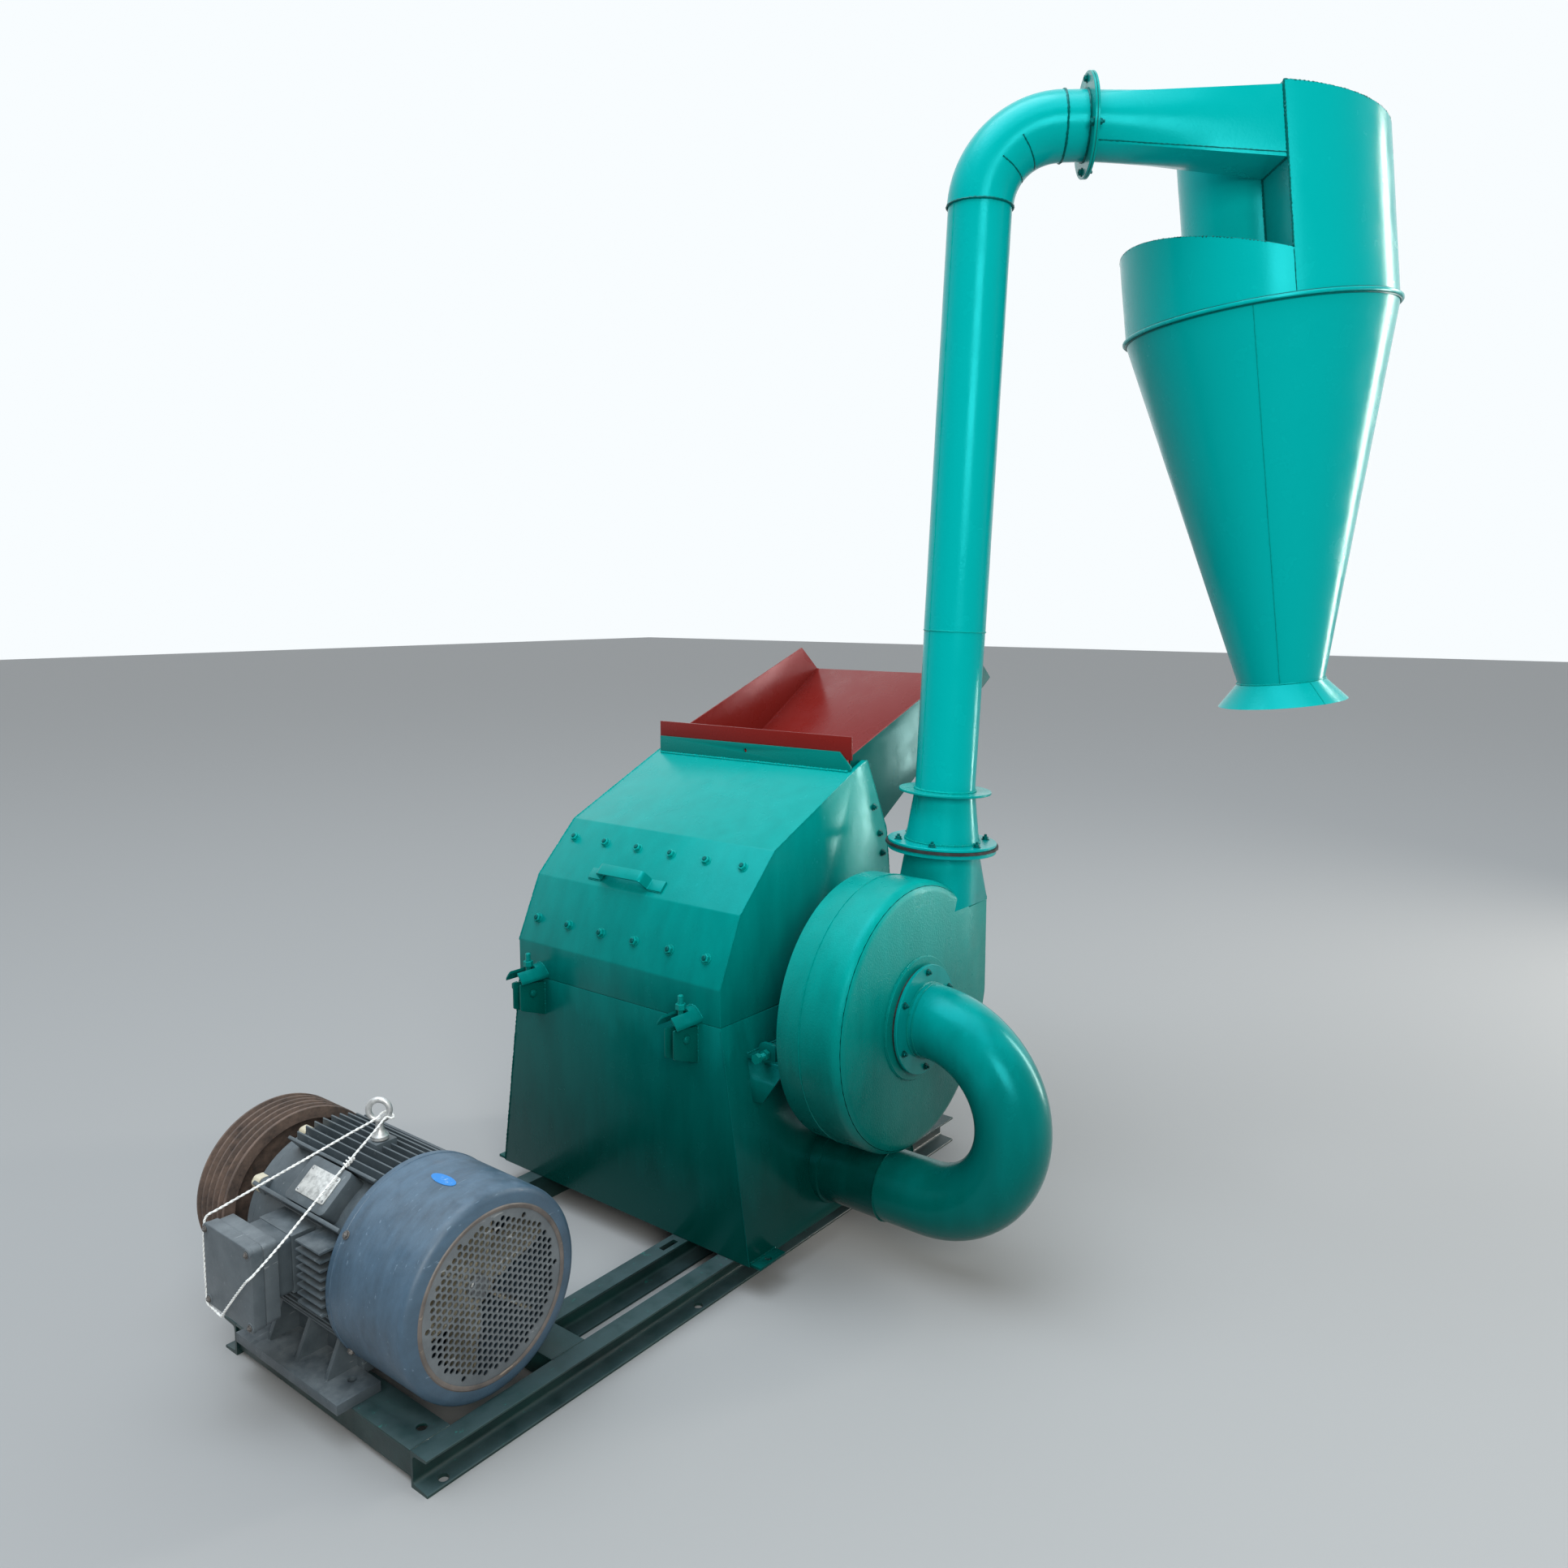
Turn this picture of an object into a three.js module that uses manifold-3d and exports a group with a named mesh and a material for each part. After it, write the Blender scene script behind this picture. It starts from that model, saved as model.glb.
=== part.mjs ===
// Hammer mill with suction fan, discharge pipe, cyclone and loose drive motor.
// Millimetres, +Z up. X runs along the base rails from the motor to the mill, Y along the shafts,
// with the mill's mid-plane at Y = 0 while building; the exported group is shifted at the end so
// that its origin lies under the middle of the object's bounding box.
import * as THREE from "three";
import { ConvexGeometry } from "three/addons/geometries/ConvexGeometry.js";
import { mergeVertices } from "three/addons/utils/BufferGeometryUtils.js";
import Module from "manifold-3d";

const wasm = await Module();
wasm.setup();

const rad = THREE.MathUtils.degToRad;
const GAP = 0.35; // clearance left between pieces that touch

// ---- driving dimensions ----------------------------------------------------------------------

// Base frame of rolled channel
const RAIL_HEIGHT = 63;
const RAIL_WIDTH = 42;
const RAIL_WEB = 5;
const RAIL_FLANGE = 6;
const RAIL_LENGTH = 1600;
const NEAR_WEB_Y = -294; // inner face of the near rail's web
const FAR_WEB_Y = 246;
const INNER_WEB_Y = -168; // the short channel between mid plate and mill end
const ANCHOR_HOLE_X = [40, 640, 1240];
const ANCHOR_HOLE_RADIUS = 9;
const PLATE_THICKNESS = 5;
const PLATE_TOP = RAIL_HEIGHT;
const FRONT_PLATE_X = [0, 76];
const MID_PLATE_X = [290, 366];
const REAR_PLATE_X = [1500, 1576];

// Mill body
const SHAFT_X = 1031;
const SHAFT_Z = 541; // rotor axis, on the split between casing and cover
const BODY_FRONT_X = 730;
const BODY_REAR_X = 1344;
const HALF_WIDTH_TOP = 305;
const HALF_WIDTH_FOOT = 378;
const SHEET = 5;
const COVER_FOLDS = [
  [BODY_FRONT_X, 618],
  [792, 758],
  [904, 873],
  [1190, 1007],
  [1241, 1027],
  [1323, 857],
  [BODY_REAR_X, 701],
];
const SHAFT_RADIUS = 30;
const SHAFT_SLOT_RADIUS = 42;
const LIP_X = 1184;
const LIP_TOP = 1048;
const MOUTH_HALF_WIDTH = 290;

// Feed tray
const TRAY_HALF_WIDTH = 286;
const TRAY_SHEET = 4;
const TRAY_OUTLINE = [
  [1200, 1016],
  [1200, 1036],
  [1766, 1251],
  [1845, 1184],
  [1326, 866],
];
const TRAY_LIP = { x: [1191, 1196], z: [1030, 1083], halfWidth: 296 };

// Rotor
const PLATE_RADIUS = 150;
const PIN_CIRCLE = 125;
const PIN_RADIUS = 10;
const PIN_SIDES = 10; // flats of the pins and of the bores that turn on them
const HAMMER_REACH = 115; // pin to tip
const HAMMER_HEAD = 22; // pin to upper end
const HAMMER_WIDTH = 50;
const HAMMER_THICKNESS = 7;
const HAMMER_SLEEVE_RADIUS = 16;
const HAMMERS_IN_ROW = 7;
const HAMMER_PITCH = 64;
const HAMMER_STAGGER = 16; // half the offset between neighbouring rows
const HUB_RADIUS = 44;
const ROTOR_PLATE_Y = 250; // two end plates, this far from the mid-plane
const ROTOR_PLATE_THICKNESS = 14;
const ROWS = [45, 135, 225, 315]; // angles of the hammer pins
const SCREEN_RADIUS = 256;
const SCREEN_THICKNESS = 4;
const SCREEN_HALF_ANGLE = 84;
const LINER_RADIUS = 258;
const LINER_THICKNESS = 12;

// Fan on the rotor's near end
const FAN_RADIUS = 280;
const FAN_FRONT_Y = -579;
const FAN_BACK_Y = -429;
const FAN_SHEET = 4;
const FAN_EDGE = 24; // radius of the pressed front edge
const OUTLET_X = [1170, SHAFT_X + FAN_RADIUS];
const OUTLET_SQUARE_Z = 733;
const OUTLET_TOP_Z = 852;
const OUTLET_SEAM_Z = 792; // where the outlet is welded to the drum
const OUTLET_ROOM = [[1157, 1400], [-700, -300], 1000]; // X, Y and top of the space around the outlet
const OUTLET_FLANGE = [-15, -6]; // below the riser's foot
const PIPE_RADIUS = 75;
const FLANGE_RADIUS = 118;
const FLANGE_THICKNESS = 8;

// Suction pipe from the bottom of the casing, turning back into the fan's eye
const SUCTION_Z = 165;
const BEND_END_Y = -610;
const SUCTION_JOINT_Y = -520;

// Discharge pipework, in a vertical plane through the fan outlet
const OUTLET_CENTRE = [1240, -504, 863];
const HEADING = -53; // degrees about Z, from +X
const RISER_LEAN = 2.5; // degrees out of plumb, as it stands
const RISER_RADIUS = 65;
const REDUCER_HEIGHT = 117;
const RISER_LENGTH = 1210;
const JOINT_RING_RADIUS = 100;
const ELBOW_RADIUS = 165;
const ELBOW_PIPE_RADIUS = 67;
const ELBOW_RISE = 1; // degrees above level where it leaves
const COLLAR_LENGTH = 52;
const DUCT_FLANGE_RADIUS = 100;
const PIPE_SHEET = 2.5;

// Cyclone, hung on the duct
const CYCLONE_RADIUS = 285;
const CYCLONE_CENTRE = [711, 214, 1142]; // middle of the cone's ring, from the fan outlet
const CYCLONE_LEAN = -6.3; // degrees
const CYCLONE_SHEET = 3;
const DRUM_HEIGHT_LEFT = 178; // the drum's sloping top plate, away from the hood
const DRUM_HEIGHT_RIGHT = 84;
const HOOD_HEIGHT_LEFT = 404; // at the flat wall, falling to the right
const HOOD_HEIGHT_RIGHT = 338;
const CHORD_X = -26; // flat wall of the hood
const VORTEX_RADIUS = 148;
const VORTEX_TOP = 402;
const VORTEX_DEPTH = 70;
const INLET_Z = [262, 400];
const CONE_LENGTH = 806;
const CONE_END_RADIUS = 94;
const SKIRT_RADIUS = 140;
const SKIRT_LENGTH = 50;

// Motor, frame size 180
const MOTOR_X = 167;
const MOTOR_Z = RAIL_HEIGHT + 0.5 + 180;
const MOTOR_FOOT_Y = [-133, 191];
const MOTOR_FOOT_HOLE_Y = [-92, 150];
const MOTOR_FOOT_HOLE_X = 139.5; // from the shaft
const MOTOR_FOOT_THICKNESS = 22;
const BARREL_RADIUS = 148;
const BARREL_Y = [-104, 205];
const FIN_RADIUS = 172;
const FIN_THICKNESS = 5;
const FIN_PITCH = 30;
const SIDE_FIN = { reach: 186, y: [-84, -10] }; // longer fins beside the terminal box
const LUG_ANGLES = [10, 55, 100, 145, 190, 235, 280, 325]; // shield lugs round the barrel
const LUG_RADIUS = 158;
const COWL_RADIUS = 178;
const COWL_Y = [-300, -86];
const COWL_EDGE = 16;
const MOTOR_SHAFT_RADIUS = 24;
const DRIVE_SHIELD_Y = [BARREL_Y[1] + GAP, 262];
const MOTOR_PULLEY = { y: [277, 378], radius: 165, grooves: 5, bore: MOTOR_SHAFT_RADIUS };
const MILL_PULLEY = { y: [424, 487], radius: 92, grooves: 3, bore: 25 };
const TERMINAL_BOX = { x: [-96, -46], y: [-7, 143], z: [192, 333], lid: 24 };
const TERMINAL_NECK = { x: -10, y: [16, 122], z: [212, 316] };
const EYEBOLT = { y: 25, z: 475, ring: 19, stock: 5.5, turn: -50 };
const CORD_RADIUS = 2.4;

// ---- finishes --------------------------------------------------------------------------------

function finish(color, roughness, metalness) {
  return new THREE.MeshStandardMaterial({ color, roughness, metalness });
}

const GREEN = finish(0x009a86, 0.3, 0.1);
const BASE_GREEN = finish(0x2f5f58, 0.5, 0.1);
const RED = finish(0x8e2f22, 0.4, 0.1);
const MOTOR_BLUE = finish(0x56666e, 0.5, 0.3);
const CREAM = finish(0xb9ac8c, 0.6, 0.1);
const RUSTY_IRON = finish(0x5c3c2a, 0.8, 0.5);
const STEEL = finish(0x8d9194, 0.4, 0.9);
const DARK_STEEL = finish(0x4c4f52, 0.5, 0.8);
const ALUMINIUM = finish(0xb8babc, 0.4, 0.8);
const RUBBER = finish(0x161616, 0.8, 0);
const CORD_WHITE = finish(0xe6e6e0, 0.9, 0);

// ---- shape helpers ---------------------------------------------------------------------------

// Any closed three.js geometry as a manifold solid whose faces point out.
function solid(geometry) {
  const bare = new THREE.BufferGeometry();
  bare.setAttribute("position", geometry.getAttribute("position"));
  if (geometry.index) bare.setIndex(geometry.index);
  const merged = mergeVertices(bare, 1e-4);
  const triVerts = new Uint32Array(merged.index.array);
  const vertProperties = new Float32Array(merged.attributes.position.array);
  const made = new wasm.Manifold(new wasm.Mesh({ numProp: 3, vertProperties, triVerts }));
  if (made.volume() > 0) return made;
  for (let i = 0; i < triVerts.length; i += 3) {
    [triVerts[i + 1], triVerts[i + 2]] = [triVerts[i + 2], triVerts[i + 1]];
  }
  return new wasm.Manifold(new wasm.Mesh({ numProp: 3, vertProperties, triVerts }));
}

function join(...pieces) {
  return wasm.Manifold.union(pieces.flat());
}

function cut(body, ...tools) {
  return body.subtract(wasm.Manifold.union(tools.flat()));
}

function toGeometry(body) {
  const mesh = body.getMesh();
  const position = new Float32Array(mesh.numVert * 3);
  for (let i = 0; i < mesh.numVert; i++) {
    position.set(mesh.vertProperties.subarray(i * mesh.numProp, i * mesh.numProp + 3), i * 3);
  }
  const geometry = new THREE.BufferGeometry();
  geometry.setAttribute("position", new THREE.BufferAttribute(position, 3));
  geometry.setIndex(new THREE.BufferAttribute(mesh.triVerts, 1));
  geometry.computeVertexNormals();
  return geometry;
}

function box([x0, x1], [y0, y1], [z0, z1]) {
  const geometry = new THREE.BoxGeometry(x1 - x0, y1 - y0, z1 - z0);
  return solid(geometry.translate((x0 + x1) / 2, (y0 + y1) / 2, (z0 + z1) / 2));
}

// Turns a shape drawn in the plane across an axis, and extruded along +Z, onto that axis:
// x takes (y, z) outlines, y takes (x, z) outlines and z takes (x, y) outlines.
function alongAxis(geometry, axis, from, to) {
  if (axis === "x") {
    const toX = new THREE.Matrix4().makeBasis(
      new THREE.Vector3(0, 1, 0),
      new THREE.Vector3(0, 0, 1),
      new THREE.Vector3(1, 0, 0),
    );
    return geometry.applyMatrix4(toX).translate(from, 0, 0);
  }
  if (axis === "y") return geometry.rotateX(Math.PI / 2).translate(0, to, 0);
  return geometry.translate(0, 0, from);
}

function prism(axis, outline, [from, to]) {
  const shape = new THREE.Shape(outline.map(([a, b]) => new THREE.Vector2(a, b)));
  const geometry = new THREE.ExtrudeGeometry(shape, { depth: to - from, bevelEnabled: false });
  return solid(alongAxis(geometry, axis, from, to));
}

// A round bar or disc on a line through (a, b) of the plane across the axis.
function rod(axis, radius, [from, to], [a, b], segments = 24) {
  const geometry = new THREE.CylinderGeometry(radius, radius, to - from, segments);
  const middle = (from + to) / 2;
  if (axis === "x") return solid(geometry.rotateZ(-Math.PI / 2).translate(middle, a, b));
  if (axis === "y") return solid(geometry.translate(a, middle, b));
  return solid(geometry.rotateX(Math.PI / 2).translate(a, b, middle));
}

// A turned piece: profile points are (radius, place along the axis).
function turned(axis, profile, [a, b], segments = 32) {
  const points = profile.map(([radius, along]) => new THREE.Vector2(radius, along));
  const geometry = new THREE.LatheGeometry(points, segments);
  if (axis === "y") return solid(geometry.translate(a, 0, b));
  return solid(geometry.rotateX(Math.PI / 2).translate(a, b, 0));
}

function ring(axis, outer, inner, [from, to], centre, segments = 32) {
  const profile = [
    [inner, from],
    [outer, from],
    [outer, to],
    [inner, to],
    [inner, from],
  ];
  return turned(axis, profile, centre, segments);
}

// A pipe whose centre line lies in one plane. Each stop holds a place on the line and the line's
// direction there; side is the unit normal of the plane.
function bentPipe(stops, side, outer, inner, segments = 20) {
  const positions = [];
  const index = [];
  for (const { at, along } of stops) {
    const up = new THREE.Vector3().crossVectors(along, side);
    for (const radius of [outer, inner]) {
      for (let i = 0; i < segments; i++) {
        const angle = (i / segments) * 2 * Math.PI;
        const point = at.clone().addScaledVector(side, radius * Math.cos(angle));
        positions.push(...point.addScaledVector(up, radius * Math.sin(angle)).toArray());
      }
    }
  }
  const last = stops.length - 1;
  const corner = (stop, wall, i) => (stop * 2 + wall) * segments + (i % segments);
  const quad = (a, b, c, d) => index.push(a, b, c, a, c, d);
  for (let i = 0; i < segments; i++) {
    const j = i + 1;
    for (let k = 0; k < last; k++) {
      quad(corner(k, 0, i), corner(k, 0, j), corner(k + 1, 0, j), corner(k + 1, 0, i));
      quad(corner(k, 1, j), corner(k, 1, i), corner(k + 1, 1, i), corner(k + 1, 1, j));
    }
    quad(corner(0, 1, i), corner(0, 1, j), corner(0, 0, j), corner(0, 0, i));
    quad(corner(last, 0, i), corner(last, 0, j), corner(last, 1, j), corner(last, 1, i));
  }
  const geometry = new THREE.BufferGeometry();
  geometry.setAttribute("position", new THREE.Float32BufferAttribute(positions, 3));
  return solid(geometry.setIndex(index));
}

// Stops along an arc that starts at centre + radius * from and bends towards along.
function arcStops(centre, from, along, radius, degrees, steps) {
  const stops = [];
  for (let i = 0; i <= steps; i++) {
    const turn = rad((degrees * i) / steps);
    const outward = from.clone().multiplyScalar(Math.cos(turn));
    outward.addScaledVector(along, Math.sin(turn));
    const direction = along.clone().multiplyScalar(Math.cos(turn));
    direction.addScaledVector(from, -Math.sin(turn));
    stops.push({ at: centre.clone().addScaledVector(outward, radius), along: direction });
  }
  return stops;
}

function hull(points) {
  return solid(new ConvexGeometry(points));
}

// Moves every edge of a convex outline inwards by the same distance.
function inset(outline, distance) {
  const centre = outline.reduce((sum, p) => [sum[0] + p[0], sum[1] + p[1]], [0, 0]);
  const middle = new THREE.Vector2(...centre).divideScalar(outline.length);
  const lines = outline.map((p, i) => {
    const start = new THREE.Vector2(...p);
    const along = new THREE.Vector2(...outline[(i + 1) % outline.length]).sub(start).normalize();
    const normal = new THREE.Vector2(-along.y, along.x);
    if (normal.dot(middle.clone().sub(start)) < 0) normal.negate();
    return { start: start.addScaledVector(normal, distance), along };
  });
  return lines.map((line, i) => {
    const before = lines[(i + lines.length - 1) % lines.length];
    const cross = before.along.x * line.along.y - before.along.y * line.along.x;
    const offset = line.start.clone().sub(before.start);
    const reach = (offset.x * line.along.y - offset.y * line.along.x) / cross;
    return before.start.clone().addScaledVector(before.along, reach).toArray();
  });
}

function turnAbout(body, axis, degrees, [x, y, z]) {
  const turn = [0, 0, 0];
  turn["xyz".indexOf(axis)] = degrees;
  return body.translate([-x, -y, -z]).rotate(turn).translate([x, y, z]);
}

// Nuts and bolt heads as six-sided bars.
function hexagon(axis, radius, span, centre) {
  return rod(axis, radius, span, centre, 6);
}

function part(group, name, body, material) {
  const mesh = new THREE.Mesh(toGeometry(body), material);
  mesh.name = name;
  group.add(mesh);
}

// ---- base ------------------------------------------------------------------------------------

// A channel lying on its flange, its open side facing away from its web.
function channel(webFace, side, [x0, x1], holes) {
  const tip = webFace + side * RAIL_WIDTH;
  const inside = webFace + side * RAIL_WEB;
  const outline = [
    [webFace, 0],
    [tip, 0],
    [tip, RAIL_FLANGE],
    [inside, RAIL_FLANGE],
    [inside, RAIL_HEIGHT - RAIL_FLANGE],
    [tip, RAIL_HEIGHT - RAIL_FLANGE],
    [tip, RAIL_HEIGHT],
    [webFace, RAIL_HEIGHT],
  ];
  const bar = prism("x", outline, [x0, x1]);
  const holeY = webFace + side * (RAIL_WIDTH - 14);
  if (!holes.length) return bar;
  return cut(
    bar,
    holes.map((x) => rod("z", ANCHOR_HOLE_RADIUS, [-1, RAIL_FLANGE + 1], [x, holeY], 10)),
  );
}

// A plate let in between the two long rails, flush with their tops.
function crossPlate([x0, x1]) {
  const span = [NEAR_WEB_Y + GAP, FAR_WEB_Y - GAP];
  const plate = box([x0, x1], span, [PLATE_TOP - PLATE_THICKNESS, PLATE_TOP]);
  const stiffener = box([x0 + 4, x0 + 9], span, [12, PLATE_TOP - 1]);
  return join(plate, stiffener);
}

function addBase(group) {
  const span = [0, RAIL_LENGTH];
  part(group, "rail_near", channel(NEAR_WEB_Y, -1, span, ANCHOR_HOLE_X), BASE_GREEN);
  part(group, "rail_far", channel(FAR_WEB_Y, 1, span, ANCHOR_HOLE_X), BASE_GREEN);
  const innerSpan = [MID_PLATE_X[1] + GAP, REAR_PLATE_X[0] - GAP];
  const slot = box([672, 716], [INNER_WEB_Y - 30, INNER_WEB_Y - 16], [50, 70]);
  const inner = cut(channel(INNER_WEB_Y, -1, innerSpan, []), slot);
  part(group, "rail_inner", inner, BASE_GREEN);
  part(group, "cross_plate_front", crossPlate(FRONT_PLATE_X), BASE_GREEN);
  part(group, "cross_plate_mid", crossPlate(MID_PLATE_X), BASE_GREEN);
  part(group, "cross_plate_rear", crossPlate(REAR_PLATE_X), BASE_GREEN);
}

// ---- mill body -------------------------------------------------------------------------------

const CASING_FOOT_Z = RAIL_HEIGHT + GAP;
const CASING_TOP_Z = SHAFT_Z - GAP / 2;
const SIDE_SLOPE = (HALF_WIDTH_FOOT - HALF_WIDTH_TOP) / (SHAFT_Z - RAIL_HEIGHT);

// Half width of the flared casing at a height, and its outline across X grown by a margin.
function casingHalfWidth(z) {
  return HALF_WIDTH_TOP + SIDE_SLOPE * (SHAFT_Z - z);
}

function casingOutline(margin, z0, z1) {
  const low = casingHalfWidth(z0) + margin;
  const high = casingHalfWidth(z1) + margin;
  return [
    [-low, z0],
    [low, z0],
    [high, z1],
    [-high, z1],
  ];
}

function lowerCasing() {
  const outer = prism("x", casingOutline(0, CASING_FOOT_Z, CASING_TOP_Z), [
    BODY_FRONT_X,
    BODY_REAR_X,
  ]);
  const hollow = prism("x", casingOutline(-SHEET, CASING_FOOT_Z - 10, CASING_TOP_Z + 10), [
    BODY_FRONT_X + SHEET,
    BODY_REAR_X - SHEET,
  ]);
  const reach = HALF_WIDTH_FOOT + 10;
  const shaftSlot = rod("y", SHAFT_SLOT_RADIUS, [-reach, reach], [SHAFT_X, SHAFT_Z], 20);
  const suction = rod("y", PIPE_RADIUS, [-reach, 0], [SHAFT_X, SUCTION_Z]);
  const shell = cut(outer, hollow, shaftSlot, suction);
  const lugs = [];
  for (const side of [-1, 1]) {
    for (const x of [BODY_FRONT_X + 4, BODY_REAR_X - 84]) {
      const inner = casingHalfWidth(CASING_FOOT_Z + 5) - 3;
      const ys = [side * inner, side * (inner + 30)].sort((a, b) => a - b);
      const lug = box([x, x + 80], ys, [CASING_FOOT_Z, CASING_FOOT_Z + 6]);
      const holeAt = [x + 40, side * (inner + 17)];
      const hole = rod("z", 7, [CASING_FOOT_Z - 1, CASING_FOOT_Z + 8], holeAt, 12);
      lugs.push(cut(lug, hole));
    }
  }
  return join(shell, lugs, latchCheeks(LATCH_Y[0]), latchCheeks(LATCH_Y[1]), hingeKnuckles(false));
}

function coverOutline() {
  const foot = SHAFT_Z + GAP / 2;
  return [[BODY_FRONT_X, foot], ...COVER_FOLDS, [BODY_REAR_X, foot]];
}

function cover() {
  const outline = coverOutline();
  const outer = prism("y", outline, [-HALF_WIDTH_TOP, HALF_WIDTH_TOP]);
  const inner = inset(outline, SHEET);
  inner[0][1] = SHAFT_Z - 10;
  inner[inner.length - 1][1] = SHAFT_Z - 10;
  const hollow = prism("y", inner, [-HALF_WIDTH_TOP + SHEET, HALF_WIDTH_TOP - SHEET]);
  const mouth = prism(
    "y",
    [
      [1196, 960],
      [1196, 1100],
      [1400, 1100],
      [1400, 900],
      [1331, 866],
      [1300, 850],
    ],
    [-MOUTH_HALF_WIDTH, MOUTH_HALF_WIDTH],
  );
  const reach = HALF_WIDTH_TOP + 10;
  const shaftSlot = rod("y", SHAFT_SLOT_RADIUS, [-reach, reach], [SHAFT_X, SHAFT_Z], 20);
  const lip = box([LIP_X, LIP_X + 6], [-298, 290], [996, LIP_TOP]);
  const forks = LATCH_Y.map((y) => latchFork(y));
  const shell = cut(outer, hollow, mouth, shaftSlot, studs(STUD_RADIUS + GAP));
  return join(shell, lip, forks, hingeKnuckles(true));
}

// Rear hinge: knuckles of casing and cover alternate along one pin.
const HINGE_X = BODY_REAR_X + 16;
const HINGE_Z = SHAFT_Z;
const HINGE_PIN_RADIUS = 7;
const KNUCKLE_RADIUS = 13;
const KNUCKLE_LENGTH = 60;

function hingeKnuckles(onCover) {
  const pieces = [];
  for (const middle of [-190, 190]) {
    const y0 = middle + (onCover ? GAP : -KNUCKLE_LENGTH);
    const span = [y0, y0 + KNUCKLE_LENGTH - GAP];
    const direction = onCover ? 1 : -1;
    const zs = [HINGE_Z + direction * 30, HINGE_Z].sort((a, b) => a - b);
    const leaf = box([BODY_REAR_X - 1, HINGE_X], span, zs);
    const barrel = rod("y", KNUCKLE_RADIUS, span, [HINGE_X, HINGE_Z], 12);
    const bore = rod("y", HINGE_PIN_RADIUS + GAP, [-300, 300], [HINGE_X, HINGE_Z], 12);
    const other = HINGE_Z - direction * 30;
    const clear = box(
      [BODY_REAR_X - 10, BODY_REAR_X + 2.5],
      [-300, 300],
      [HINGE_Z, other].sort((a, b) => a - b),
    );
    pieces.push(cut(join(leaf, barrel), bore, clear));
  }
  return pieces;
}

function hingePin() {
  const shank = rod("y", HINGE_PIN_RADIUS, [-262, 262], [HINGE_X, HINGE_Z], 12);
  const head = rod("y", HINGE_PIN_RADIUS + 4, [262, 268], [HINGE_X, HINGE_Z], 12);
  return join(shank, head);
}

// Swing-bolt latches on the front: cheeks on the casing, an arched fork on the cover.
const LATCH_Y = [-230, 235];
const LATCH_PIN = [BODY_FRONT_X - 34, 515];
const LATCH_CHEEK_OUTLINE = [
  [BODY_FRONT_X + 1, 456],
  [BODY_FRONT_X - 68, 482],
  [BODY_FRONT_X - 68, 542],
  [BODY_FRONT_X + 1, 533],
];
const LATCH_CHEEK_THICKNESS = 5;
const LATCH_HALF_GAP = 9;
const LATCH_SHANK = 6;
const LATCH_BOLT_TOP = 604;
const LATCH_NUT_RADIUS = 10.5;
const LATCH_SLOT = LATCH_NUT_RADIUS + 1; // half width, so that the nut passes up through the fork
const FORK = { x: BODY_FRONT_X - 75, halfWidth: 28, foot: 551, crown: 574, plate: 6 };

function latchCheeks(y) {
  const pieces = [];
  for (const side of [-1, 1]) {
    const near = y + side * LATCH_HALF_GAP;
    const far = near + side * LATCH_CHEEK_THICKNESS;
    pieces.push(prism("y", LATCH_CHEEK_OUTLINE, [Math.min(near, far), Math.max(near, far)]));
  }
  const reach = LATCH_HALF_GAP + LATCH_CHEEK_THICKNESS + 4;
  pieces.push(rod("y", 5, [y - reach, y + reach], LATCH_PIN, 12));
  return join(pieces);
}

// A plate arched across its width, with a slot that is open at its free end.
function latchFork(y) {
  const { x, halfWidth, foot, crown, plate } = FORK;
  const rise = crown - foot;
  const steps = 8;
  const upper = [];
  for (let i = 0; i <= steps; i++) {
    const across = -1 + (2 * i) / steps;
    upper.push([y + across * halfWidth, crown - rise * across ** 2]);
  }
  const lower = upper.map(([across, z]) => [across, z - plate]).reverse();
  const arch = prism("x", [...upper, ...lower], [x, BODY_FRONT_X + 1]);
  const ends = [x - 1, LATCH_PIN[0] + LATCH_SLOT];
  return cut(arch, box(ends, [y - LATCH_SLOT, y + LATCH_SLOT], [foot - 10, crown + 10]));
}

function latchBolt(y) {
  const [px, pz] = LATCH_PIN;
  const eye = rod("y", 13, [y - 8, y + 8], LATCH_PIN, 16);
  const shank = rod("z", LATCH_SHANK, [pz + 4, LATCH_BOLT_TOP], [px, y], 12);
  const nut = hexagon("z", LATCH_NUT_RADIUS, [FORK.crown + GAP, FORK.crown + 14], [px, y]);
  const bore = rod("y", 5 + GAP, [y - 9, y + 9], LATCH_PIN, 12);
  return cut(join(eye, shank, nut), bore);
}

// The grip stands on two feet across the fold between the two bolt rows.
function coverHandle() {
  const foldIndex = 1;
  const [fx, fz] = COVER_FOLDS[foldIndex];
  const [nx, nz] = COVER_FOLDS[foldIndex + 1];
  const slope = Math.atan2(nz - fz, nx - fx);
  const start = 14; // along the facet from the fold
  const width = 26;
  const outline = [
    [-78, 0],
    [-34, 0],
    [-30, 30],
    [98, 30],
    [102, 0],
    [146, 0],
    [146, 5],
    [107, 5],
    [103, 35],
    [-35, 35],
    [-39, 5],
    [-78, 5],
  ];
  const strap = prism("x", outline, [start, start + width]);
  const turnedUp = strap.rotate([0, -THREE.MathUtils.radToDeg(slope), 0]);
  const lift = GAP + 0.1;
  return turnedUp.translate([fx - Math.sin(slope) * lift, 0, fz + Math.cos(slope) * lift]);
}

// ---- liner, screen and rotor -----------------------------------------------------------------

// Two rows of studs hold the liner; their domed nuts show on the cover.
const STUD_RADIUS = 6;
const STUD_HEAD_RADIUS = 10;
const STUD_COUNT = 6;
const STUD_SPAN = [-250, 262];
const STUD_ROWS = [
  { from: COVER_FOLDS[0], to: COVER_FOLDS[1], share: 0.36 },
  { from: COVER_FOLDS[1], to: COVER_FOLDS[2], share: 0.68 },
];

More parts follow.
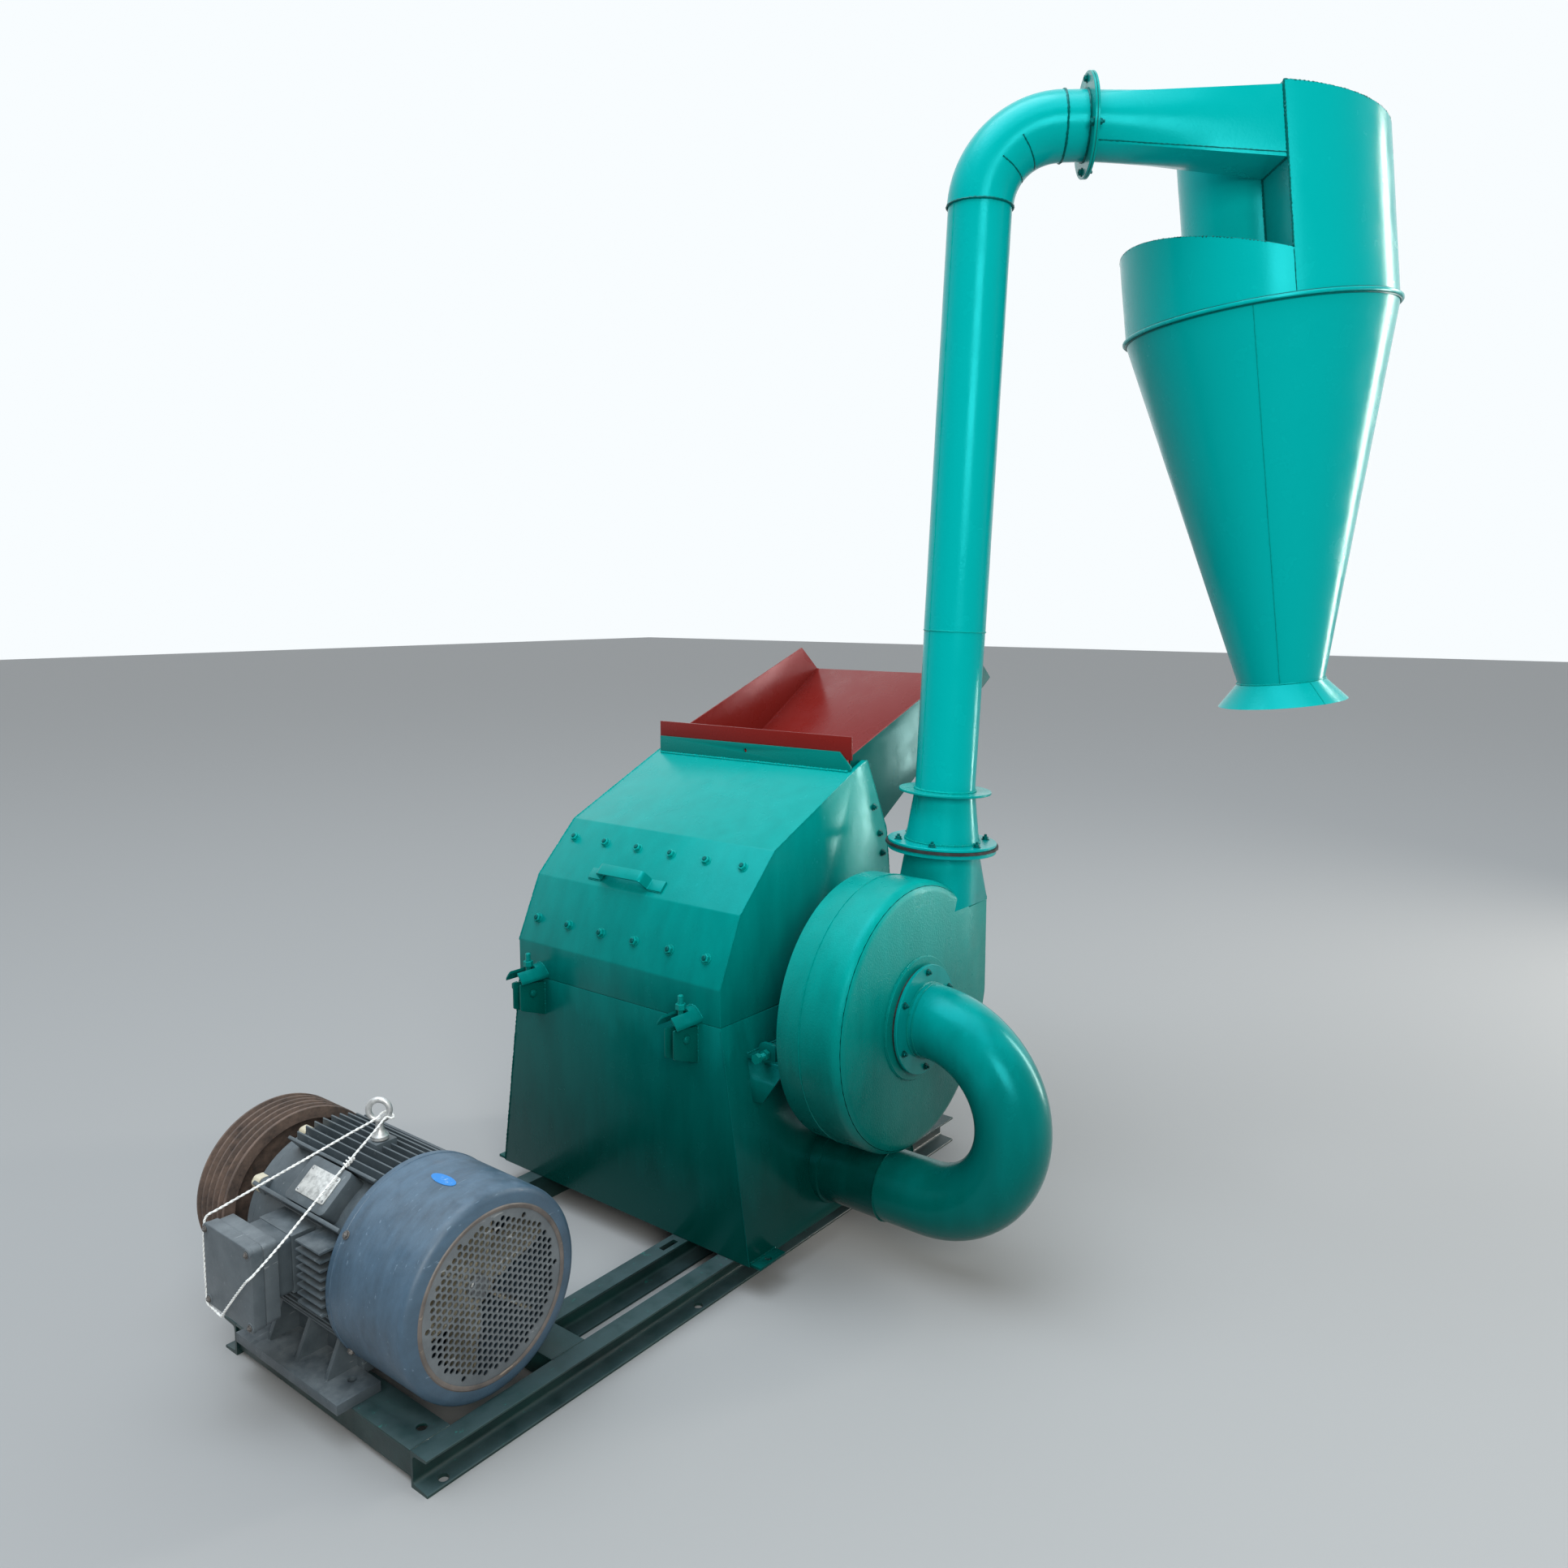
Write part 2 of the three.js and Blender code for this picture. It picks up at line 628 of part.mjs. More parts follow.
function studPlaces() {
  return STUD_ROWS.map(({ from, to, share }) => {
    const along = new THREE.Vector2(to[0] - from[0], to[1] - from[1]);
    const at = new THREE.Vector2(...from).addScaledVector(along, share);
    const outward = new THREE.Vector2(-along.y, along.x).normalize();
    return { at, outward };
  });
}

function studRod(radius, at, outward, y, from, to, segments) {
  const tilt = THREE.MathUtils.radToDeg(Math.atan2(outward.x, outward.y));
  const bar = rod("z", radius, [from, to], [0, 0], segments);
  return bar.rotate([0, tilt, 0]).translate([at.x, y, at.y]);
}

function studRowY(index) {
  return STUD_SPAN[0] + (index * (STUD_SPAN[1] - STUD_SPAN[0])) / (STUD_COUNT - 1);
}

function studs(radius) {
  const pieces = [];
  for (const { at, outward } of studPlaces()) {
    const inward = Math.hypot(at.x - SHAFT_X, at.y - SHAFT_Z) - LINER_RADIUS;
    for (let i = 0; i < STUD_COUNT; i++) {
      pieces.push(studRod(radius, at, outward, studRowY(i), -inward, 6, 6));
    }
  }
  return pieces;
}

function arcBand(inner, outer, span, fromAngle, toAngle) {
  const band = ring("y", outer, inner, span, [SHAFT_X, SHAFT_Z], 72);
  const reach = 2 * outer;
  const point = (angle, r) => [SHAFT_X + r * Math.cos(rad(angle)), SHAFT_Z + r * Math.sin(rad(angle))];
  const middle = (fromAngle + toAngle) / 2;
  const wedge = [
    [SHAFT_X, SHAFT_Z],
    point(fromAngle, reach),
    point((fromAngle + middle) / 2, reach),
    point(middle, reach),
    point((middle + toAngle) / 2, reach),
    point(toAngle, reach),
  ];
  return band.intersect(prism("y", wedge, span));
}

function breakerLiner() {
  const span = [-HALF_WIDTH_TOP + SHEET + 8, HALF_WIDTH_TOP - SHEET - 8];
  const band = arcBand(LINER_RADIUS, LINER_RADIUS + LINER_THICKNESS, span, 96, 174);
  const ribs = [];
  for (let angle = 100; angle < 172; angle += 10) {
    const rib = box([LINER_RADIUS - 5, LINER_RADIUS + 2], span, [-5, 5]);
    ribs.push(rib.rotate([0, -angle, 0]).translate([SHAFT_X, 0, SHAFT_Z]));
  }
  const heads = [];
  for (const { at, outward } of studPlaces()) {
    for (let i = 0; i < STUD_COUNT; i++) {
      heads.push(studRod(STUD_HEAD_RADIUS, at, outward, studRowY(i), GAP, 8, 8));
    }
  }
  return join(band, ribs, studs(STUD_RADIUS), heads);
}

function screen() {
  const span = [-HALF_WIDTH_TOP + SHEET + 6, HALF_WIDTH_TOP - SHEET - 6];
  const outer = SCREEN_RADIUS + SCREEN_THICKNESS;
  const from = 270 - SCREEN_HALF_ANGLE;
  return arcBand(SCREEN_RADIUS, outer, span, from, 270 + SCREEN_HALF_ANGLE);
}

function pinPlace(angle) {
  return [SHAFT_X + PIN_CIRCLE * Math.cos(rad(angle)), SHAFT_Z + PIN_CIRCLE * Math.sin(rad(angle))];
}

function rotorShaft() {
  const centre = [SHAFT_X, SHAFT_Z];
  const middle = rod("y", SHAFT_RADIUS, [-420, 404], centre);
  const fanEnd = rod("y", SHAFT_RADIUS - 5, [-562, -420], centre);
  const pulleyEnd = rod("y", SHAFT_RADIUS - 5, [404, MILL_PULLEY.y[1] + 8], centre);
  return join(middle, fanEnd, pulleyEnd);
}

function rotorPlates() {
  const centre = [SHAFT_X, SHAFT_Z];
  const half = ROTOR_PLATE_THICKNESS / 2;
  const plates = [-ROTOR_PLATE_Y, ROTOR_PLATE_Y].map((y) =>
    rod("y", PLATE_RADIUS, [y - half, y + half], centre, 28),
  );
  const hub = rod("y", HUB_RADIUS, [-ROTOR_PLATE_Y, ROTOR_PLATE_Y], centre);
  const bore = rod("y", SHAFT_RADIUS + GAP, [-300, 300], centre);
  const pinBores = ROWS.map((angle) => rod("y", PIN_RADIUS + GAP, [-300, 300], pinPlace(angle), PIN_SIDES));
  return cut(join(plates, hub), bore, pinBores);
}

function hammerPin(angle) {
  const face = ROTOR_PLATE_Y + ROTOR_PLATE_THICKNESS / 2 + GAP;
  const shank = rod("y", PIN_RADIUS, [-face - 9, face + 9], pinPlace(angle), PIN_SIDES);
  const collars = [
    [face, face + 7],
    [-face - 7, -face],
  ].map((span) => rod("y", PIN_RADIUS + 5, span, pinPlace(angle), PIN_SIDES));
  return join(shank, collars);
}

// The hammers of one row hang side by side on the sleeve that turns on their pin.
function hammerRow(angle, index) {
  const [px, pz] = pinPlace(angle);
  const shift = (index % 2 ? 1 : -1) * HAMMER_STAGGER;
  const reach = ROTOR_PLATE_Y - ROTOR_PLATE_THICKNESS / 2 - 2;
  const sleeve = rod("y", HAMMER_SLEEVE_RADIUS, [-reach, reach], [px, pz], PIN_SIDES);
  const hammers = [];
  for (let i = 0; i < HAMMERS_IN_ROW; i++) {
    const y = (i - (HAMMERS_IN_ROW - 1) / 2) * HAMMER_PITCH + shift;
    hammers.push(
      box(
        [px - HAMMER_WIDTH / 2, px + HAMMER_WIDTH / 2],
        [y - HAMMER_THICKNESS / 2, y + HAMMER_THICKNESS / 2],
        [pz - HAMMER_REACH, pz + HAMMER_HEAD],
      ),
    );
  }
  const bore = rod("y", PIN_RADIUS + 2 * GAP, [-300, 300], [px, pz], PIN_SIDES);
  return cut(join(sleeve, hammers), bore);
}

// A V-belt pulley with a disc web, grooves and a hub.
function pulley({ y, radius, grooves, bore }, centre) {
  const [y0, y1] = y;
  const pitch = 19;
  const depth = 15;
  const edge = (y1 - y0 - grooves * pitch) / 2;
  const rimInner = radius - depth - 10;
  const hub = bore + 18;
  const middle = (y0 + y1) / 2;
  const profile = [[radius - 1, y0]];
  for (let i = 0; i < grooves; i++) {
    const start = y0 + edge + i * pitch;
    profile.push([radius, start + 1.5]);
    profile.push([radius - depth, start + 6]);
    profile.push([radius - depth, start + 13]);
    profile.push([radius, start + 17.5]);
  }
  profile.push([radius - 1, y1]);
  profile.push([rimInner, y1]);
  profile.push([rimInner, middle + 9]);
  profile.push([hub, middle + 9]);
  profile.push([hub, y1]);
  profile.push([bore + GAP, y1]);
  profile.push([bore + GAP, y0]);
  profile.push([hub, y0]);
  profile.push([hub, middle - 9]);
  profile.push([rimInner, middle - 9]);
  profile.push([rimInner, y0]);
  profile.push([radius - 1, y0]);
  return turned("y", profile, centre, 20);
}

// ---- rotor bearings --------------------------------------------------------------------------

const BEARING_BASE_Z = SHAFT_Z - 70;
const BEARING_HALF_LENGTH = 119;
const BEARING_SPAN = [338, 398]; // distance from the mid-plane, near and far alike

function mirrored(span, side) {
  return side > 0 ? span : [-span[1], -span[0]];
}

function bearing(side) {
  const span = mirrored(BEARING_SPAN, side);
  const base = box(
    [SHAFT_X - BEARING_HALF_LENGTH, SHAFT_X + BEARING_HALF_LENGTH],
    span,
    [BEARING_BASE_Z, BEARING_BASE_Z + 20],
  );
  const housing = rod("y", 66, span, [SHAFT_X, SHAFT_Z], 28);
  const neck = box([SHAFT_X - 60, SHAFT_X + 60], span, [BEARING_BASE_Z, SHAFT_Z - 10]);
  const bolts = [-95, 95].map((dx) =>
    hexagon("z", 12, [BEARING_BASE_Z + 19, BEARING_BASE_Z + 31], [SHAFT_X + dx, (span[0] + span[1]) / 2]),
  );
  const bore = rod("y", SHAFT_RADIUS + GAP, [-600, 600], [SHAFT_X, SHAFT_Z]);
  return cut(join(base, housing, neck, bolts), bore);
}

// A shelf welded to the flared side wall, with a lug and a jack screw at its front end.
function bearingBracket(side) {
  const x = [800, 1262];
  const outer = 416;
  const top = BEARING_BASE_Z - GAP;
  const low = 377;
  const wall = casingHalfWidth(low) - 30;
  const shelf = box(x, mirrored([wall, outer], side), [top - 8, top]);
  const gussetOutline = [
    [side * wall, low - 20],
    [side * (outer - 60), low],
    [side * outer, top - 8],
    [side * outer, top],
    [side * wall, top],
  ];
  const gussets = [x[0], SHAFT_X - 60, SHAFT_X + 52, x[1] - 8].map((at) =>
    prism("x", gussetOutline, [at, at + 8]),
  );
  const lug = box([x[0], x[0] + 10], mirrored([345, 391], side), [top, top + 34]);
  const screwAt = [side * 368, BEARING_BASE_Z + 12];
  const screw = rod("x", 6, [770, SHAFT_X - BEARING_HALF_LENGTH - GAP], screwAt, 12);
  const head = hexagon("x", 11, [762, 772], screwAt);
  const lock = hexagon("x", 11, [788, 801], screwAt);
  const casing = prism("x", casingOutline(GAP, CASING_FOOT_Z, CASING_TOP_Z), [600, 1500]);
  return cut(join(shelf, gussets, lug, screw, head, lock), casing);
}

// ---- suction fan -----------------------------------------------------------------------------

function circlePoints(radius, z, [x, y], segments) {
  const points = [];
  for (let i = 0; i < segments; i++) {
    const angle = (i / segments) * 2 * Math.PI;
    points.push(new THREE.Vector3(x + radius * Math.cos(angle), y + radius * Math.sin(angle), z));
  }
  return points;
}

function squarePoints([x0, x1], [y0, y1], z) {
  return [x0, x1].flatMap((x) => [y0, y1].map((y) => new THREE.Vector3(x, y, z)));
}

// Moves a piece drawn on the riser's axis to the fan outlet, leaning as the riser does.
function leaned(body) {
  return body.rotate([0, RISER_LEAN, HEADING]).translate(OUTLET_CENTRE);
}

// The space around the outlet, from a little under or over its seam.
function outletRoom(rise) {
  const [xs, ys, top] = OUTLET_ROOM;
  return box(xs, ys, [OUTLET_SEAM_Z + rise, top]);
}

// The fan's drum, scroll and square-to-round outlet grown inwards by a wall thickness.
function fanVolume(wall) {
  const centre = [SHAFT_X, SHAFT_Z];
  const radius = FAN_RADIUS - wall;
  const y0 = FAN_FRONT_Y + wall;
  const y1 = FAN_BACK_Y - wall;
  const edge = FAN_EDGE - wall;
  const profile = [[0, y0]];
  for (let i = 0; i <= 4; i++) {
    const angle = (i / 4) * (Math.PI / 2);
    const r = radius - edge + edge * Math.sin(angle);
    profile.push([r, y0 + edge - edge * Math.cos(angle)]);
  }
  profile.push([radius, y1], [0, y1]);
  const drum = turned("y", profile, centre, 36);
  const xs = [OUTLET_X[0] + wall, OUTLET_X[1] - wall];
  const neck = box(xs, [y0, y1], [SHAFT_Z, OUTLET_SQUARE_Z + 1]);
  const open = wall > 0 ? 12 : 0;
  const [ox, oy] = OUTLET_CENTRE;
  const transition = hull([
    ...squarePoints(xs, [y0, y1], OUTLET_SQUARE_Z),
    ...circlePoints(PIPE_RADIUS + FAN_SHEET - wall, OUTLET_TOP_Z + open, [ox, oy], 24),
  ]);
  return join(drum, neck, transition);
}

function fanHousing() {
  const eye = rod("y", PIPE_RADIUS, [FAN_FRONT_Y - 5, FAN_FRONT_Y + 30], [SHAFT_X, SHAFT_Z]);
  const shaftHole = rod("y", 46, [FAN_BACK_Y - 20, FAN_BACK_Y + 5], [SHAFT_X, SHAFT_Z]);
  const shell = cut(fanVolume(0), fanVolume(FAN_SHEET), eye, shaftHole, outletRoom(-GAP / 2));
  const struts = [-60, 48].map((dx) =>
    box([SHAFT_X + dx, SHAFT_X + dx + 12], [FAN_BACK_Y - 2, -416 - GAP], [400, 440]),
  );
  return join(shell, struts);
}

function fanOutlet() {
  const shell = cut(fanVolume(0), fanVolume(FAN_SHEET)).intersect(outletRoom(GAP / 2));
  const flange = ring("z", FLANGE_RADIUS, PIPE_RADIUS + 1, OUTLET_FLANGE, [0, 0], 32);
  return join(shell, leaned(flange));
}

function fanImpeller() {
  const centre = [SHAFT_X, SHAFT_Z];
  const back = rod("y", 238, [-448, -443], centre, 40);
  const hub = rod("y", 46, [-520, -443], centre);
  const blades = [];
  for (let i = 0; i < 6; i++) {
    const blade = box([36, 236], [-545, -447], [-3, 3]);
    blades.push(blade.rotate([0, i * 60, 0]).translate([SHAFT_X, 0, SHAFT_Z]));
  }
  const bore = rod("y", SHAFT_RADIUS - 5 + GAP, [-600, -400], centre);
  return cut(join(back, hub, blades), bore);
}

function boltCircle(axis, count, circle, radius, span, [a, b], start = 0) {
  const bolts = [];
  for (let i = 0; i < count; i++) {
    const angle = start + (i / count) * 2 * Math.PI;
    const at = [a + circle * Math.cos(angle), b + circle * Math.sin(angle)];
    bolts.push(hexagon(axis, radius, span, at));
  }
  return bolts;
}

const INLET_FACE_Y = FAN_FRONT_Y - GAP;

const BEND_RADIUS = (SHAFT_Z - SUCTION_Z) / 2;

// Stops of a quarter of the bend; the first quarter starts at the fan, the second ends under it.
function bendStops(quarter) {
  const middle = new THREE.Vector3(SHAFT_X, BEND_END_Y, SHAFT_Z - BEND_RADIUS);
  const up = new THREE.Vector3(0, 0, 1);
  const outward = new THREE.Vector3(0, -1, 0);
  const down = up.clone().negate();
  if (quarter === 0) return arcStops(middle, up, outward, BEND_RADIUS, 90, 5);
  return arcStops(middle.addScaledVector(up, -GAP), outward, down, BEND_RADIUS, 90, 5);
}

const ACROSS_BEND = new THREE.Vector3(1, 0, 0);

function upperBend() {
  const centre = [SHAFT_X, SHAFT_Z];
  const flangeSpan = [INLET_FACE_Y - FLANGE_THICKNESS, INLET_FACE_Y];
  const flange = ring("y", FLANGE_RADIUS, PIPE_RADIUS - 1.5, flangeSpan, centre, 20);
  const bolts = boltCircle("y", 6, 97, 8, [flangeSpan[0] - 6, flangeSpan[0] + 1], centre, 0.3);
  const start = {
    at: new THREE.Vector3(SHAFT_X, INLET_FACE_Y, SHAFT_Z),
    along: new THREE.Vector3(0, -1, 0),
  };
  const pipe = bentPipe([start, ...bendStops(0)], ACROSS_BEND, PIPE_RADIUS, PIPE_RADIUS - 3);
  return join(flange, bolts, pipe);
}

function lowerBend() {
  const end = {
    at: new THREE.Vector3(SHAFT_X, SUCTION_JOINT_Y - GAP, SUCTION_Z - GAP),
    along: new THREE.Vector3(0, 1, 0),
  };
  return bentPipe([...bendStops(1), end], ACROSS_BEND, PIPE_RADIUS, PIPE_RADIUS - 3);
}

function suctionPipe() {
  const centre = [SHAFT_X, SUCTION_Z];
  const pipe = ring("y", PIPE_RADIUS, PIPE_RADIUS - 3, [SUCTION_JOINT_Y, -330], centre, 24);
  const collar = ring("y", PIPE_RADIUS + 14, PIPE_RADIUS - 2, [-385, -340], centre, 32);
  const casing = prism("x", casingOutline(GAP, CASING_FOOT_Z, CASING_TOP_Z), [600, 1500]);
  return cut(join(pipe, collar), casing);
}

// ---- discharge pipework ----------------------------------------------------------------------

const RISER_TOP = REDUCER_HEIGHT + GAP + RISER_LENGTH;

function gasket() {
  const span = [OUTLET_FLANGE[1] + GAP, -GAP];
  return ring("z", FLANGE_RADIUS + 3, PIPE_RADIUS, span, [0, 0], 28);
}

// Drawn standing on its flange at the group's origin.
function reducer() {
  const wall = PIPE_SHEET;
  const profile = [
    [PIPE_RADIUS + 3, 0],
    [FLANGE_RADIUS, 0],
    [FLANGE_RADIUS, 6],
    [PIPE_RADIUS + 3 + wall, 6],
    [RISER_RADIUS, REDUCER_HEIGHT - 5],
    [JOINT_RING_RADIUS, REDUCER_HEIGHT - 5],
    [JOINT_RING_RADIUS, REDUCER_HEIGHT],
    [RISER_RADIUS - wall, REDUCER_HEIGHT],
    [PIPE_RADIUS + 3, 6],
    [PIPE_RADIUS + 3, 0],
  ];
  const bolts = boltCircle("z", 6, 99, 8, [5, 13], [0, 0]);
  return join(turned("z", profile, [0, 0], 24), bolts);
}

function riser() {
  const z0 = REDUCER_HEIGHT + GAP;
  const wall = PIPE_SHEET;
  const pipe = ring("z", RISER_RADIUS, RISER_RADIUS - wall, [z0, RISER_TOP], [0, 0], 24);
  const foot = ring("z", JOINT_RING_RADIUS, RISER_RADIUS - wall, [z0, z0 + 5], [0, 0], 24);
  const bolts = boltCircle("z", 4, 84, 6, [z0 + 4, z0 + 10], [0, 0], 0.5);
  return join(pipe, foot, bolts);
}

// Where the elbow starts and ends in the plane of the pipework.
function elbowFrame() {
  const lean = rad(RISER_LEAN);
  const rise = rad(ELBOW_RISE);
  const top = RISER_TOP + GAP;
  const start = new THREE.Vector3(Math.sin(lean) * top, 0, Math.cos(lean) * top);
  const across = new THREE.Vector3(Math.cos(lean), 0, -Math.sin(lean));
  const upward = new THREE.Vector3(Math.sin(lean), 0, Math.cos(lean));
  const centre = start.clone().addScaledVector(across, ELBOW_RADIUS);
  const out = new THREE.Vector3(Math.cos(rise), 0, Math.sin(rise));
  const end = new THREE.Vector3(-Math.sin(rise), 0, Math.cos(rise))
    .multiplyScalar(ELBOW_RADIUS)
    .add(centre);
  return { centre, across, upward, out, end };
}

// A ring or disc with its axis along the elbow's outlet, starting a distance from its end.
function onOutlet(body, distance) {
  const { end, out } = elbowFrame();
  const place = end.clone().addScaledVector(out, distance);
  return body.rotate([0, 90 - ELBOW_RISE, 0]).translate(place.toArray());
}

// The elbow is two mitred lengths welded end to end, the upper one with the collar.
function elbow(upper) {
  const { centre, across, upward, out, end } = elbowFrame();
  const turn = 90 - RISER_LEAN - ELBOW_RISE;
  const stops = arcStops(centre, across.negate(), upward, ELBOW_RADIUS, turn, 8);
  const side = new THREE.Vector3(0, 1, 0);
  const half = upper ? stops.slice(4) : stops.slice(0, 5);
  if (upper) {
    half.push({ at: end.clone().addScaledVector(out, COLLAR_LENGTH), along: out });
    half[0].at.addScaledVector(half[0].along, GAP);
  }
  const pipe = bentPipe(half, side, ELBOW_PIPE_RADIUS, ELBOW_PIPE_RADIUS - PIPE_SHEET);
  if (!upper) return pipe;
  const flangeSpan = [COLLAR_LENGTH - 6, COLLAR_LENGTH];
  const flange = ring("z", DUCT_FLANGE_RADIUS, ELBOW_PIPE_RADIUS - 1, flangeSpan, [0, 0], 20);
  return join(pipe, onOutlet(flange, 0));
}

// Corners of the duct's square end, on the hood's flat wall, in the pipework's frame.
function ductEnd(wall, proud) {
  const cyclone = new THREE.Matrix4()
    .makeTranslation(...CYCLONE_CENTRE)
    .multiply(new THREE.Matrix4().makeRotationY(rad(CYCLONE_LEAN)));
  const near = -CYCLONE_CENTRE[1] - 68 + wall;
  const far = -CYCLONE_CENTRE[1] + 68 - wall;
  return squarePoints([INLET_Z[0] + wall, INLET_Z[1] - wall], [near, far], 0).map((p) =>
    new THREE.Vector3(CHORD_X - GAP + proud, p.y, p.x).applyMatrix4(cyclone),
  );
}

function inletDuct() {
  const { end, out } = elbowFrame();
  const face = COLLAR_LENGTH + GAP;
  const side = new THREE.Vector3(0, 1, 0);
  const up = new THREE.Vector3().crossVectors(out, side);
  const volume = (wall, proud) => {
    const centre = end.clone().addScaledVector(out, face - proud);
    const round = [];
    for (let i = 0; i < 24; i++) {
      const angle = (i / 24) * 2 * Math.PI;
      round.push(
        centre
          .clone()
          .addScaledVector(side, (ELBOW_PIPE_RADIUS - wall) * Math.cos(angle))
          .addScaledVector(up, (ELBOW_PIPE_RADIUS - wall) * Math.sin(angle)),
      );
    }
    return hull([...round, ...ductEnd(wall, proud)]);
  };
  const inner = ELBOW_PIPE_RADIUS - PIPE_SHEET;
  const flange = ring("z", DUCT_FLANGE_RADIUS, inner, [face, face + 6], [0, 0], 24);
  const bolts = boltCircle("z", 6, 84, 7, [face + 5, face + 12], [0, 0], 0.26);
  const body = join(volume(0, 0), onOutlet(join(flange, bolts), 0));
  const bore = rod("z", inner, [face - 5, face + 8], [0, 0], 24);
  return cut(body, volume(PIPE_SHEET, 5), onOutlet(bore, 0));
}

// ---- cyclone, in its own frame with the cone's ring at Z = 0 ---------------------------------

// Everything above a plane that falls or rises along X, between two places on X.
function above([x0, z0], [x1, z1]) {
  const outline = [
    [x0, z0],
    [x1, z1],
    [x1, 800],
    [x0, 800],
  ];
  return prism("y", outline, [-400, 400]);
}

// The tops of drum and hood both slope, so a cylinder is cut by a tilted block on either side.
function cycloneVolume(wall) {
  const low = wall > 0 ? -10 : 0;
  const full = rod("z", CYCLONE_RADIUS - wall, [low, HOOD_HEIGHT_LEFT], [0, 0], 48);
  const edge = CHORD_X + wall;
  const drumTop = above(
    [-CYCLONE_RADIUS, DRUM_HEIGHT_LEFT - wall],
    [edge, DRUM_HEIGHT_RIGHT - wall],
  );
  const hoodTop = above([edge - 0.1, HOOD_HEIGHT_LEFT - wall], [CYCLONE_RADIUS, HOOD_HEIGHT_RIGHT - wall]);
  return cut(full, drumTop, hoodTop);
}

function cycloneBody() {
  const sleeve = rod("z", VORTEX_RADIUS + GAP, [20, 600], [0, 0], 32);
  const inlet = box([CHORD_X - 10, CHORD_X + 10], [-279, -149], [INLET_Z[0] + 3, INLET_Z[1] - 3]);
  return cut(cycloneVolume(0), cycloneVolume(CYCLONE_SHEET), sleeve, inlet);
}

function vortexTube() {
  const span = [-VORTEX_DEPTH, VORTEX_TOP];
  return ring("z", VORTEX_RADIUS, VORTEX_RADIUS - PIPE_SHEET, span, [0, 0], 32);
}

function cone() {
  const wall = CYCLONE_SHEET;
  const bottom = -CONE_LENGTH;
  const profile = [
    [CYCLONE_RADIUS - wall, -GAP],
    [CYCLONE_RADIUS + 8, -GAP],
    [CYCLONE_RADIUS + 8, -8],
    [CYCLONE_RADIUS, -8],
    [CONE_END_RADIUS, bottom],
    [SKIRT_RADIUS, bottom - SKIRT_LENGTH],
    [SKIRT_RADIUS - wall - 1, bottom - SKIRT_LENGTH],
    [CONE_END_RADIUS - wall, bottom],
    [CYCLONE_RADIUS - wall, -8],
    [CYCLONE_RADIUS - wall, -GAP],
  ];
  return turned("z", profile, [0, 0], 32);
}

function addDischarge(group) {
  const plane = new THREE.Group();
  plane.position.set(...OUTLET_CENTRE);
  plane.rotation.z = rad(HEADING);
  group.add(plane);
  const standing = new THREE.Group();
  standing.rotation.y = rad(RISER_LEAN);
  plane.add(standing);
  part(standing, "outlet_gasket", gasket(), RUBBER);
  part(standing, "reducer", reducer(), GREEN);
  part(standing, "riser_pipe", riser(), GREEN);
  part(plane, "elbow_lower", elbow(false), GREEN);
  part(plane, "elbow_upper", elbow(true), GREEN);
  part(plane, "inlet_duct", inletDuct(), GREEN);
  const cyclone = new THREE.Group();
  cyclone.position.set(...CYCLONE_CENTRE);
  cyclone.rotation.y = rad(CYCLONE_LEAN);
  plane.add(cyclone);
  part(cyclone, "cyclone_body", cycloneBody(), GREEN);
  part(cyclone, "vortex_tube", vortexTube(), GREEN);
  part(cyclone, "cyclone_cone", cone(), GREEN);
}

// ---- feed tray -------------------------------------------------------------------------------

function feedTray() {
  const width = [-TRAY_HALF_WIDTH, TRAY_HALF_WIDTH];
  const wall = TRAY_SHEET;
  const full = prism("y", TRAY_OUTLINE, width);
  const [foot, , corner, end, heel] = TRAY_OUTLINE;
  const along = new THREE.Vector2(end[0] - heel[0], end[1] - heel[1]).normalize();
  const lift = [-along.y * wall, along.x * wall];
  const floorLine = [heel, end].map(([x, z]) => [x + lift[0], z + lift[1]]);
  const reach = 200;
  const hollow = prism(
    "y",
    [
      [floorLine[0][0] - along.x * reach, floorLine[0][1] - along.y * reach],
      [floorLine[1][0] + along.x * reach, floorLine[1][1] + along.y * reach],
      [corner[0] + reach, corner[1] + reach],
      [foot[0] - reach, foot[1] + reach],
    ],
    [-TRAY_HALF_WIDTH + wall, TRAY_HALF_WIDTH - wall],
  );
  const { x, z, halfWidth } = TRAY_LIP;
  const lip = box(x, [-halfWidth, halfWidth], z);
  const tie = box([x[1] - 1, foot[0] + 6], width, [TRAY_LIP.z[0], TRAY_OUTLINE[1][1]]);
  return join(cut(full, hollow), lip, tie);
}

// ---- motor -----------------------------------------------------------------------------------

// Turns a piece drawn to the right of the motor's axis round the barrel, degrees from +X.
function onBarrel(body, angle) {
  return body.rotate([0, -angle, 0]).translate([MOTOR_X, 0, MOTOR_Z]);
}

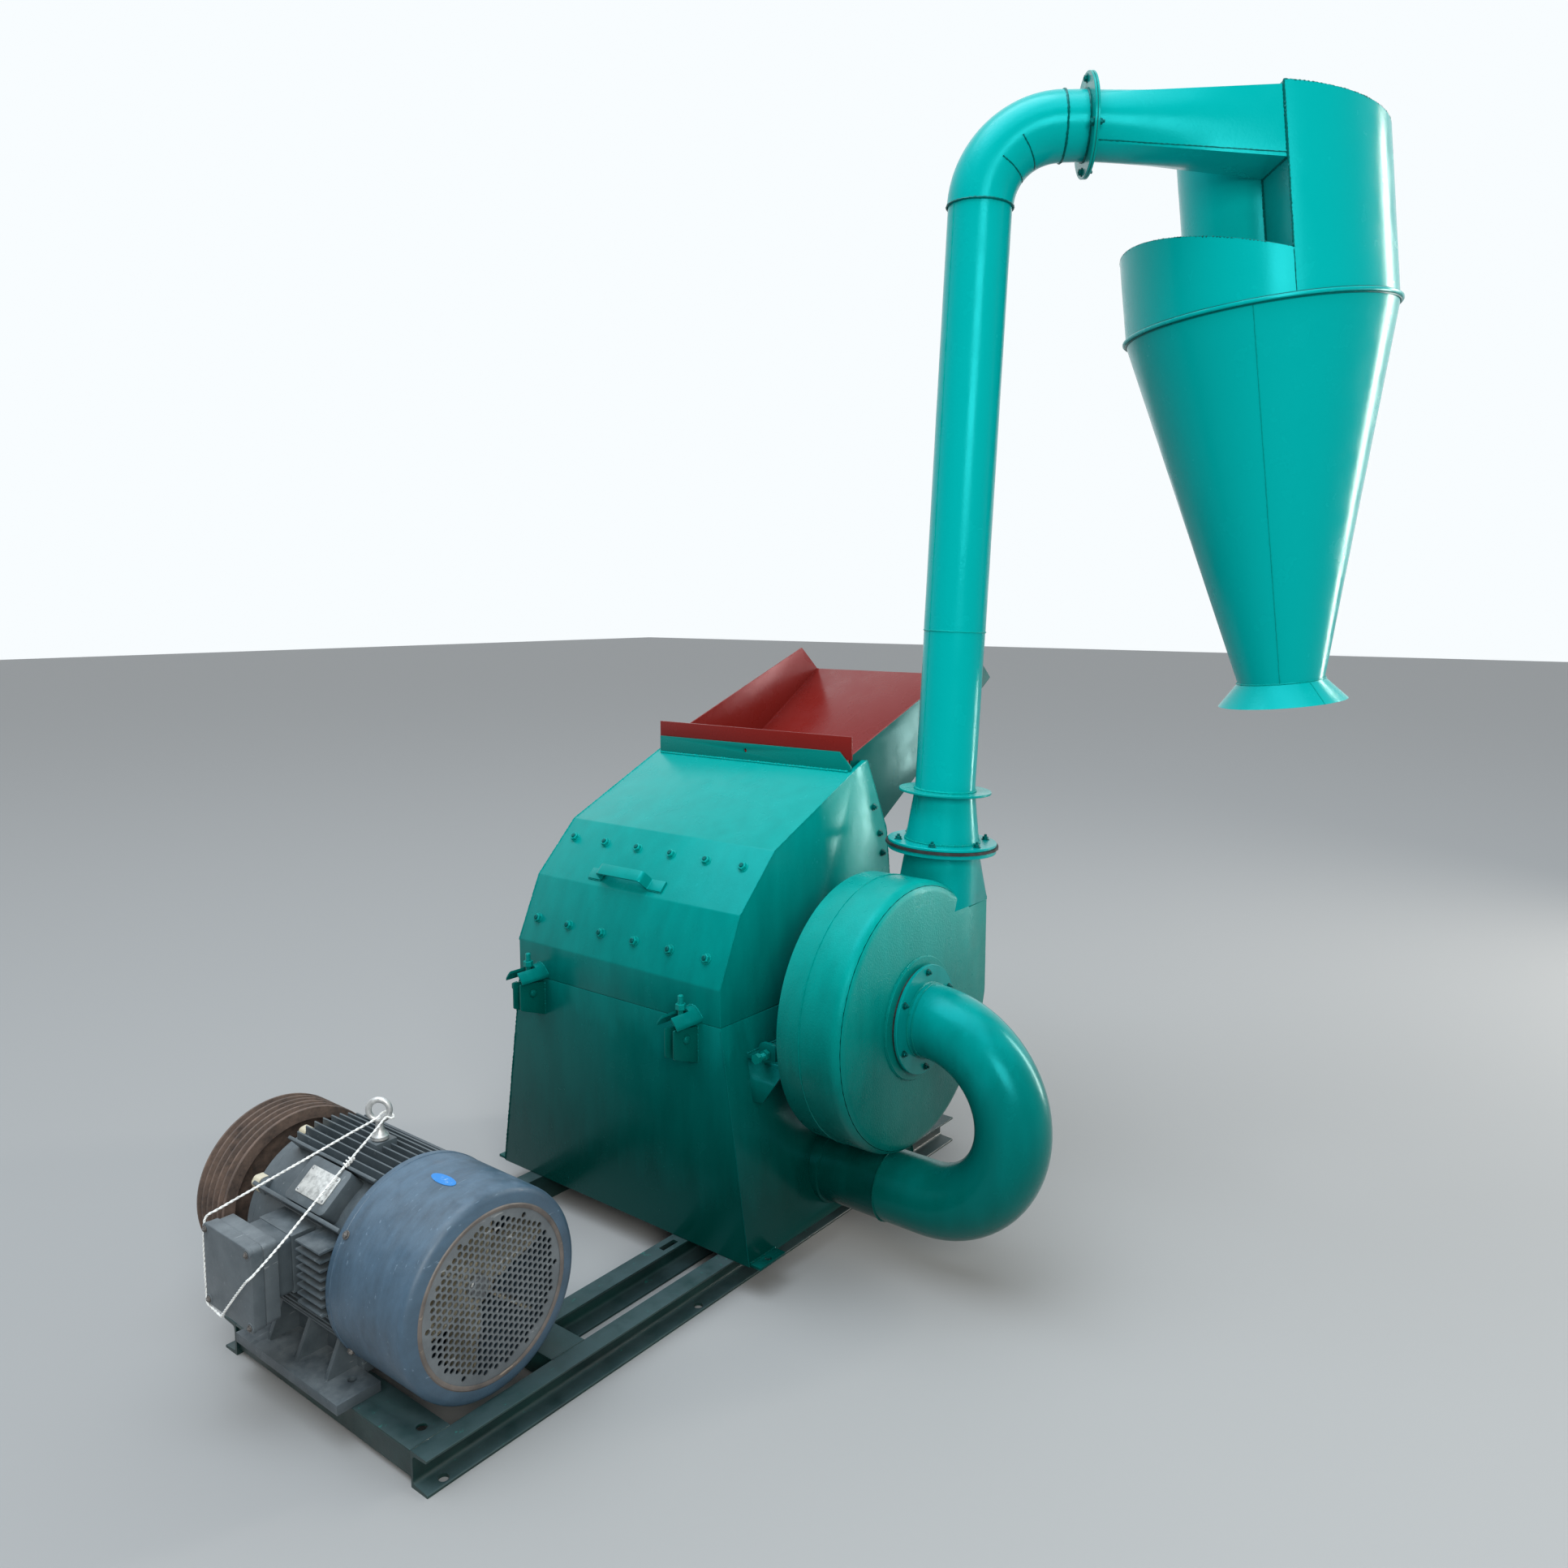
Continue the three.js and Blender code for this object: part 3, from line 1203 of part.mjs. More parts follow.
function motorFrame() {
  const centre = [MOTOR_X, MOTOR_Z];
  const barrel = rod("y", BARREL_RADIUS, BARREL_Y, centre, 36);
  const bore = rod("y", BARREL_RADIUS - 26, [BARREL_Y[0] - 1, BARREL_Y[1] + 1], centre);
  const fins = [];
  const half = FIN_THICKNESS / 2;
  for (let i = -4; i <= 4; i++) {
    const reach = Math.sqrt(FIN_RADIUS ** 2 - (i * FIN_PITCH) ** 2);
    const at = MOTOR_X + i * FIN_PITCH;
    fins.push(box([at - half, at + half], BARREL_Y, [MOTOR_Z, MOTOR_Z + reach]));
  }
  for (let i = -3; i <= 3; i++) {
    const reach = Math.sqrt(FIN_RADIUS ** 2 - (i * FIN_PITCH) ** 2);
    const at = MOTOR_Z + i * FIN_PITCH;
    fins.push(box([MOTOR_X, MOTOR_X + reach], BARREL_Y, [at - half, at + half]));
    const besideBox = i >= -1 && i <= 2;
    const left = besideBox ? SIDE_FIN.reach : reach;
    const span = besideBox ? SIDE_FIN.y : BARREL_Y;
    fins.push(box([MOTOR_X - left, MOTOR_X], span, [at - half, at + half]));
  }
  const bosses = LUG_ANGLES.map((angle) =>
    onBarrel(box([BARREL_RADIUS - 10, LUG_RADIUS], [BARREL_Y[1] - 20, BARREL_Y[1]], [-15, 15]), angle),
  );
  const pad = box([MOTOR_X - 4, MOTOR_X + 26], [EYEBOLT.y - 16, EYEBOLT.y + 16], [400, 420]);
  const boxPad = box([TERMINAL_NECK.x + GAP, MOTOR_X], TERMINAL_NECK.y, TERMINAL_NECK.z);
  const platePad = turnAbout(
    box([-178, -120], [-20, 78], [-30, 30]).translate([MOTOR_X, 0, MOTOR_Z]),
    "y",
    50,
    [MOTOR_X, 0, MOTOR_Z],
  );
  const eyeHole = rod("z", 6.4, [380, 430], [MOTOR_X + 6, EYEBOLT.y], 12);
  const body = join(barrel, fins, bosses, pad, boxPad, platePad, motorFeet());
  return cut(body, bore, eyeHole);
}

function motorFeet() {
  const low = RAIL_HEIGHT + 0.5;
  const pieces = [];
  for (const side of [-1, 1]) {
    const xs = [MOTOR_X + side * 116, MOTOR_X + side * 194].sort((a, b) => a - b);
    const foot = box(xs, MOTOR_FOOT_Y, [low, low + MOTOR_FOOT_THICKNESS]);
    const holes = MOTOR_FOOT_HOLE_Y.map((y) =>
      rod("z", 7.5, [low - 1, low + 30], [MOTOR_X + side * MOTOR_FOOT_HOLE_X, y], 8),
    );
    const outline = [
      [MOTOR_X + side * 70, low + 2],
      [MOTOR_X + side * 172, low + 2],
      [MOTOR_X + side * 172, low + MOTOR_FOOT_THICKNESS],
      [MOTOR_X + side * 128, MOTOR_Z - 62],
      [MOTOR_X + side * 70, MOTOR_Z - 62],
    ];
    const webs = [-60, 28, 116].map((y) => prism("y", outline, [y, y + 9]));
    const wall = [MOTOR_X + side * 100, MOTOR_X + side * 122].sort((a, b) => a - b);
    pieces.push(cut(join(foot, webs, box(wall, [-84, 168], [low + 2, MOTOR_Z - 60])), holes));
  }
  return pieces;
}

function endShield([y0, y1], nose, boreRadius, outer) {
  const profile = [
    [boreRadius, y0],
    [outer, y0],
    [outer, y0 + nose * 26],
    [outer - 34, y0 + nose * 40],
    [62, y1],
    [boreRadius, y1],
    [boreRadius, y0],
  ];
  return turned("y", profile, [MOTOR_X, MOTOR_Z], 28);
}

function driveShield() {
  const [y0, y1] = DRIVE_SHIELD_Y;
  const shell = endShield([y0, y1], 1, MOTOR_SHAFT_RADIUS + GAP, 146);
  const lugs = LUG_ANGLES.map((angle) => {
    const lug = box([120, LUG_RADIUS], [y0, y0 + 23], [-15, 15]);
    const bolt = hexagon("y", 8, [y0 + 22, y0 + 30], [146, 0]);
    return onBarrel(join(lug, bolt), angle);
  });
  return join(shell, lugs);
}

function motorShaft() {
  const centre = [MOTOR_X, MOTOR_Z];
  const drive = rod("y", MOTOR_SHAFT_RADIUS, [-150, 372], centre);
  const tail = rod("y", 20, [-262, -150], centre);
  const rotor = rod("y", 96, [-78, 146], centre);
  return join(drive, tail, rotor);
}

function motorFan() {
  const centre = [MOTOR_X, MOTOR_Z];
  const hub = rod("y", 40, [-250, -190], centre);
  const disc = rod("y", 92, [-198, -190], centre, 32);
  const blades = [];
  for (let i = 0; i < 6; i++) {
    const blade = box([34, 150], [-262, -192], [-3, 3]);
    blades.push(blade.rotate([0, i * 60, 0]).translate([MOTOR_X, 0, MOTOR_Z]));
  }
  return cut(join(hub, disc, blades), rod("y", 20 + GAP, [-300, -100], centre));
}

function fanCowl() {
  const [y0, y1] = COWL_Y;
  const wall = 3;
  const volume = (inner, ends) => {
    const radius = COWL_RADIUS - inner;
    const edge = COWL_EDGE - inner;
    const profile = [[0, y0 + inner]];
    for (let i = 0; i <= 3; i++) {
      const angle = (i / 3) * (Math.PI / 2);
      const r = radius - edge + edge * Math.sin(angle);
      profile.push([r, y0 + inner + edge - edge * Math.cos(angle)]);
    }
    profile.push([radius, y1 + ends], [0, y1 + ends]);
    return turned("y", profile, [MOTOR_X, MOTOR_Z], 30);
  };
  const slots = [];
  for (let i = 0; i < 8; i++) {
    const slot = box([52, 132], [y0 - 5, y0 + 20], [-9, 9]);
    slots.push(slot.rotate([0, i * 45, 0]).translate([MOTOR_X, 0, MOTOR_Z]));
  }
  return cut(volume(0, 0), volume(wall, 10), slots);
}

function terminalBox() {
  const { x, y, z, lid } = TERMINAL_BOX;
  const outer = box([x[0] + lid, x[1]], y, z);
  const hollow = box([x[0], x[1] - 6], [y[0] + 6, y[1] - 6], [z[0] + 6, z[1] - 6]);
  const neck = box([x[1] - 1, TERMINAL_NECK.x], TERMINAL_NECK.y, TERMINAL_NECK.z);
  const gland = rod("z", 11, [z[0] - 16, z[0] + 1], [x[1] - 13, y[0] + 40], 16);
  return join(cut(outer, hollow), neck, gland);
}

function terminalLid() {
  const { x, y, z, lid } = TERMINAL_BOX;
  const plate = box([x[0], x[0] + lid - GAP], [y[0] - 3, y[1] + 3], [z[0] - 3, z[1] + 3]);
  const hollow = box([x[0] + 5, x[0] + 30], [y[0] + 6, y[1] - 6], [z[0] + 6, z[1] - 6]);
  const screws = [];
  for (const sy of [y[0] + 6, y[1] - 6]) {
    for (const sz of [z[0] + 6, z[1] - 6]) screws.push(rod("x", 5, [x[0] - 4, x[0] + 1], [sy, sz], 8));
  }
  return join(cut(plate, hollow), screws);
}

function nameplate() {
  const plate = box([-180, -178 - GAP], [-14, 72], [-25, 25]).translate([MOTOR_X, 0, MOTOR_Z]);
  return turnAbout(plate, "y", 50, [MOTOR_X, 0, MOTOR_Z]);
}

function eyebolt() {
  const { y, z, ring: radius, stock, turn } = EYEBOLT;
  const x = MOTOR_X + 6;
  const torus = new THREE.TorusGeometry(radius, stock, 8, 20).rotateX(Math.PI / 2);
  const eye = solid(torus.rotateZ(rad(turn)).translate(x, y, z));
  const collar = rod("z", 13, [420 + GAP, z - radius], [x, y], 16);
  const shank = rod("z", 6, [402, 422], [x, y], 12);
  return join(eye, collar, shank);
}

// Cord tied round the terminal box: through the eye, round the ring's side and back.
const CORD_POINTS = [
  [96, -1.6, 417.3],
  [150, 3.5, 450],
  [176.3, 6, 465.5],
  [182.2, 3.2, 461.7],
  [189.4, 5.7, 460.4],
  [192.8, 12.2, 462],
  [191.2, 18.9, 465.5],
  [185, 21.5, 469],
  [175, 21.5, 468],
  [166, 18.5, 465],
  [120, 41, 443],
  [-70, 139, 350],
  [-86, 149, 341],
  [-90, 150.5, 334],
  [-94, 150, 196],
  [-94, 149.2, 188],
  [-94, 146, 185.2],
  [-95, 130, 184.8],
  [-98, 92, 185],
  [-100.5, 86, 190],
  [-100.5, -4, 284],
  [-99.5, -12, 290.5],
  [-95, -13.8, 294],
  [-46, -13.6, 326],
  [60, -5, 395.5],
  [88, -2.4, 412.5],
];

// A curve whose even steps fall on its points, however far apart they are.
class PointwiseCurve extends THREE.CatmullRomCurve3 {
  getUtoTmapping(u) {
    return u;
  }
}

function tieCord() {
  const points = CORD_POINTS.map((p) => new THREE.Vector3(...p));
  const path = new PointwiseCurve(points, false, "centripetal");
  const section = new THREE.Shape();
  for (let i = 0; i < 6; i++) {
    const angle = (i / 6) * 2 * Math.PI;
    const corner = [CORD_RADIUS * Math.cos(angle), CORD_RADIUS * Math.sin(angle)];
    if (i) section.lineTo(...corner);
    else section.moveTo(...corner);
  }
  const sweep = { extrudePath: path, steps: 2 * (points.length - 1), bevelEnabled: false };
  return solid(new THREE.ExtrudeGeometry(section, sweep));
}

// ---- assembly --------------------------------------------------------------------------------

function addMill(group) {
  part(group, "lower_casing", lowerCasing(), GREEN);
  part(group, "cover", cover(), GREEN);
  part(group, "cover_handle", coverHandle(), GREEN);
  part(group, "hinge_pin", hingePin(), DARK_STEEL);
  part(group, "latch_bolt_near", latchBolt(LATCH_Y[0]), GREEN);
  part(group, "latch_bolt_far", latchBolt(LATCH_Y[1]), GREEN);
  part(group, "feed_tray", feedTray(), RED);
  part(group, "breaker_liner", breakerLiner(), DARK_STEEL);
  part(group, "screen", screen(), STEEL);
  part(group, "bearing_bracket_near", bearingBracket(-1), GREEN);
  part(group, "bearing_bracket_far", bearingBracket(1), GREEN);
  part(group, "bearing_near", bearing(-1), GREEN);
  part(group, "bearing_far", bearing(1), GREEN);
}

function addRotor(group) {
  part(group, "rotor_shaft", rotorShaft(), STEEL);
  part(group, "rotor_plates", rotorPlates(), DARK_STEEL);
  ROWS.forEach((angle, i) => {
    part(group, `hammer_pin_${i + 1}`, hammerPin(angle), STEEL);
    part(group, `hammer_row_${i + 1}`, hammerRow(angle, i), DARK_STEEL);
  });
  part(group, "mill_pulley", pulley(MILL_PULLEY, [SHAFT_X, SHAFT_Z]), RUSTY_IRON);
  part(group, "fan_impeller", fanImpeller(), DARK_STEEL);
}

function addFan(group) {
  part(group, "fan_housing", fanHousing(), GREEN);
  part(group, "fan_outlet", fanOutlet(), GREEN);
  part(group, "suction_bend_upper", upperBend(), GREEN);
  part(group, "suction_bend_lower", lowerBend(), GREEN);
  part(group, "suction_pipe", suctionPipe(), GREEN);
}

function addMotor(group) {
  part(group, "motor_frame", motorFrame(), MOTOR_BLUE);
  part(group, "end_shield_drive", driveShield(), CREAM);
  const tailSpan = [BARREL_Y[0] - GAP, -150];
  part(group, "end_shield_fan", endShield(tailSpan, -1, MOTOR_SHAFT_RADIUS + GAP, 146), MOTOR_BLUE);
  part(group, "motor_shaft", motorShaft(), STEEL);
  part(group, "motor_pulley", pulley(MOTOR_PULLEY, [MOTOR_X, MOTOR_Z]), RUSTY_IRON);
  part(group, "motor_fan", motorFan(), CREAM);
  part(group, "fan_cowl", fanCowl(), MOTOR_BLUE);
  part(group, "terminal_box", terminalBox(), MOTOR_BLUE);
  part(group, "terminal_lid", terminalLid(), MOTOR_BLUE);
  part(group, "nameplate", nameplate(), ALUMINIUM);
  part(group, "eyebolt", eyebolt(), STEEL);
  part(group, "tie_cord", tieCord(), CORD_WHITE);
}

const machine = new THREE.Group();
addBase(machine);
addMill(machine);
addRotor(machine);
addFan(machine);
addDischarge(machine);
addMotor(machine);

// Shift the machine so that the origin is under the middle of its bounding box.
const bounds = new THREE.Box3().setFromObject(machine, true);
const middle = bounds.getCenter(new THREE.Vector3());
machine.position.set(-middle.x, -middle.y, -bounds.min.z);

const hammerMill = new THREE.Group();
hammerMill.add(machine);

export default hammerMill;
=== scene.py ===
"""Looks of the hammer mill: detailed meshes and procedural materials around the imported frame.

Shapes are drawn in millimetres in the machine's own frame (X along the rails from the motor's end,
Y = 0 on the mill's mid-plane, Z up from the floor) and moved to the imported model's frame at the end.
"""
import math
import random

import bmesh
import bpy
from mathutils import Matrix, Vector


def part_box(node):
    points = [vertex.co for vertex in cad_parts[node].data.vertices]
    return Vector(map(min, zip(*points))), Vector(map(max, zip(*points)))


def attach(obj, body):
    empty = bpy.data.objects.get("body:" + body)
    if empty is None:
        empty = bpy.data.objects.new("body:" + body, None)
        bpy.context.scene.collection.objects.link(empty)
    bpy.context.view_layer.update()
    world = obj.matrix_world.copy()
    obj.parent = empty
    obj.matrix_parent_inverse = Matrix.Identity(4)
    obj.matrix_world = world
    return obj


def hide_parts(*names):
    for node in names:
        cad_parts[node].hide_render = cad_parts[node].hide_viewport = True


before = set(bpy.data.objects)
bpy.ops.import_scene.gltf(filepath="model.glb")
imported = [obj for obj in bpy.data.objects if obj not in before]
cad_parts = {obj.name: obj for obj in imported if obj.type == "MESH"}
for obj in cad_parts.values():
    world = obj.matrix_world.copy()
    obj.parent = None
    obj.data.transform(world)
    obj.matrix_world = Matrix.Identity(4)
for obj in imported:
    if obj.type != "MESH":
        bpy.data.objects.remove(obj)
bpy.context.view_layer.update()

# ---- where things are ------------------------------------------------------------------------

RAIL_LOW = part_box("rail_near")[0]
NEAR_RAIL_TIP = -336.0
MM = 0.001
# from the machine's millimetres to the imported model's metres
SHIFT = Vector((RAIL_LOW[0], RAIL_LOW[1] - NEAR_RAIL_TIP * MM, 0.0))

RAIL_HEIGHT = 63.0
RAIL_WIDTH = 42.0
RAIL_LENGTH = 1600.0
SHAFT_X, SHAFT_Z = 1031.0, 541.0
SHAFT = (SHAFT_X, SHAFT_Z)
BODY_X = (730.0, 1344.0)
HALF_TOP, HALF_FOOT = 305.0, 378.0
SHEET = 5.0
FOLDS = [(730, 618), (792, 758), (904, 873), (1190, 1007), (1241, 1027), (1323, 857), (1344, 701)]
FOLD_RADIUS = 14.0
FAN_RADIUS = 280.0
FAN_Y = (-579.0, -429.0)
THROAT_X = (1170.0, 1311.0)
THROAT_SQUARE_Z, THROAT_TOP_Z = 733.0, 852.0
PIPE = 75.0
SUCTION_Z = 165.0
BEND_Y = -610.0
OUTLET = Vector((1240.0, -504.0, 863.0))
HEADING = math.radians(-53)
LEAN = math.radians(2.5)
RISER_RADIUS = 65.0
REDUCER_HEIGHT = 117.0
RISER_TOP = REDUCER_HEIGHT + 0.35 + 1210.0
ELBOW_BEND = 165.0
ELBOW_RADIUS = 67.0
ELBOW_RISE = math.radians(1)
COLLAR = 52.0
CYCLONE_CENTRE = Vector((711.0, 214.0, 1142.0))
CYCLONE_LEAN = math.radians(-6.3)
CYCLONE_RADIUS = 285.0
CHORD = -26.0
HOOD_TOP = (404.0, 338.0)  # at the chord wall and at the far right
DRUM_TOP = (178.0, 84.0)  # at the far left and at the chord wall
INLET_Z = (262.0, 400.0)
VORTEX_RADIUS = 148.0
CONE_LENGTH, CONE_END = 806.0, 94.0
MOTOR_X, MOTOR_Z = 167.0, 243.5
MOTOR = (MOTOR_X, MOTOR_Z)
BARREL_END = 205.0
GRILLE_REACH = 131.0
LUG_ANGLES = (10, 55, 100, 145, 190, 235, 280, 325)
TERMINAL_X, TERMINAL_Y, TERMINAL_Z = (-96.0, -46.0), (-7.0, 143.0), (192.0, 333.0)
TERMINAL_LID = 24.0
LATCH_Y = (-230.0, 235.0)
LATCH_PIN = (696.0, 515.0)

X, Y, Z = Vector((1, 0, 0)), Vector((0, 1, 0)), Vector((0, 0, 1))


# ---- camera ----------------------------------------------------------------------------------

CAMERA_PLACE = Vector((-1020.1, -1841.9, 1389.7))
CAMERA_AIM = Vector((0.780, 0.616, -0.115))
LEVEL_AIM = (0.78, 0.62, 0.0)
CAMERA_LENS = 27.81
CAMERA_SHIFT = (0.0017, -0.0285)


def add_camera():
    """From 1.4 m up, on the fan's side, looking past the motor to the mill."""
    forward = CAMERA_AIM.normalized()
    right = forward.cross(Z).normalized()
    up = right.cross(forward)
    turn = Matrix((right, up, -forward)).transposed().to_4x4()
    data = bpy.data.cameras.new("camera")
    data.sensor_width = 36.0
    data.lens = CAMERA_LENS
    data.shift_x, data.shift_y = CAMERA_SHIFT
    data.clip_end = 50.0
    camera = bpy.data.objects.new("camera", data)
    bpy.context.scene.collection.objects.link(camera)
    camera.matrix_world = Matrix.Translation(CAMERA_PLACE * MM + SHIFT) @ turn
    bpy.context.scene.camera = camera


add_camera()


# ---- materials -------------------------------------------------------------------------------

class Nodes:
    """A small builder for one Principled material, with coordinates in metres."""

    def __init__(
        self, name, roughness=0.4, metallic=0.0, coat=0.0, coat_roughness=0.1, glint=(1, 1, 1), shine=0.5
    ):
        self.material = bpy.data.materials.new(name)
        self.material.use_nodes = True
        self.tree = self.material.node_tree
        self.shader = self.tree.nodes["Principled BSDF"]
        self.shader.inputs["Roughness"].default_value = roughness
        self.shader.inputs["Metallic"].default_value = metallic
        self.shader.inputs["Coat Weight"].default_value = coat
        self.shader.inputs["Coat Roughness"].default_value = coat_roughness
        self.shader.inputs["Specular Tint"].default_value = (*glint, 1.0)
        self.shader.inputs["Specular IOR Level"].default_value = shine
        self.place = self.tree.nodes.new("ShaderNodeTexCoord").outputs["Object"]

    def link(self, source, target):
        self.tree.links.new(source, target)

    def stretched(self, scale, rotation=(0, 0, 0)):
        mapping = self.tree.nodes.new("ShaderNodeMapping")
        mapping.inputs["Scale"].default_value = scale
        mapping.inputs["Rotation"].default_value = rotation
        self.link(self.place, mapping.inputs["Vector"])
        return mapping.outputs["Vector"]

    def noise(self, scale, detail=4.0, roughness=0.55, place=None, distortion=0.0):
        node = self.tree.nodes.new("ShaderNodeTexNoise")
        node.inputs["Scale"].default_value = scale
        node.inputs["Detail"].default_value = detail
        node.inputs["Roughness"].default_value = roughness
        node.inputs["Distortion"].default_value = distortion
        self.link(place or self.place, node.inputs["Vector"])
        return node.outputs["Fac"]

    def cells(self, scale, feature="F1", place=None):
        node = self.tree.nodes.new("ShaderNodeTexVoronoi")
        node.feature = feature
        node.inputs["Scale"].default_value = scale
        self.link(place or self.place, node.inputs["Vector"])
        return node.outputs["Distance"]

    def ramp(self, value, low, high, start=0.0, end=1.0):
        """value mapped from low..high to start..end, clamped."""
        node = self.tree.nodes.new("ShaderNodeMapRange")
        for socket, number in zip(("From Min", "From Max", "To Min", "To Max"), (low, high, start, end)):
            node.inputs[socket].default_value = number
        self.link(value, node.inputs["Value"])
        return node.outputs["Result"]

    def math(self, operation, a, b):
        node = self.tree.nodes.new("ShaderNodeMath")
        node.operation = operation
        for socket, value in zip(node.inputs, (a, b)):
            if isinstance(value, (int, float)):
                socket.default_value = value
            else:
                self.link(value, socket)
        return node.outputs["Value"]

    def mix(self, share, a, b):
        """Colour a where share is 0 and b where it is 1."""
        node = self.tree.nodes.new("ShaderNodeMix")
        node.data_type = "RGBA"
        self.link(share, node.inputs[0])
        for socket, value in ((node.inputs[6], a), (node.inputs[7], b)):
            if isinstance(value, tuple):
                socket.default_value = (*value, 1.0)
            else:
                self.link(value, socket)
        return node.outputs[2]

    def height(self):
        """How high a point is in the rest pose, in metres over the floor."""
        split = self.tree.nodes.new("ShaderNodeSeparateXYZ")
        self.link(self.place, split.inputs[0])
        return split.outputs["Z"]

    def upward(self):
        """How far a face looks up, from -1 to 1."""
        geometry = self.tree.nodes.new("ShaderNodeNewGeometry")
        split = self.tree.nodes.new("ShaderNodeSeparateXYZ")
        self.link(geometry.outputs["Normal"], split.inputs[0])
        return split.outputs["Z"]

    def colour(self, value):
        if isinstance(value, tuple):
            self.shader.inputs["Base Color"].default_value = (*value, 1.0)
        else:
            self.link(value, self.shader.inputs["Base Color"])

    def roughness(self, value):
        self.link(value, self.shader.inputs["Roughness"])

    def metallic(self, value):
        self.link(value, self.shader.inputs["Metallic"])

    def bumps(self, *layers):
        """Each layer is (height, distance in metres, strength); later layers lie on earlier ones."""
        normal = None
        for height, distance, strength in layers:
            node = self.tree.nodes.new("ShaderNodeBump")
            node.inputs["Distance"].default_value = distance
            node.inputs["Strength"].default_value = strength
            self.link(height, node.inputs["Height"])
            if normal:
                self.link(normal, node.inputs["Normal"])
            normal = node.outputs["Normal"]
        self.link(normal, self.shader.inputs["Normal"])
        return self.material


GREEN_GLINT = (0.06, 0.88, 1.0)
ENAMEL_SHINE = 0.32


def enamel(name, low, high, dust, glint=GREEN_GLINT, rough=(0.16, 0.40)):
    """Gloss enamel over welded sheet: darker near the floor as painted shade, with orange peel and a little
    dust.
    """
    n = Nodes(name, glint=glint, shine=ENAMEL_SHINE)
    # darker towards the floor: painted shade
    paint = paint_shaded_low_down(n, low, high)
    speck = n.ramp(n.cells(70.0), 0.10, 0.06)
    patchy = n.ramp(n.noise(5.0, 2.0), 0.52, 0.66)
    paint = n.mix(n.math("MULTIPLY", n.math("MULTIPLY", speck, patchy), 0.35), paint, dust)
    flat = n.ramp(n.upward(), 0.45, 0.98)
    settled = n.math("MULTIPLY", n.math("MULTIPLY", flat, n.ramp(n.noise(9.0, 6.0, 0.7), 0.40, 0.75)), 0.14)
    n.colour(n.mix(settled, paint, dust))
    n.roughness(n.ramp(n.math("ADD", n.noise(14.0, 3.0), settled), 0.3, 1.0, *rough))
    return n.bumps(
        (n.noise(2.2, 1.0), 0.02, 0.10),
        (n.noise(190.0, 2.0, 0.5), 0.0006, 0.30),
        (n.noise(900.0, 1.0), 0.0002, 0.25),
    )


def paint_shaded_low_down(n, low, high):
    """Paint darkened low down as painted shade and full-toned high up, the shade's edge wavered a little by
    noise.
    """
    shade_edge_noise = n.noise(22.0, 4.0, 0.6, n.stretched((1.0, 1.0, 0.25)))
    uneven = n.math("MULTIPLY", n.math("SUBTRACT", shade_edge_noise, 0.5), 0.22)
    rise = n.math("ADD", n.height(), uneven)
    middle = tuple(a + (b - a) * 0.22 for a, b in zip(low, high))
    lower = n.mix(n.ramp(rise, 0.16, 0.50), low, middle)
    return n.mix(n.ramp(rise, 0.46, 0.98), lower, high)


def cast_enamel(name, low, high, dust):
    """The same paint over a rough casting or a hammered pressing."""
    n = Nodes(name, glint=GREEN_GLINT, shine=ENAMEL_SHINE)
    # darker towards the floor: painted shade
    paint = paint_shaded_low_down(n, low, high)
    pores = n.ramp(n.cells(210.0), 0.16, 0.05)
    n.colour(n.mix(n.math("MULTIPLY", pores, 0.22), paint, dust))
    n.roughness(n.ramp(n.noise(20.0, 3.0), 0.3, 0.7, 0.24, 0.44))
    return n.bumps(
        (n.noise(2.6, 1.0), 0.02, 0.08),
        (n.noise(240.0, 3.0, 0.65), 0.0011, 0.50),
        (n.cells(300.0), 0.0004, 0.35),
    )


def motor_paint(name, deep, fresh, scuff, rust, streak=(1, 1, 1)):
    """Old blue-grey paint with handling scratches, pale scuffs and rust in scattered spots."""
    n = Nodes(name, coat=0.1, coat_roughness=0.3)
    cloudy = n.noise(7.0, 6.0, 0.65)
    wiped = n.noise(18.0, 5.0, 0.7, n.stretched(streak))
    tone = n.math("ADD", n.math("MULTIPLY", cloudy, 0.5), n.math("MULTIPLY", wiped, 0.5))
    paint = n.mix(n.ramp(tone, 0.36, 0.64), deep, fresh)
    scratch = n.ramp(n.noise(70.0, 3.0, 0.6, n.stretched((0.25, 2.4, 1.2), (0.4, 0.7, 0.2))), 0.67, 0.70)
    paint = n.mix(n.math("MULTIPLY", scratch, 0.55), paint, scuff)
    flat = n.ramp(n.upward(), 0.3, 1.0)
    grime = n.math("MULTIPLY", flat, n.ramp(n.noise(22.0, 6.0, 0.7), 0.42, 0.7))
    paint = n.mix(n.math("MULTIPLY", grime, 0.35), paint, scuff)
    spots = n.ramp(n.noise(46.0, 6.0, 0.8), 0.70, 0.75)
    paint = n.mix(spots, paint, rust)
    n.colour(paint)
    n.roughness(n.ramp(n.math("ADD", n.noise(30.0, 4.0), grime), 0.3, 1.1, 0.34, 0.72))
    return n.bumps(
        (n.noise(6.0, 2.0), 0.006, 0.15),
        (n.noise(150.0, 4.0, 0.7), 0.0007, 0.45),
        (spots, 0.0006, 0.4),
    )


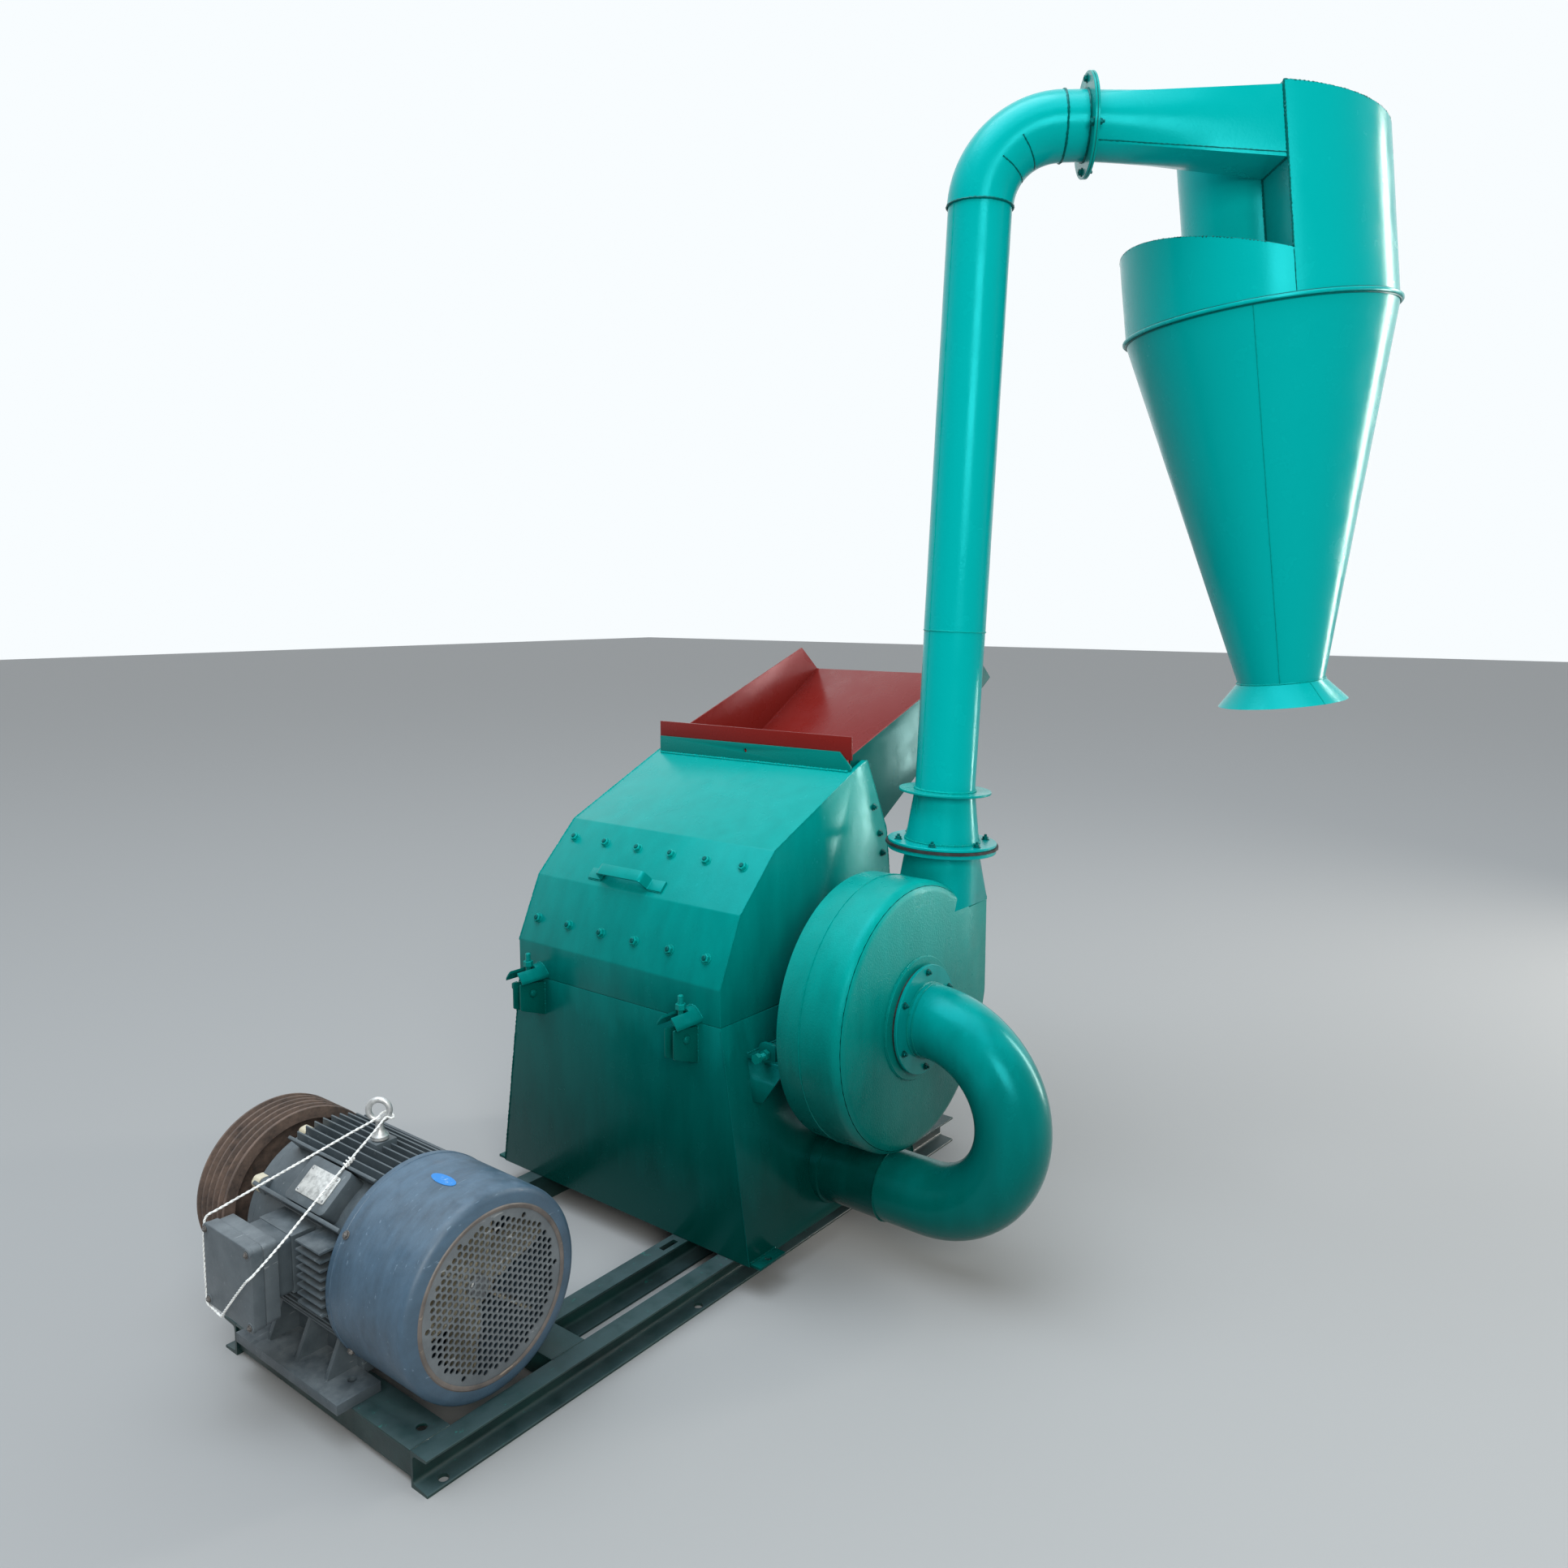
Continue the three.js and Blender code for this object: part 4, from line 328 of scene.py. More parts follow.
def bare_metal(name, base, dark, roughness, grain=(1, 1, 1), metallic=0.9, rust=None, rust_share=0.0):
    """Machined or rolled steel with a directional grain and, if asked, rust blooming on it."""
    n = Nodes(name, metallic=metallic)
    lines = n.noise(160.0, 4.0, 0.7, n.stretched(grain))
    cloud = n.noise(12.0, 4.0)
    tone = n.math("ADD", n.math("MULTIPLY", lines, 0.5), n.math("MULTIPLY", cloud, 0.5))
    metal = n.mix(n.ramp(tone, 0.35, 0.65), dark, base)
    n.roughness(n.ramp(lines, 0.3, 0.7, roughness - 0.1, roughness + 0.15))
    if rust:
        bloom = n.ramp(n.noise(24.0, 7.0, 0.75), 0.62 - rust_share, 0.74 - rust_share)
        metal = n.mix(bloom, metal, rust)
        n.metallic(n.ramp(bloom, 0.0, 1.0, metallic, 0.05))
    n.colour(metal)
    return n.bumps((lines, 0.0003, 0.4), (n.noise(300.0, 4.0, 0.7), 0.0004, 0.3))


def rusty_iron(name):
    """Turned cast iron gone evenly brown, darker in cloudy patches."""
    n = Nodes(name, roughness=0.75, metallic=0.25)
    rings = n.noise(14.0, 6.0, 0.7)
    fine = n.noise(120.0, 5.0, 0.75)
    tone = n.math("ADD", n.math("MULTIPLY", rings, 0.55), n.math("MULTIPLY", fine, 0.45))
    iron = n.mix(n.ramp(tone, 0.36, 0.62), (0.052, 0.040, 0.036), (0.170, 0.115, 0.090))
    orange = n.ramp(n.noise(30.0, 6.0, 0.8), 0.62, 0.74)
    iron = n.mix(n.math("MULTIPLY", orange, 0.6), iron, (0.26, 0.115, 0.050))
    n.colour(iron)
    n.roughness(n.ramp(fine, 0.3, 0.7, 0.55, 0.85))
    return n.bumps((fine, 0.0006, 0.5), (n.noise(420.0, 3.0), 0.0003, 0.4))


def dusty_rail(name):
    """Dark green channel with a blue-grey film of dust on its upper faces and rubbed spots there."""
    n = Nodes(name, coat=0.15, coat_roughness=0.25)
    tone = n.noise(9.0, 5.0, 0.65, n.stretched((0.5, 1, 1)))
    paint = n.mix(n.ramp(tone, 0.35, 0.65), (0.002, 0.012, 0.012), (0.004, 0.030, 0.027))
    flat = n.ramp(n.upward(), 0.4, 0.9)
    film = n.math("MULTIPLY", flat, n.ramp(n.noise(16.0, 7.0, 0.7), 0.30, 0.62, 0.35, 0.95))
    paint = n.mix(film, paint, (0.020, 0.047, 0.052))
    flake = n.math("MULTIPLY", flat, n.ramp(n.noise(52.0, 6.0, 0.78), 0.63, 0.67))
    paint = n.mix(flake, paint, (0.010, 0.110, 0.095))
    stain = n.ramp(n.noise(34.0, 5.0, 0.8), 0.71, 0.76)
    paint = n.mix(stain, paint, (0.10, 0.045, 0.022))
    n.colour(paint)
    n.roughness(n.ramp(n.math("ADD", n.noise(20.0, 3.0), film), 0.3, 1.4, 0.28, 0.75))
    return n.bumps((n.noise(170.0, 4.0, 0.7), 0.0006, 0.4), (n.noise(5.0, 2.0), 0.004, 0.1))


def rubber_sheet(name):
    n = Nodes(name, roughness=0.7)
    n.colour(n.mix(n.ramp(n.noise(40.0, 5.0), 0.4, 0.7), (0.010, 0.010, 0.011), (0.045, 0.043, 0.042)))
    return n.bumps((n.noise(260.0, 3.0), 0.0005, 0.4))


def blank_plate(name):
    """A dull aluminium plate, smudged and with no lettering."""
    n = Nodes(name, metallic=0.55)
    smudge = n.noise(60.0, 6.0, 0.75)
    n.colour(n.mix(n.ramp(smudge, 0.42, 0.62), (0.62, 0.62, 0.60), (0.34, 0.34, 0.33)))
    n.roughness(n.ramp(smudge, 0.3, 0.7, 0.38, 0.65))
    return n.bumps((smudge, 0.0003, 0.4))


def cord_fibre(name):
    n = Nodes(name, roughness=0.85)
    n.colour(n.mix(n.ramp(n.noise(180.0, 3.0), 0.4, 0.65), (0.80, 0.80, 0.78), (0.55, 0.55, 0.54)))
    n.shader.inputs["Sheen Weight"].default_value = 0.3
    return n.bumps((n.noise(900.0, 2.0), 0.0003, 0.6))


# In each enamel below the first colour is painted shade near the floor, the second the paint's colour high
# up, and the third dust.
GREEN = enamel("green_enamel", (0.000, 0.034, 0.028), (0.000, 0.275, 0.250), (0.01, 0.28, 0.26))
# A brighter, bluer copy of the green enamel for the pipework and cyclone: painted light.
PIPE_GREEN_PAINTED_LIGHT = enamel("green_pipes_painted_light", (0.000, 0.080, 0.068), (0.000, 0.355, 0.345), (0.01, 0.36, 0.35))
PRESSED = cast_enamel("green_pressing", (0.000, 0.055, 0.044), (0.000, 0.325, 0.290), (0.01, 0.32, 0.29))
WELD = cast_enamel("green_weld", (0.000, 0.014, 0.012), (0.000, 0.100, 0.090), (0.02, 0.14, 0.13))
SEAM_GREEN = cast_enamel("green_seam", (0.000, 0.050, 0.040), (0.000, 0.160, 0.138), (0.02, 0.18, 0.16))
RED = enamel(
    "tray_red", (0.110, 0.007, 0.005), (0.165, 0.011, 0.008), (0.24, 0.07, 0.07), (0.8, 0.40, 0.50),
    (0.22, 0.42)
)
TRAY_GREEN = enamel("tray_green", (0.000, 0.040, 0.034), (0.000, 0.070, 0.060), (0.03, 0.16, 0.14))
RAIL = dusty_rail("rail_paint")
BLUE = motor_paint(
    "motor_blue", (0.052, 0.066, 0.076), (0.092, 0.110, 0.122), (0.24, 0.26, 0.27), (0.13, 0.06, 0.035)
)
COWL = motor_paint(
    "cowl_blue", (0.030, 0.054, 0.080), (0.052, 0.098, 0.148), (0.15, 0.22, 0.29), (0.16, 0.08, 0.045),
    (0.3, 3, 1)
)
GRILLE = motor_paint(
    "grille_paint", (0.070, 0.080, 0.088), (0.130, 0.145, 0.155), (0.30, 0.31, 0.31), (0.16, 0.08, 0.045)
)
WORN_RIM = motor_paint(
    "cowl_rim", (0.050, 0.042, 0.038), (0.150, 0.125, 0.110), (0.28, 0.22, 0.17), (0.20, 0.09, 0.04)
)
FRAME_IRON = motor_paint(
    "motor_iron", (0.036, 0.048, 0.056), (0.070, 0.088, 0.100), (0.19, 0.21, 0.22), (0.09, 0.045, 0.028)
)
CREAM = motor_paint(
    "cream_paint", (0.36, 0.31, 0.21), (0.54, 0.49, 0.37), (0.66, 0.62, 0.52), (0.22, 0.11, 0.05)
)
RUST = rusty_iron("rusty_iron")
STEEL = bare_metal("steel", (0.52, 0.53, 0.54), (0.34, 0.35, 0.36), 0.36, (1, 0.1, 1))
EYE_STEEL = bare_metal("eye_steel", (0.66, 0.66, 0.65), (0.42, 0.42, 0.42), 0.42, metallic=0.7)
DARK = bare_metal(
    "dark_steel", (0.15, 0.155, 0.16), (0.07, 0.07, 0.075), 0.5, (1, 1, 0.2), 0.7, (0.10, 0.045, 0.02), 0.04
)
SCREW = bare_metal(
    "screw_steel", (0.20, 0.19, 0.18), (0.09, 0.08, 0.075), 0.5, metallic=0.6, rust=(0.13, 0.06, 0.03),
    rust_share=0.02
)
RUBBER = rubber_sheet("rubber_sheet")
PLATE = blank_plate("blank_plate")
CORD = cord_fibre("tie_cord_fibre")


# ---- mesh helpers ----------------------------------------------------------------------------

class Shape:
    """Vertices in millimetres, faces, and each face's material number."""

    def __init__(self):
        self.verts = []
        self.faces = []
        self.paint = []

    def add(self, verts, faces, paint=0):
        start = len(self.verts)
        self.verts.extend(Vector(v) for v in verts)
        self.faces.extend([start + i for i in face] for face in faces)
        self.paint.extend([paint] * len(faces))
        return self

    def join(self, *others):
        for other in others:
            start = len(self.verts)
            self.verts.extend(other.verts)
            self.faces.extend([start + i for i in face] for face in other.faces)
            self.paint.extend(other.paint)
        return self

    def moved(self, matrix):
        copy = Shape()
        copy.verts = [matrix @ v for v in self.verts]
        copy.faces = [list(face) for face in self.faces]
        copy.paint = list(self.paint)
        return copy


def loft(rings, closed=False, paint=0):
    """Skins rings of equal count; the last ring meets the first if closed, else both ends are capped."""
    count = len(rings[0])
    verts = [v for ring in rings for v in ring]
    faces = []
    steps = len(rings) if closed else len(rings) - 1
    for k in range(steps):
        low, high = k * count, ((k + 1) % len(rings)) * count
        for i in range(count):
            j = (i + 1) % count
            faces.append([low + i, low + j, high + j, high + i])
    if not closed:
        faces.append(list(range(count))[::-1])
        faces.append([(len(rings) - 1) * count + i for i in range(count)])
    return Shape().add(verts, faces, paint)


def lay(axis, a, b, along):
    """A point from plane coordinates: axis x takes (y, z), axis y takes (x, z), axis z takes (x, y)."""
    if axis == "x":
        return Vector((along, a, b))
    if axis == "y":
        return Vector((a, along, b))
    return Vector((a, b, along))


def prism(axis, outline, span, paint=0):
    return loft([[lay(axis, a, b, s) for a, b in outline] for s in span], paint=paint)


def block(xs, ys, zs, paint=0):
    outline = [(xs[0], ys[0]), (xs[1], ys[0]), (xs[1], ys[1]), (xs[0], ys[1])]
    return prism("z", outline, zs, paint)


def ring_points(axis, radius, along, centre, count):
    points = []
    for i in range(count):
        angle = 2 * math.pi * i / count
        a = centre[0] + radius * math.cos(angle)
        b = centre[1] + radius * math.sin(angle)
        points.append(lay(axis, a, b, along))
    return points


def turned(axis, profile, centre=(0, 0), count=64, closed=False):
    """A turned piece from (radius, place along the axis) points, hollow if closed."""
    rings = [ring_points(axis, max(r, 0.01), s, centre, count) for r, s in profile]
    return loft(rings, closed)


def washer(axis, outer, inner, span, centre=(0, 0), count=64, edge=0.8):
    """A flat ring with its outer corners eased."""
    lo, hi = span
    profile = [
        (inner, lo), (outer - edge, lo), (outer, lo + edge), (outer, hi - edge), (outer - edge, hi),
        (inner, hi),
    ]
    return turned(axis, profile, centre, count, closed=True)


def disc(axis, radius, span, centre=(0, 0), count=48, edge=0.8):
    lo, hi = span
    profile = [(radius - edge, lo), (radius, lo + edge), (radius, hi - edge), (radius - edge, hi)]
    return turned(axis, profile, centre, count)


def bent_pipe(stops, side, outer, inner, count=56):
    """A pipe along stops of (place, direction) in the plane whose normal is side."""
    def rings(radius, order):
        made = []
        for at, along in order:
            up = along.cross(side).normalized()
            made.append([
                at + (side * math.cos(t) + up * math.sin(t)) * radius
                for t in (2 * math.pi * i / count for i in range(count))
            ])
        return made
    return loft(rings(outer, stops) + rings(inner, stops[::-1]), closed=True)


def arc_stops(centre, start, along, radius, angle, steps):
    stops = []
    for i in range(steps + 1):
        t = angle * i / steps
        outward = start * math.cos(t) + along * math.sin(t)
        stops.append((centre + outward * radius, along * math.cos(t) - start * math.sin(t)))
    return stops


def sweep(points, radius, count=8, closed=False):
    """A round rod along points; radius is a number or one number for each point."""
    points = [Vector(p) for p in points]
    radii = radius if isinstance(radius, list) else [radius] * len(points)
    last = len(points) - 1
    rings = []
    across = None
    for i, point in enumerate(points):
        before = points[i - 1] if i or closed else point
        after = points[(i + 1) % len(points)] if i < last or closed else point
        along = (after - before).normalized()
        if across is None:
            helper = Z if abs(along.z) < 0.9 else X
            across = along.cross(helper).normalized()
        across = (across - along * across.dot(along)).normalized()
        up = along.cross(across)
        rings.append([
            point + (across * math.cos(t) + up * math.sin(t)) * radii[i]
            for t in (2 * math.pi * k / count for k in range(count))
        ])
    return loft(rings, closed)


def spaced(points, step):
    """Points along a polyline at an even spacing."""
    points = [Vector(p) for p in points]
    made = [points[0]]
    for a, b in zip(points, points[1:]):
        count = max(1, round((b - a).length / step))
        made.extend(a.lerp(b, (i + 1) / count) for i in range(count))
    return made


def bead(points, radius=2.6, step=3.4, seed=1, closed=False):
    """A hand-laid weld: a rod whose ripples and wander vary along it."""
    rng = random.Random(seed)
    path = spaced(points, step)
    if closed and (path[0] - path[-1]).length < step / 2:
        path.pop()
    radii = []
    for i in range(len(path)):
        radii.append(radius * (1.0 + (0.24 if i % 2 else -0.18) + rng.uniform(-0.16, 0.16)))
        path[i] = path[i] + Vector([rng.uniform(-0.4, 0.4) for _ in range(3)])
    return sweep(path, radii, 6, closed)


def fillet(corners, radius, steps=4, closed=True):
    """Corners of an outline eased by arcs; corners may carry their own radius as a third number."""
    made = []
    count = len(corners)
    for i, corner in enumerate(corners):
        here = Vector(corner[:2])
        own = corner[2] if len(corner) > 2 else radius
        if own == 0 or (not closed and i in (0, count - 1)):
            made.append(tuple(here))
            continue
        before = Vector(corners[i - 1][:2]) - here
        after = Vector(corners[(i + 1) % count][:2]) - here
        half = before.angle(after) / 2
        reach = min(own / math.tan(half), before.length * 0.49, after.length * 0.49)
        size = reach * math.tan(half)
        middle = here + (before.normalized() + after.normalized()).normalized() * size / math.sin(half)
        start = here + before.normalized() * reach - middle
        end = here + after.normalized() * reach - middle
        turn = start.angle_signed(end)
        for k in range(steps + 1):
            t = -turn * k / steps
            c, s = math.cos(t), math.sin(t)
            made.append((middle.x + start.x * c - start.y * s, middle.y + start.x * s + start.y * c))
    return made


def hex_head(radius, height):
    """A bolt head or nut on the Z = 0 plane with its top corners chamfered."""
    def six(r, z):
        return [Vector((r * math.cos(math.pi * k / 3), r * math.sin(math.pi * k / 3), z)) for k in range(6)]
    ease = radius * 0.12
    return loft([six(radius, 0), six(radius, height - ease), six(radius - ease, height)])


def aimed(place, direction):
    """A matrix that stands a piece drawn along +Z at place, along direction."""
    turn = Vector(direction).to_track_quat("Z", "Y").to_matrix().to_4x4()
    return Matrix.Translation(Vector(place)) @ turn


def bolt(place, direction, radius=8.0, height=6.0, tip=4.0):
    """A nut on its washer with the bolt's end showing."""
    made = disc("z", radius * 1.35, (0, 1.6), count=24, edge=0.3)
    made.join(hex_head(radius, height).moved(Matrix.Translation((0, 0, 1.6))))
    end = 1.6 + height + tip
    made.join(turned("z", [(radius * 0.5, 1), (radius * 0.5, end), (radius * 0.36, end + 1)], count=16))
    return made.moved(aimed(place, direction))


# ---- objects ---------------------------------------------------------------------------------

def mesh_object(name, shape, materials):
    mesh = bpy.data.meshes.new(name)
    verts = [v * MM + SHIFT for v in shape.verts]
    mesh.from_pydata([tuple(v) for v in verts], [], shape.faces)
    for material in materials:
        mesh.materials.append(material)
    for polygon, number in zip(mesh.polygons, shape.paint):
        polygon.material_index = number
    thing = bpy.data.objects.new(name, mesh)
    bpy.context.scene.collection.objects.link(thing)
    work = bmesh.new()
    work.from_mesh(mesh)
    bmesh.ops.remove_doubles(work, verts=work.verts, dist=0.00001)
    bmesh.ops.recalc_face_normals(work, faces=work.faces)
    work.to_mesh(mesh)
    work.free()
    return thing


def apply_modifiers(thing):
    depsgraph = bpy.context.evaluated_depsgraph_get()
    mesh = bpy.data.meshes.new_from_object(thing.evaluated_get(depsgraph))
    thing.modifiers.clear()
    thing.data = mesh


def carve(thing, cutters):
    """Takes the cutters' shapes out of a piece."""
    for i, cutter in enumerate(cutters):
        tool = mesh_object(f"{thing.name}_cut_{i}", cutter, [])
        modifier = thing.modifiers.new("cut", "BOOLEAN")
        modifier.operation = "DIFFERENCE"
        modifier.solver = "EXACT"
        modifier.object = tool
        modifier.use_self = True
        apply_modifiers(thing)
        bpy.data.objects.remove(tool)


def finish(thing, body, nodes=(), bevel=0.0, segments=2, smooth=32.0, slot=None):
    """Eases edges, shades the piece, ties it to its body and hides the CAD nodes it stands for."""
    if bevel:
        modifier = thing.modifiers.new("edges", "BEVEL")
        modifier.width = bevel * MM
        modifier.segments = segments
        modifier.limit_method = "ANGLE"
        modifier.angle_limit = math.radians(38)
        modifier.use_clamp_overlap = True
        apply_modifiers(thing)
    thing.data.shade_smooth()
    thing.data.set_sharp_from_angle(angle=math.radians(smooth))
    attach(thing, body)
    if nodes:
        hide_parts(*nodes)
    return thing


def piece(name, shape, material, body="frame", nodes=(), cutters=(), **looks):
    materials = material if isinstance(material, list) else [material]
    thing = mesh_object(name, shape, materials)
    if cutters:
        carve(thing, cutters)
    return finish(thing, body, nodes, **looks)


# ---- base ------------------------------------------------------------------------------------

def channel_outline(web, side):
    """A rolled channel on its flange, web face at web, flanges towards side, roots filleted."""
    tip, inside = web + side * RAIL_WIDTH, web + side * 5
    return fillet([
        (web, 0, 1), (tip, 0, 1), (tip, 5, 3), (inside, 7.5, 7),
        (inside, RAIL_HEIGHT - 7.5, 7), (tip, RAIL_HEIGHT - 5, 3), (tip, RAIL_HEIGHT, 1),
        (web, RAIL_HEIGHT, 1),
    ], 1.0)


def anchor_holes(y, places):
    return [turned("z", [(9, -5), (9, 12)], (x, y), 28) for x in places]


def add_base():
    holes = (40, 640, 1240)
    for name, web, side in (("rail_near", -294, -1), ("rail_far", 246, 1)):
        rail = prism("x", channel_outline(web, side), (0, RAIL_LENGTH))
        piece(name + "_channel", rail, RAIL, nodes=[name], cutters=anchor_holes(web + side * 28, holes))
    inner = prism("x", channel_outline(-168, -1), (366.4, 1499.6))
    slot = block((672, 716), (-198, -184), (50, 70))
    piece("rail_inner_channel", inner, RAIL, nodes=["rail_inner"], cutters=[slot])
    for name, x0, x1 in (("front", 0, 76), ("mid", 290, 366), ("rear", 1500, 1576)):
        plate = block((x0, x1), (-293.6, 245.6), (58, 63))
        plate.join(block((x0 + 4, x0 + 9), (-293.6, 245.6), (12, 58)))
        cutters = [turned("z", [(9, 50), (9, 70)], (44, -262), 24)] if name == "front" else []
        piece(
            f"cross_plate_{name}_sheet", plate, RAIL, nodes=[f"cross_plate_{name}"], cutters=cutters,
            bevel=0.8
        )
    seams = Shape()
    for k, (x0, x1) in enumerate(((0, 76), (290, 366), (1500, 1576))):
        for y in (-294, 246):
            seams.join(bead([(x0 + 2, y, 62.6), (x1 - 2, y, 62.6)], 1.8, seed=40 + k))
    seams.join(bead([(366.2, -208, 62.6), (366.2, -170, 62.6)], 1.8, seed=44))
    piece("base_welds", seams, RAIL)


# ---- mill body -------------------------------------------------------------------------------

def half_width(z):
    return HALF_TOP + (HALF_FOOT - HALF_TOP) * (SHAFT_Z - z) / (SHAFT_Z - RAIL_HEIGHT)


def casing_section(margin, z0, z1):
    low, high = half_width(z0) + margin, half_width(z1) + margin
    return [(-low, z0), (low, z0), (high, z1), (-high, z1)]


def add_casing():
    z0, z1 = RAIL_HEIGHT + 0.4, SHAFT_Z - 0.4
    shell = prism("x", casing_section(0, z0, z1), BODY_X)
    hollow = prism("x", casing_section(-SHEET, z0 - 10, z1 + 10), (BODY_X[0] + SHEET, BODY_X[1] - SHEET))
    slot = turned("y", [(42, -400), (42, 400)], SHAFT, 48)
    hole = turned("y", [(PIPE, -420), (PIPE, -100)], (SHAFT_X, SUCTION_Z), 48)
    piece(
        "casing_shell", shell, GREEN, nodes=["lower_casing"], cutters=[hollow, slot, hole], bevel=1.4,
        segments=3
    )
    fittings = Shape()
    for side in (-1, 1):
        for x in (734, 1260):
            inner = half_width(68) - 3
            ys = sorted((side * inner, side * (inner + 30)))
            fittings.join(block((x, x + 80), ys, (63.4, 69.4)))
    lug_holes = []
    for side in (-1, 1):
        for x in (774, 1300):
            lug_holes.append(turned("z", [(7, 60), (7, 75)], (x, side * (half_width(68) + 14)), 20))
    piece("casing_lugs", fittings, GREEN, cutters=lug_holes, bevel=0.8)
    seams = Shape()
    for k, side in enumerate((-1, 1)):
        for x in BODY_X:
            run = [(x, side * half_width(66), 66), (x, side * half_width(535), 535)]
            seams.join(bead(run, 1.3, 5.0, seed=50 + k))
        for x in (734, 1260):
            y = side * half_width(70)
            seams.join(bead([(x, y, 70), (x + 80, y, 70)], 2.2, seed=53 + k))
    piece("casing_welds", seams, GREEN)
    for name, y in (("near", LATCH_Y[0]), ("far", LATCH_Y[1])):
        piece(f"latch_cheeks_{name}", latch_cheeks(y), SEAM_GREEN, bevel=0.7)
    piece("hinge_knuckles_casing", knuckles(False), GREEN, bevel=0.5)
    pin = disc("y", 7, (-262, 262), (1360, SHAFT_Z), 24).join(
        disc("y", 11, (262, 268), (1360, SHAFT_Z), 24)
    )
    piece("hinge_pin_rod", pin, DARK, nodes=["hinge_pin"])


def latch_cheeks(y):
    """Two plates on the casing with a rivet-headed pin through them."""
    outline = fillet([(731, 456, 0), (662, 482, 4), (662, 542, 3), (731, 533, 0)], 0)
    made = Shape()
    for side in (-1, 1):
        made.join(prism("y", outline, sorted((y + side * 9, y + side * 14))))
        foot = y + side * 14.5
        made.join(bead([(730.5, foot, 457), (730.5, foot, 532)], 2.2, seed=60))
    head = turned("y", [(9.5, y - 14.2), (9.5, y - 15.5), (7.5, y - 19.0), (3.5, y - 20.6)], LATCH_PIN, 28)
    return made.join(head, disc("y", 5, (y - 14, y + 18), LATCH_PIN, 24))


def knuckles(on_cover):
    made = Shape()
    way = 1 if on_cover else -1
    for middle in (-190, 190):
        y0 = middle + (0.35 if on_cover else -60)
        span = (y0, y0 + 59.6)
        made.join(washer("y", 13, 7.4, span, (1360, SHAFT_Z), 32))
        zs = sorted((SHAFT_Z + way * 30, SHAFT_Z + way * 9))
        made.join(block((1344.4, 1352), span, zs))
    return made


def cover_outline():
    """Front foot, the folds and rear foot, each fold eased like bent plate."""
    corners = [(BODY_X[0], SHAFT_Z + 0.4, 0)]
    corners += [(x, z, FOLD_RADIUS) for x, z in FOLDS]
    corners[4] = (1190, 1007, 4)
    corners[5] = (1241, 1027, 4)
    corners.append((BODY_X[1], SHAFT_Z + 0.4, 0))
    return fillet(corners, FOLD_RADIUS, 5)


def inner_outline():
    """The cover's outline moved in by the plate's thickness and run on below the split."""
    corners = [(x, z) for x, z in [(BODY_X[0], SHAFT_Z), *FOLDS, (BODY_X[1], SHAFT_Z)]]
    moved = []
    count = len(corners)
    for i in range(count):
        here = Vector(corners[i])
        before = (here - Vector(corners[i - 1])).normalized()
        after = (Vector(corners[(i + 1) % count]) - here).normalized()
        if i == 0 or i == count - 1:
            moved.append((here.x + (SHEET if i == 0 else -SHEET), here.y - 20))
            continue
        normal_a, normal_b = Vector((before.y, -before.x)), Vector((after.y, -after.x))
        bisector = (normal_a + normal_b).normalized()
        moved.append(tuple(here + bisector * (SHEET / bisector.dot(normal_a))))
    return moved


def add_cover():
    shell = prism("y", cover_outline(), (-HALF_TOP, HALF_TOP))
    hollow = prism("y", inner_outline(), (-HALF_TOP + SHEET, HALF_TOP - SHEET))
    mouth = prism(
        "y", [(1196, 960), (1196, 1100), (1400, 1100), (1400, 900), (1331, 866), (1300, 850)], (-290, 290)
    )
    slot = turned("y", [(42, -330), (42, 330)], SHAFT, 48)
    piece("cover_shell", shell, GREEN, "cover", ["cover"], [hollow, mouth, slot], bevel=1.2, segments=3)
    lip_outline = [(-298, 996), (290, 996), (290, 1046), (-266, 1048), (-298, 1016)]
    lip = prism("x", lip_outline, (1184, 1190))
    lip_hole = turned("x", [(5, 1170), (5, 1200)], (10, 1030), 20)
    piece("cover_lip", lip, SEAM_GREEN, "cover", cutters=[lip_hole], bevel=0.8)
    slope = math.atan2(1007 - 873, 1190 - 904)
    foot_z = 873 + (1184 - 904) * math.tan(slope)
    weld_line = [(1183.4, -292, foot_z + 1), (1183.4, 286, foot_z + 1)]
    piece("cover_lip_weld", bead(weld_line, 3.0, 4.4, seed=70), GREEN, "cover")
    seams = Shape()
    for side in (-1, 1):
        run = [(x, side * (HALF_TOP - 0.4), z) for x, z in cover_outline()[1:-1]]
        seams.join(bead(run, 1.2, 4.6, seed=72 + side))
    piece("cover_edge_welds", seams, GREEN, "cover")
    for name, y in (("near", LATCH_Y[0]), ("far", LATCH_Y[1])):
        piece(f"latch_fork_{name}", latch_fork(y), GREEN, "cover", bevel=0.8)
    piece("hinge_knuckles_cover", knuckles(True), GREEN, "cover", bevel=0.5)
    piece("cover_grip", cover_grip(), GREEN, "cover", ["cover_handle"], bevel=0.7)
    nuts, ends = liner_nuts()
    piece("liner_nuts", nuts, PRESSED, "cover")
    piece("liner_stud_ends", ends, WELD, "cover")
    side_bolts = Shape()
    for x, z in ((1268, 915), (1294, 850), (1306, 802)):
        for side in (-1, 1):
            side_bolts.join(bolt((x, side * HALF_TOP, z), (0, side, 0), 6.5, 5, 3))
    piece("cover_side_bolts", side_bolts, WELD, "cover")


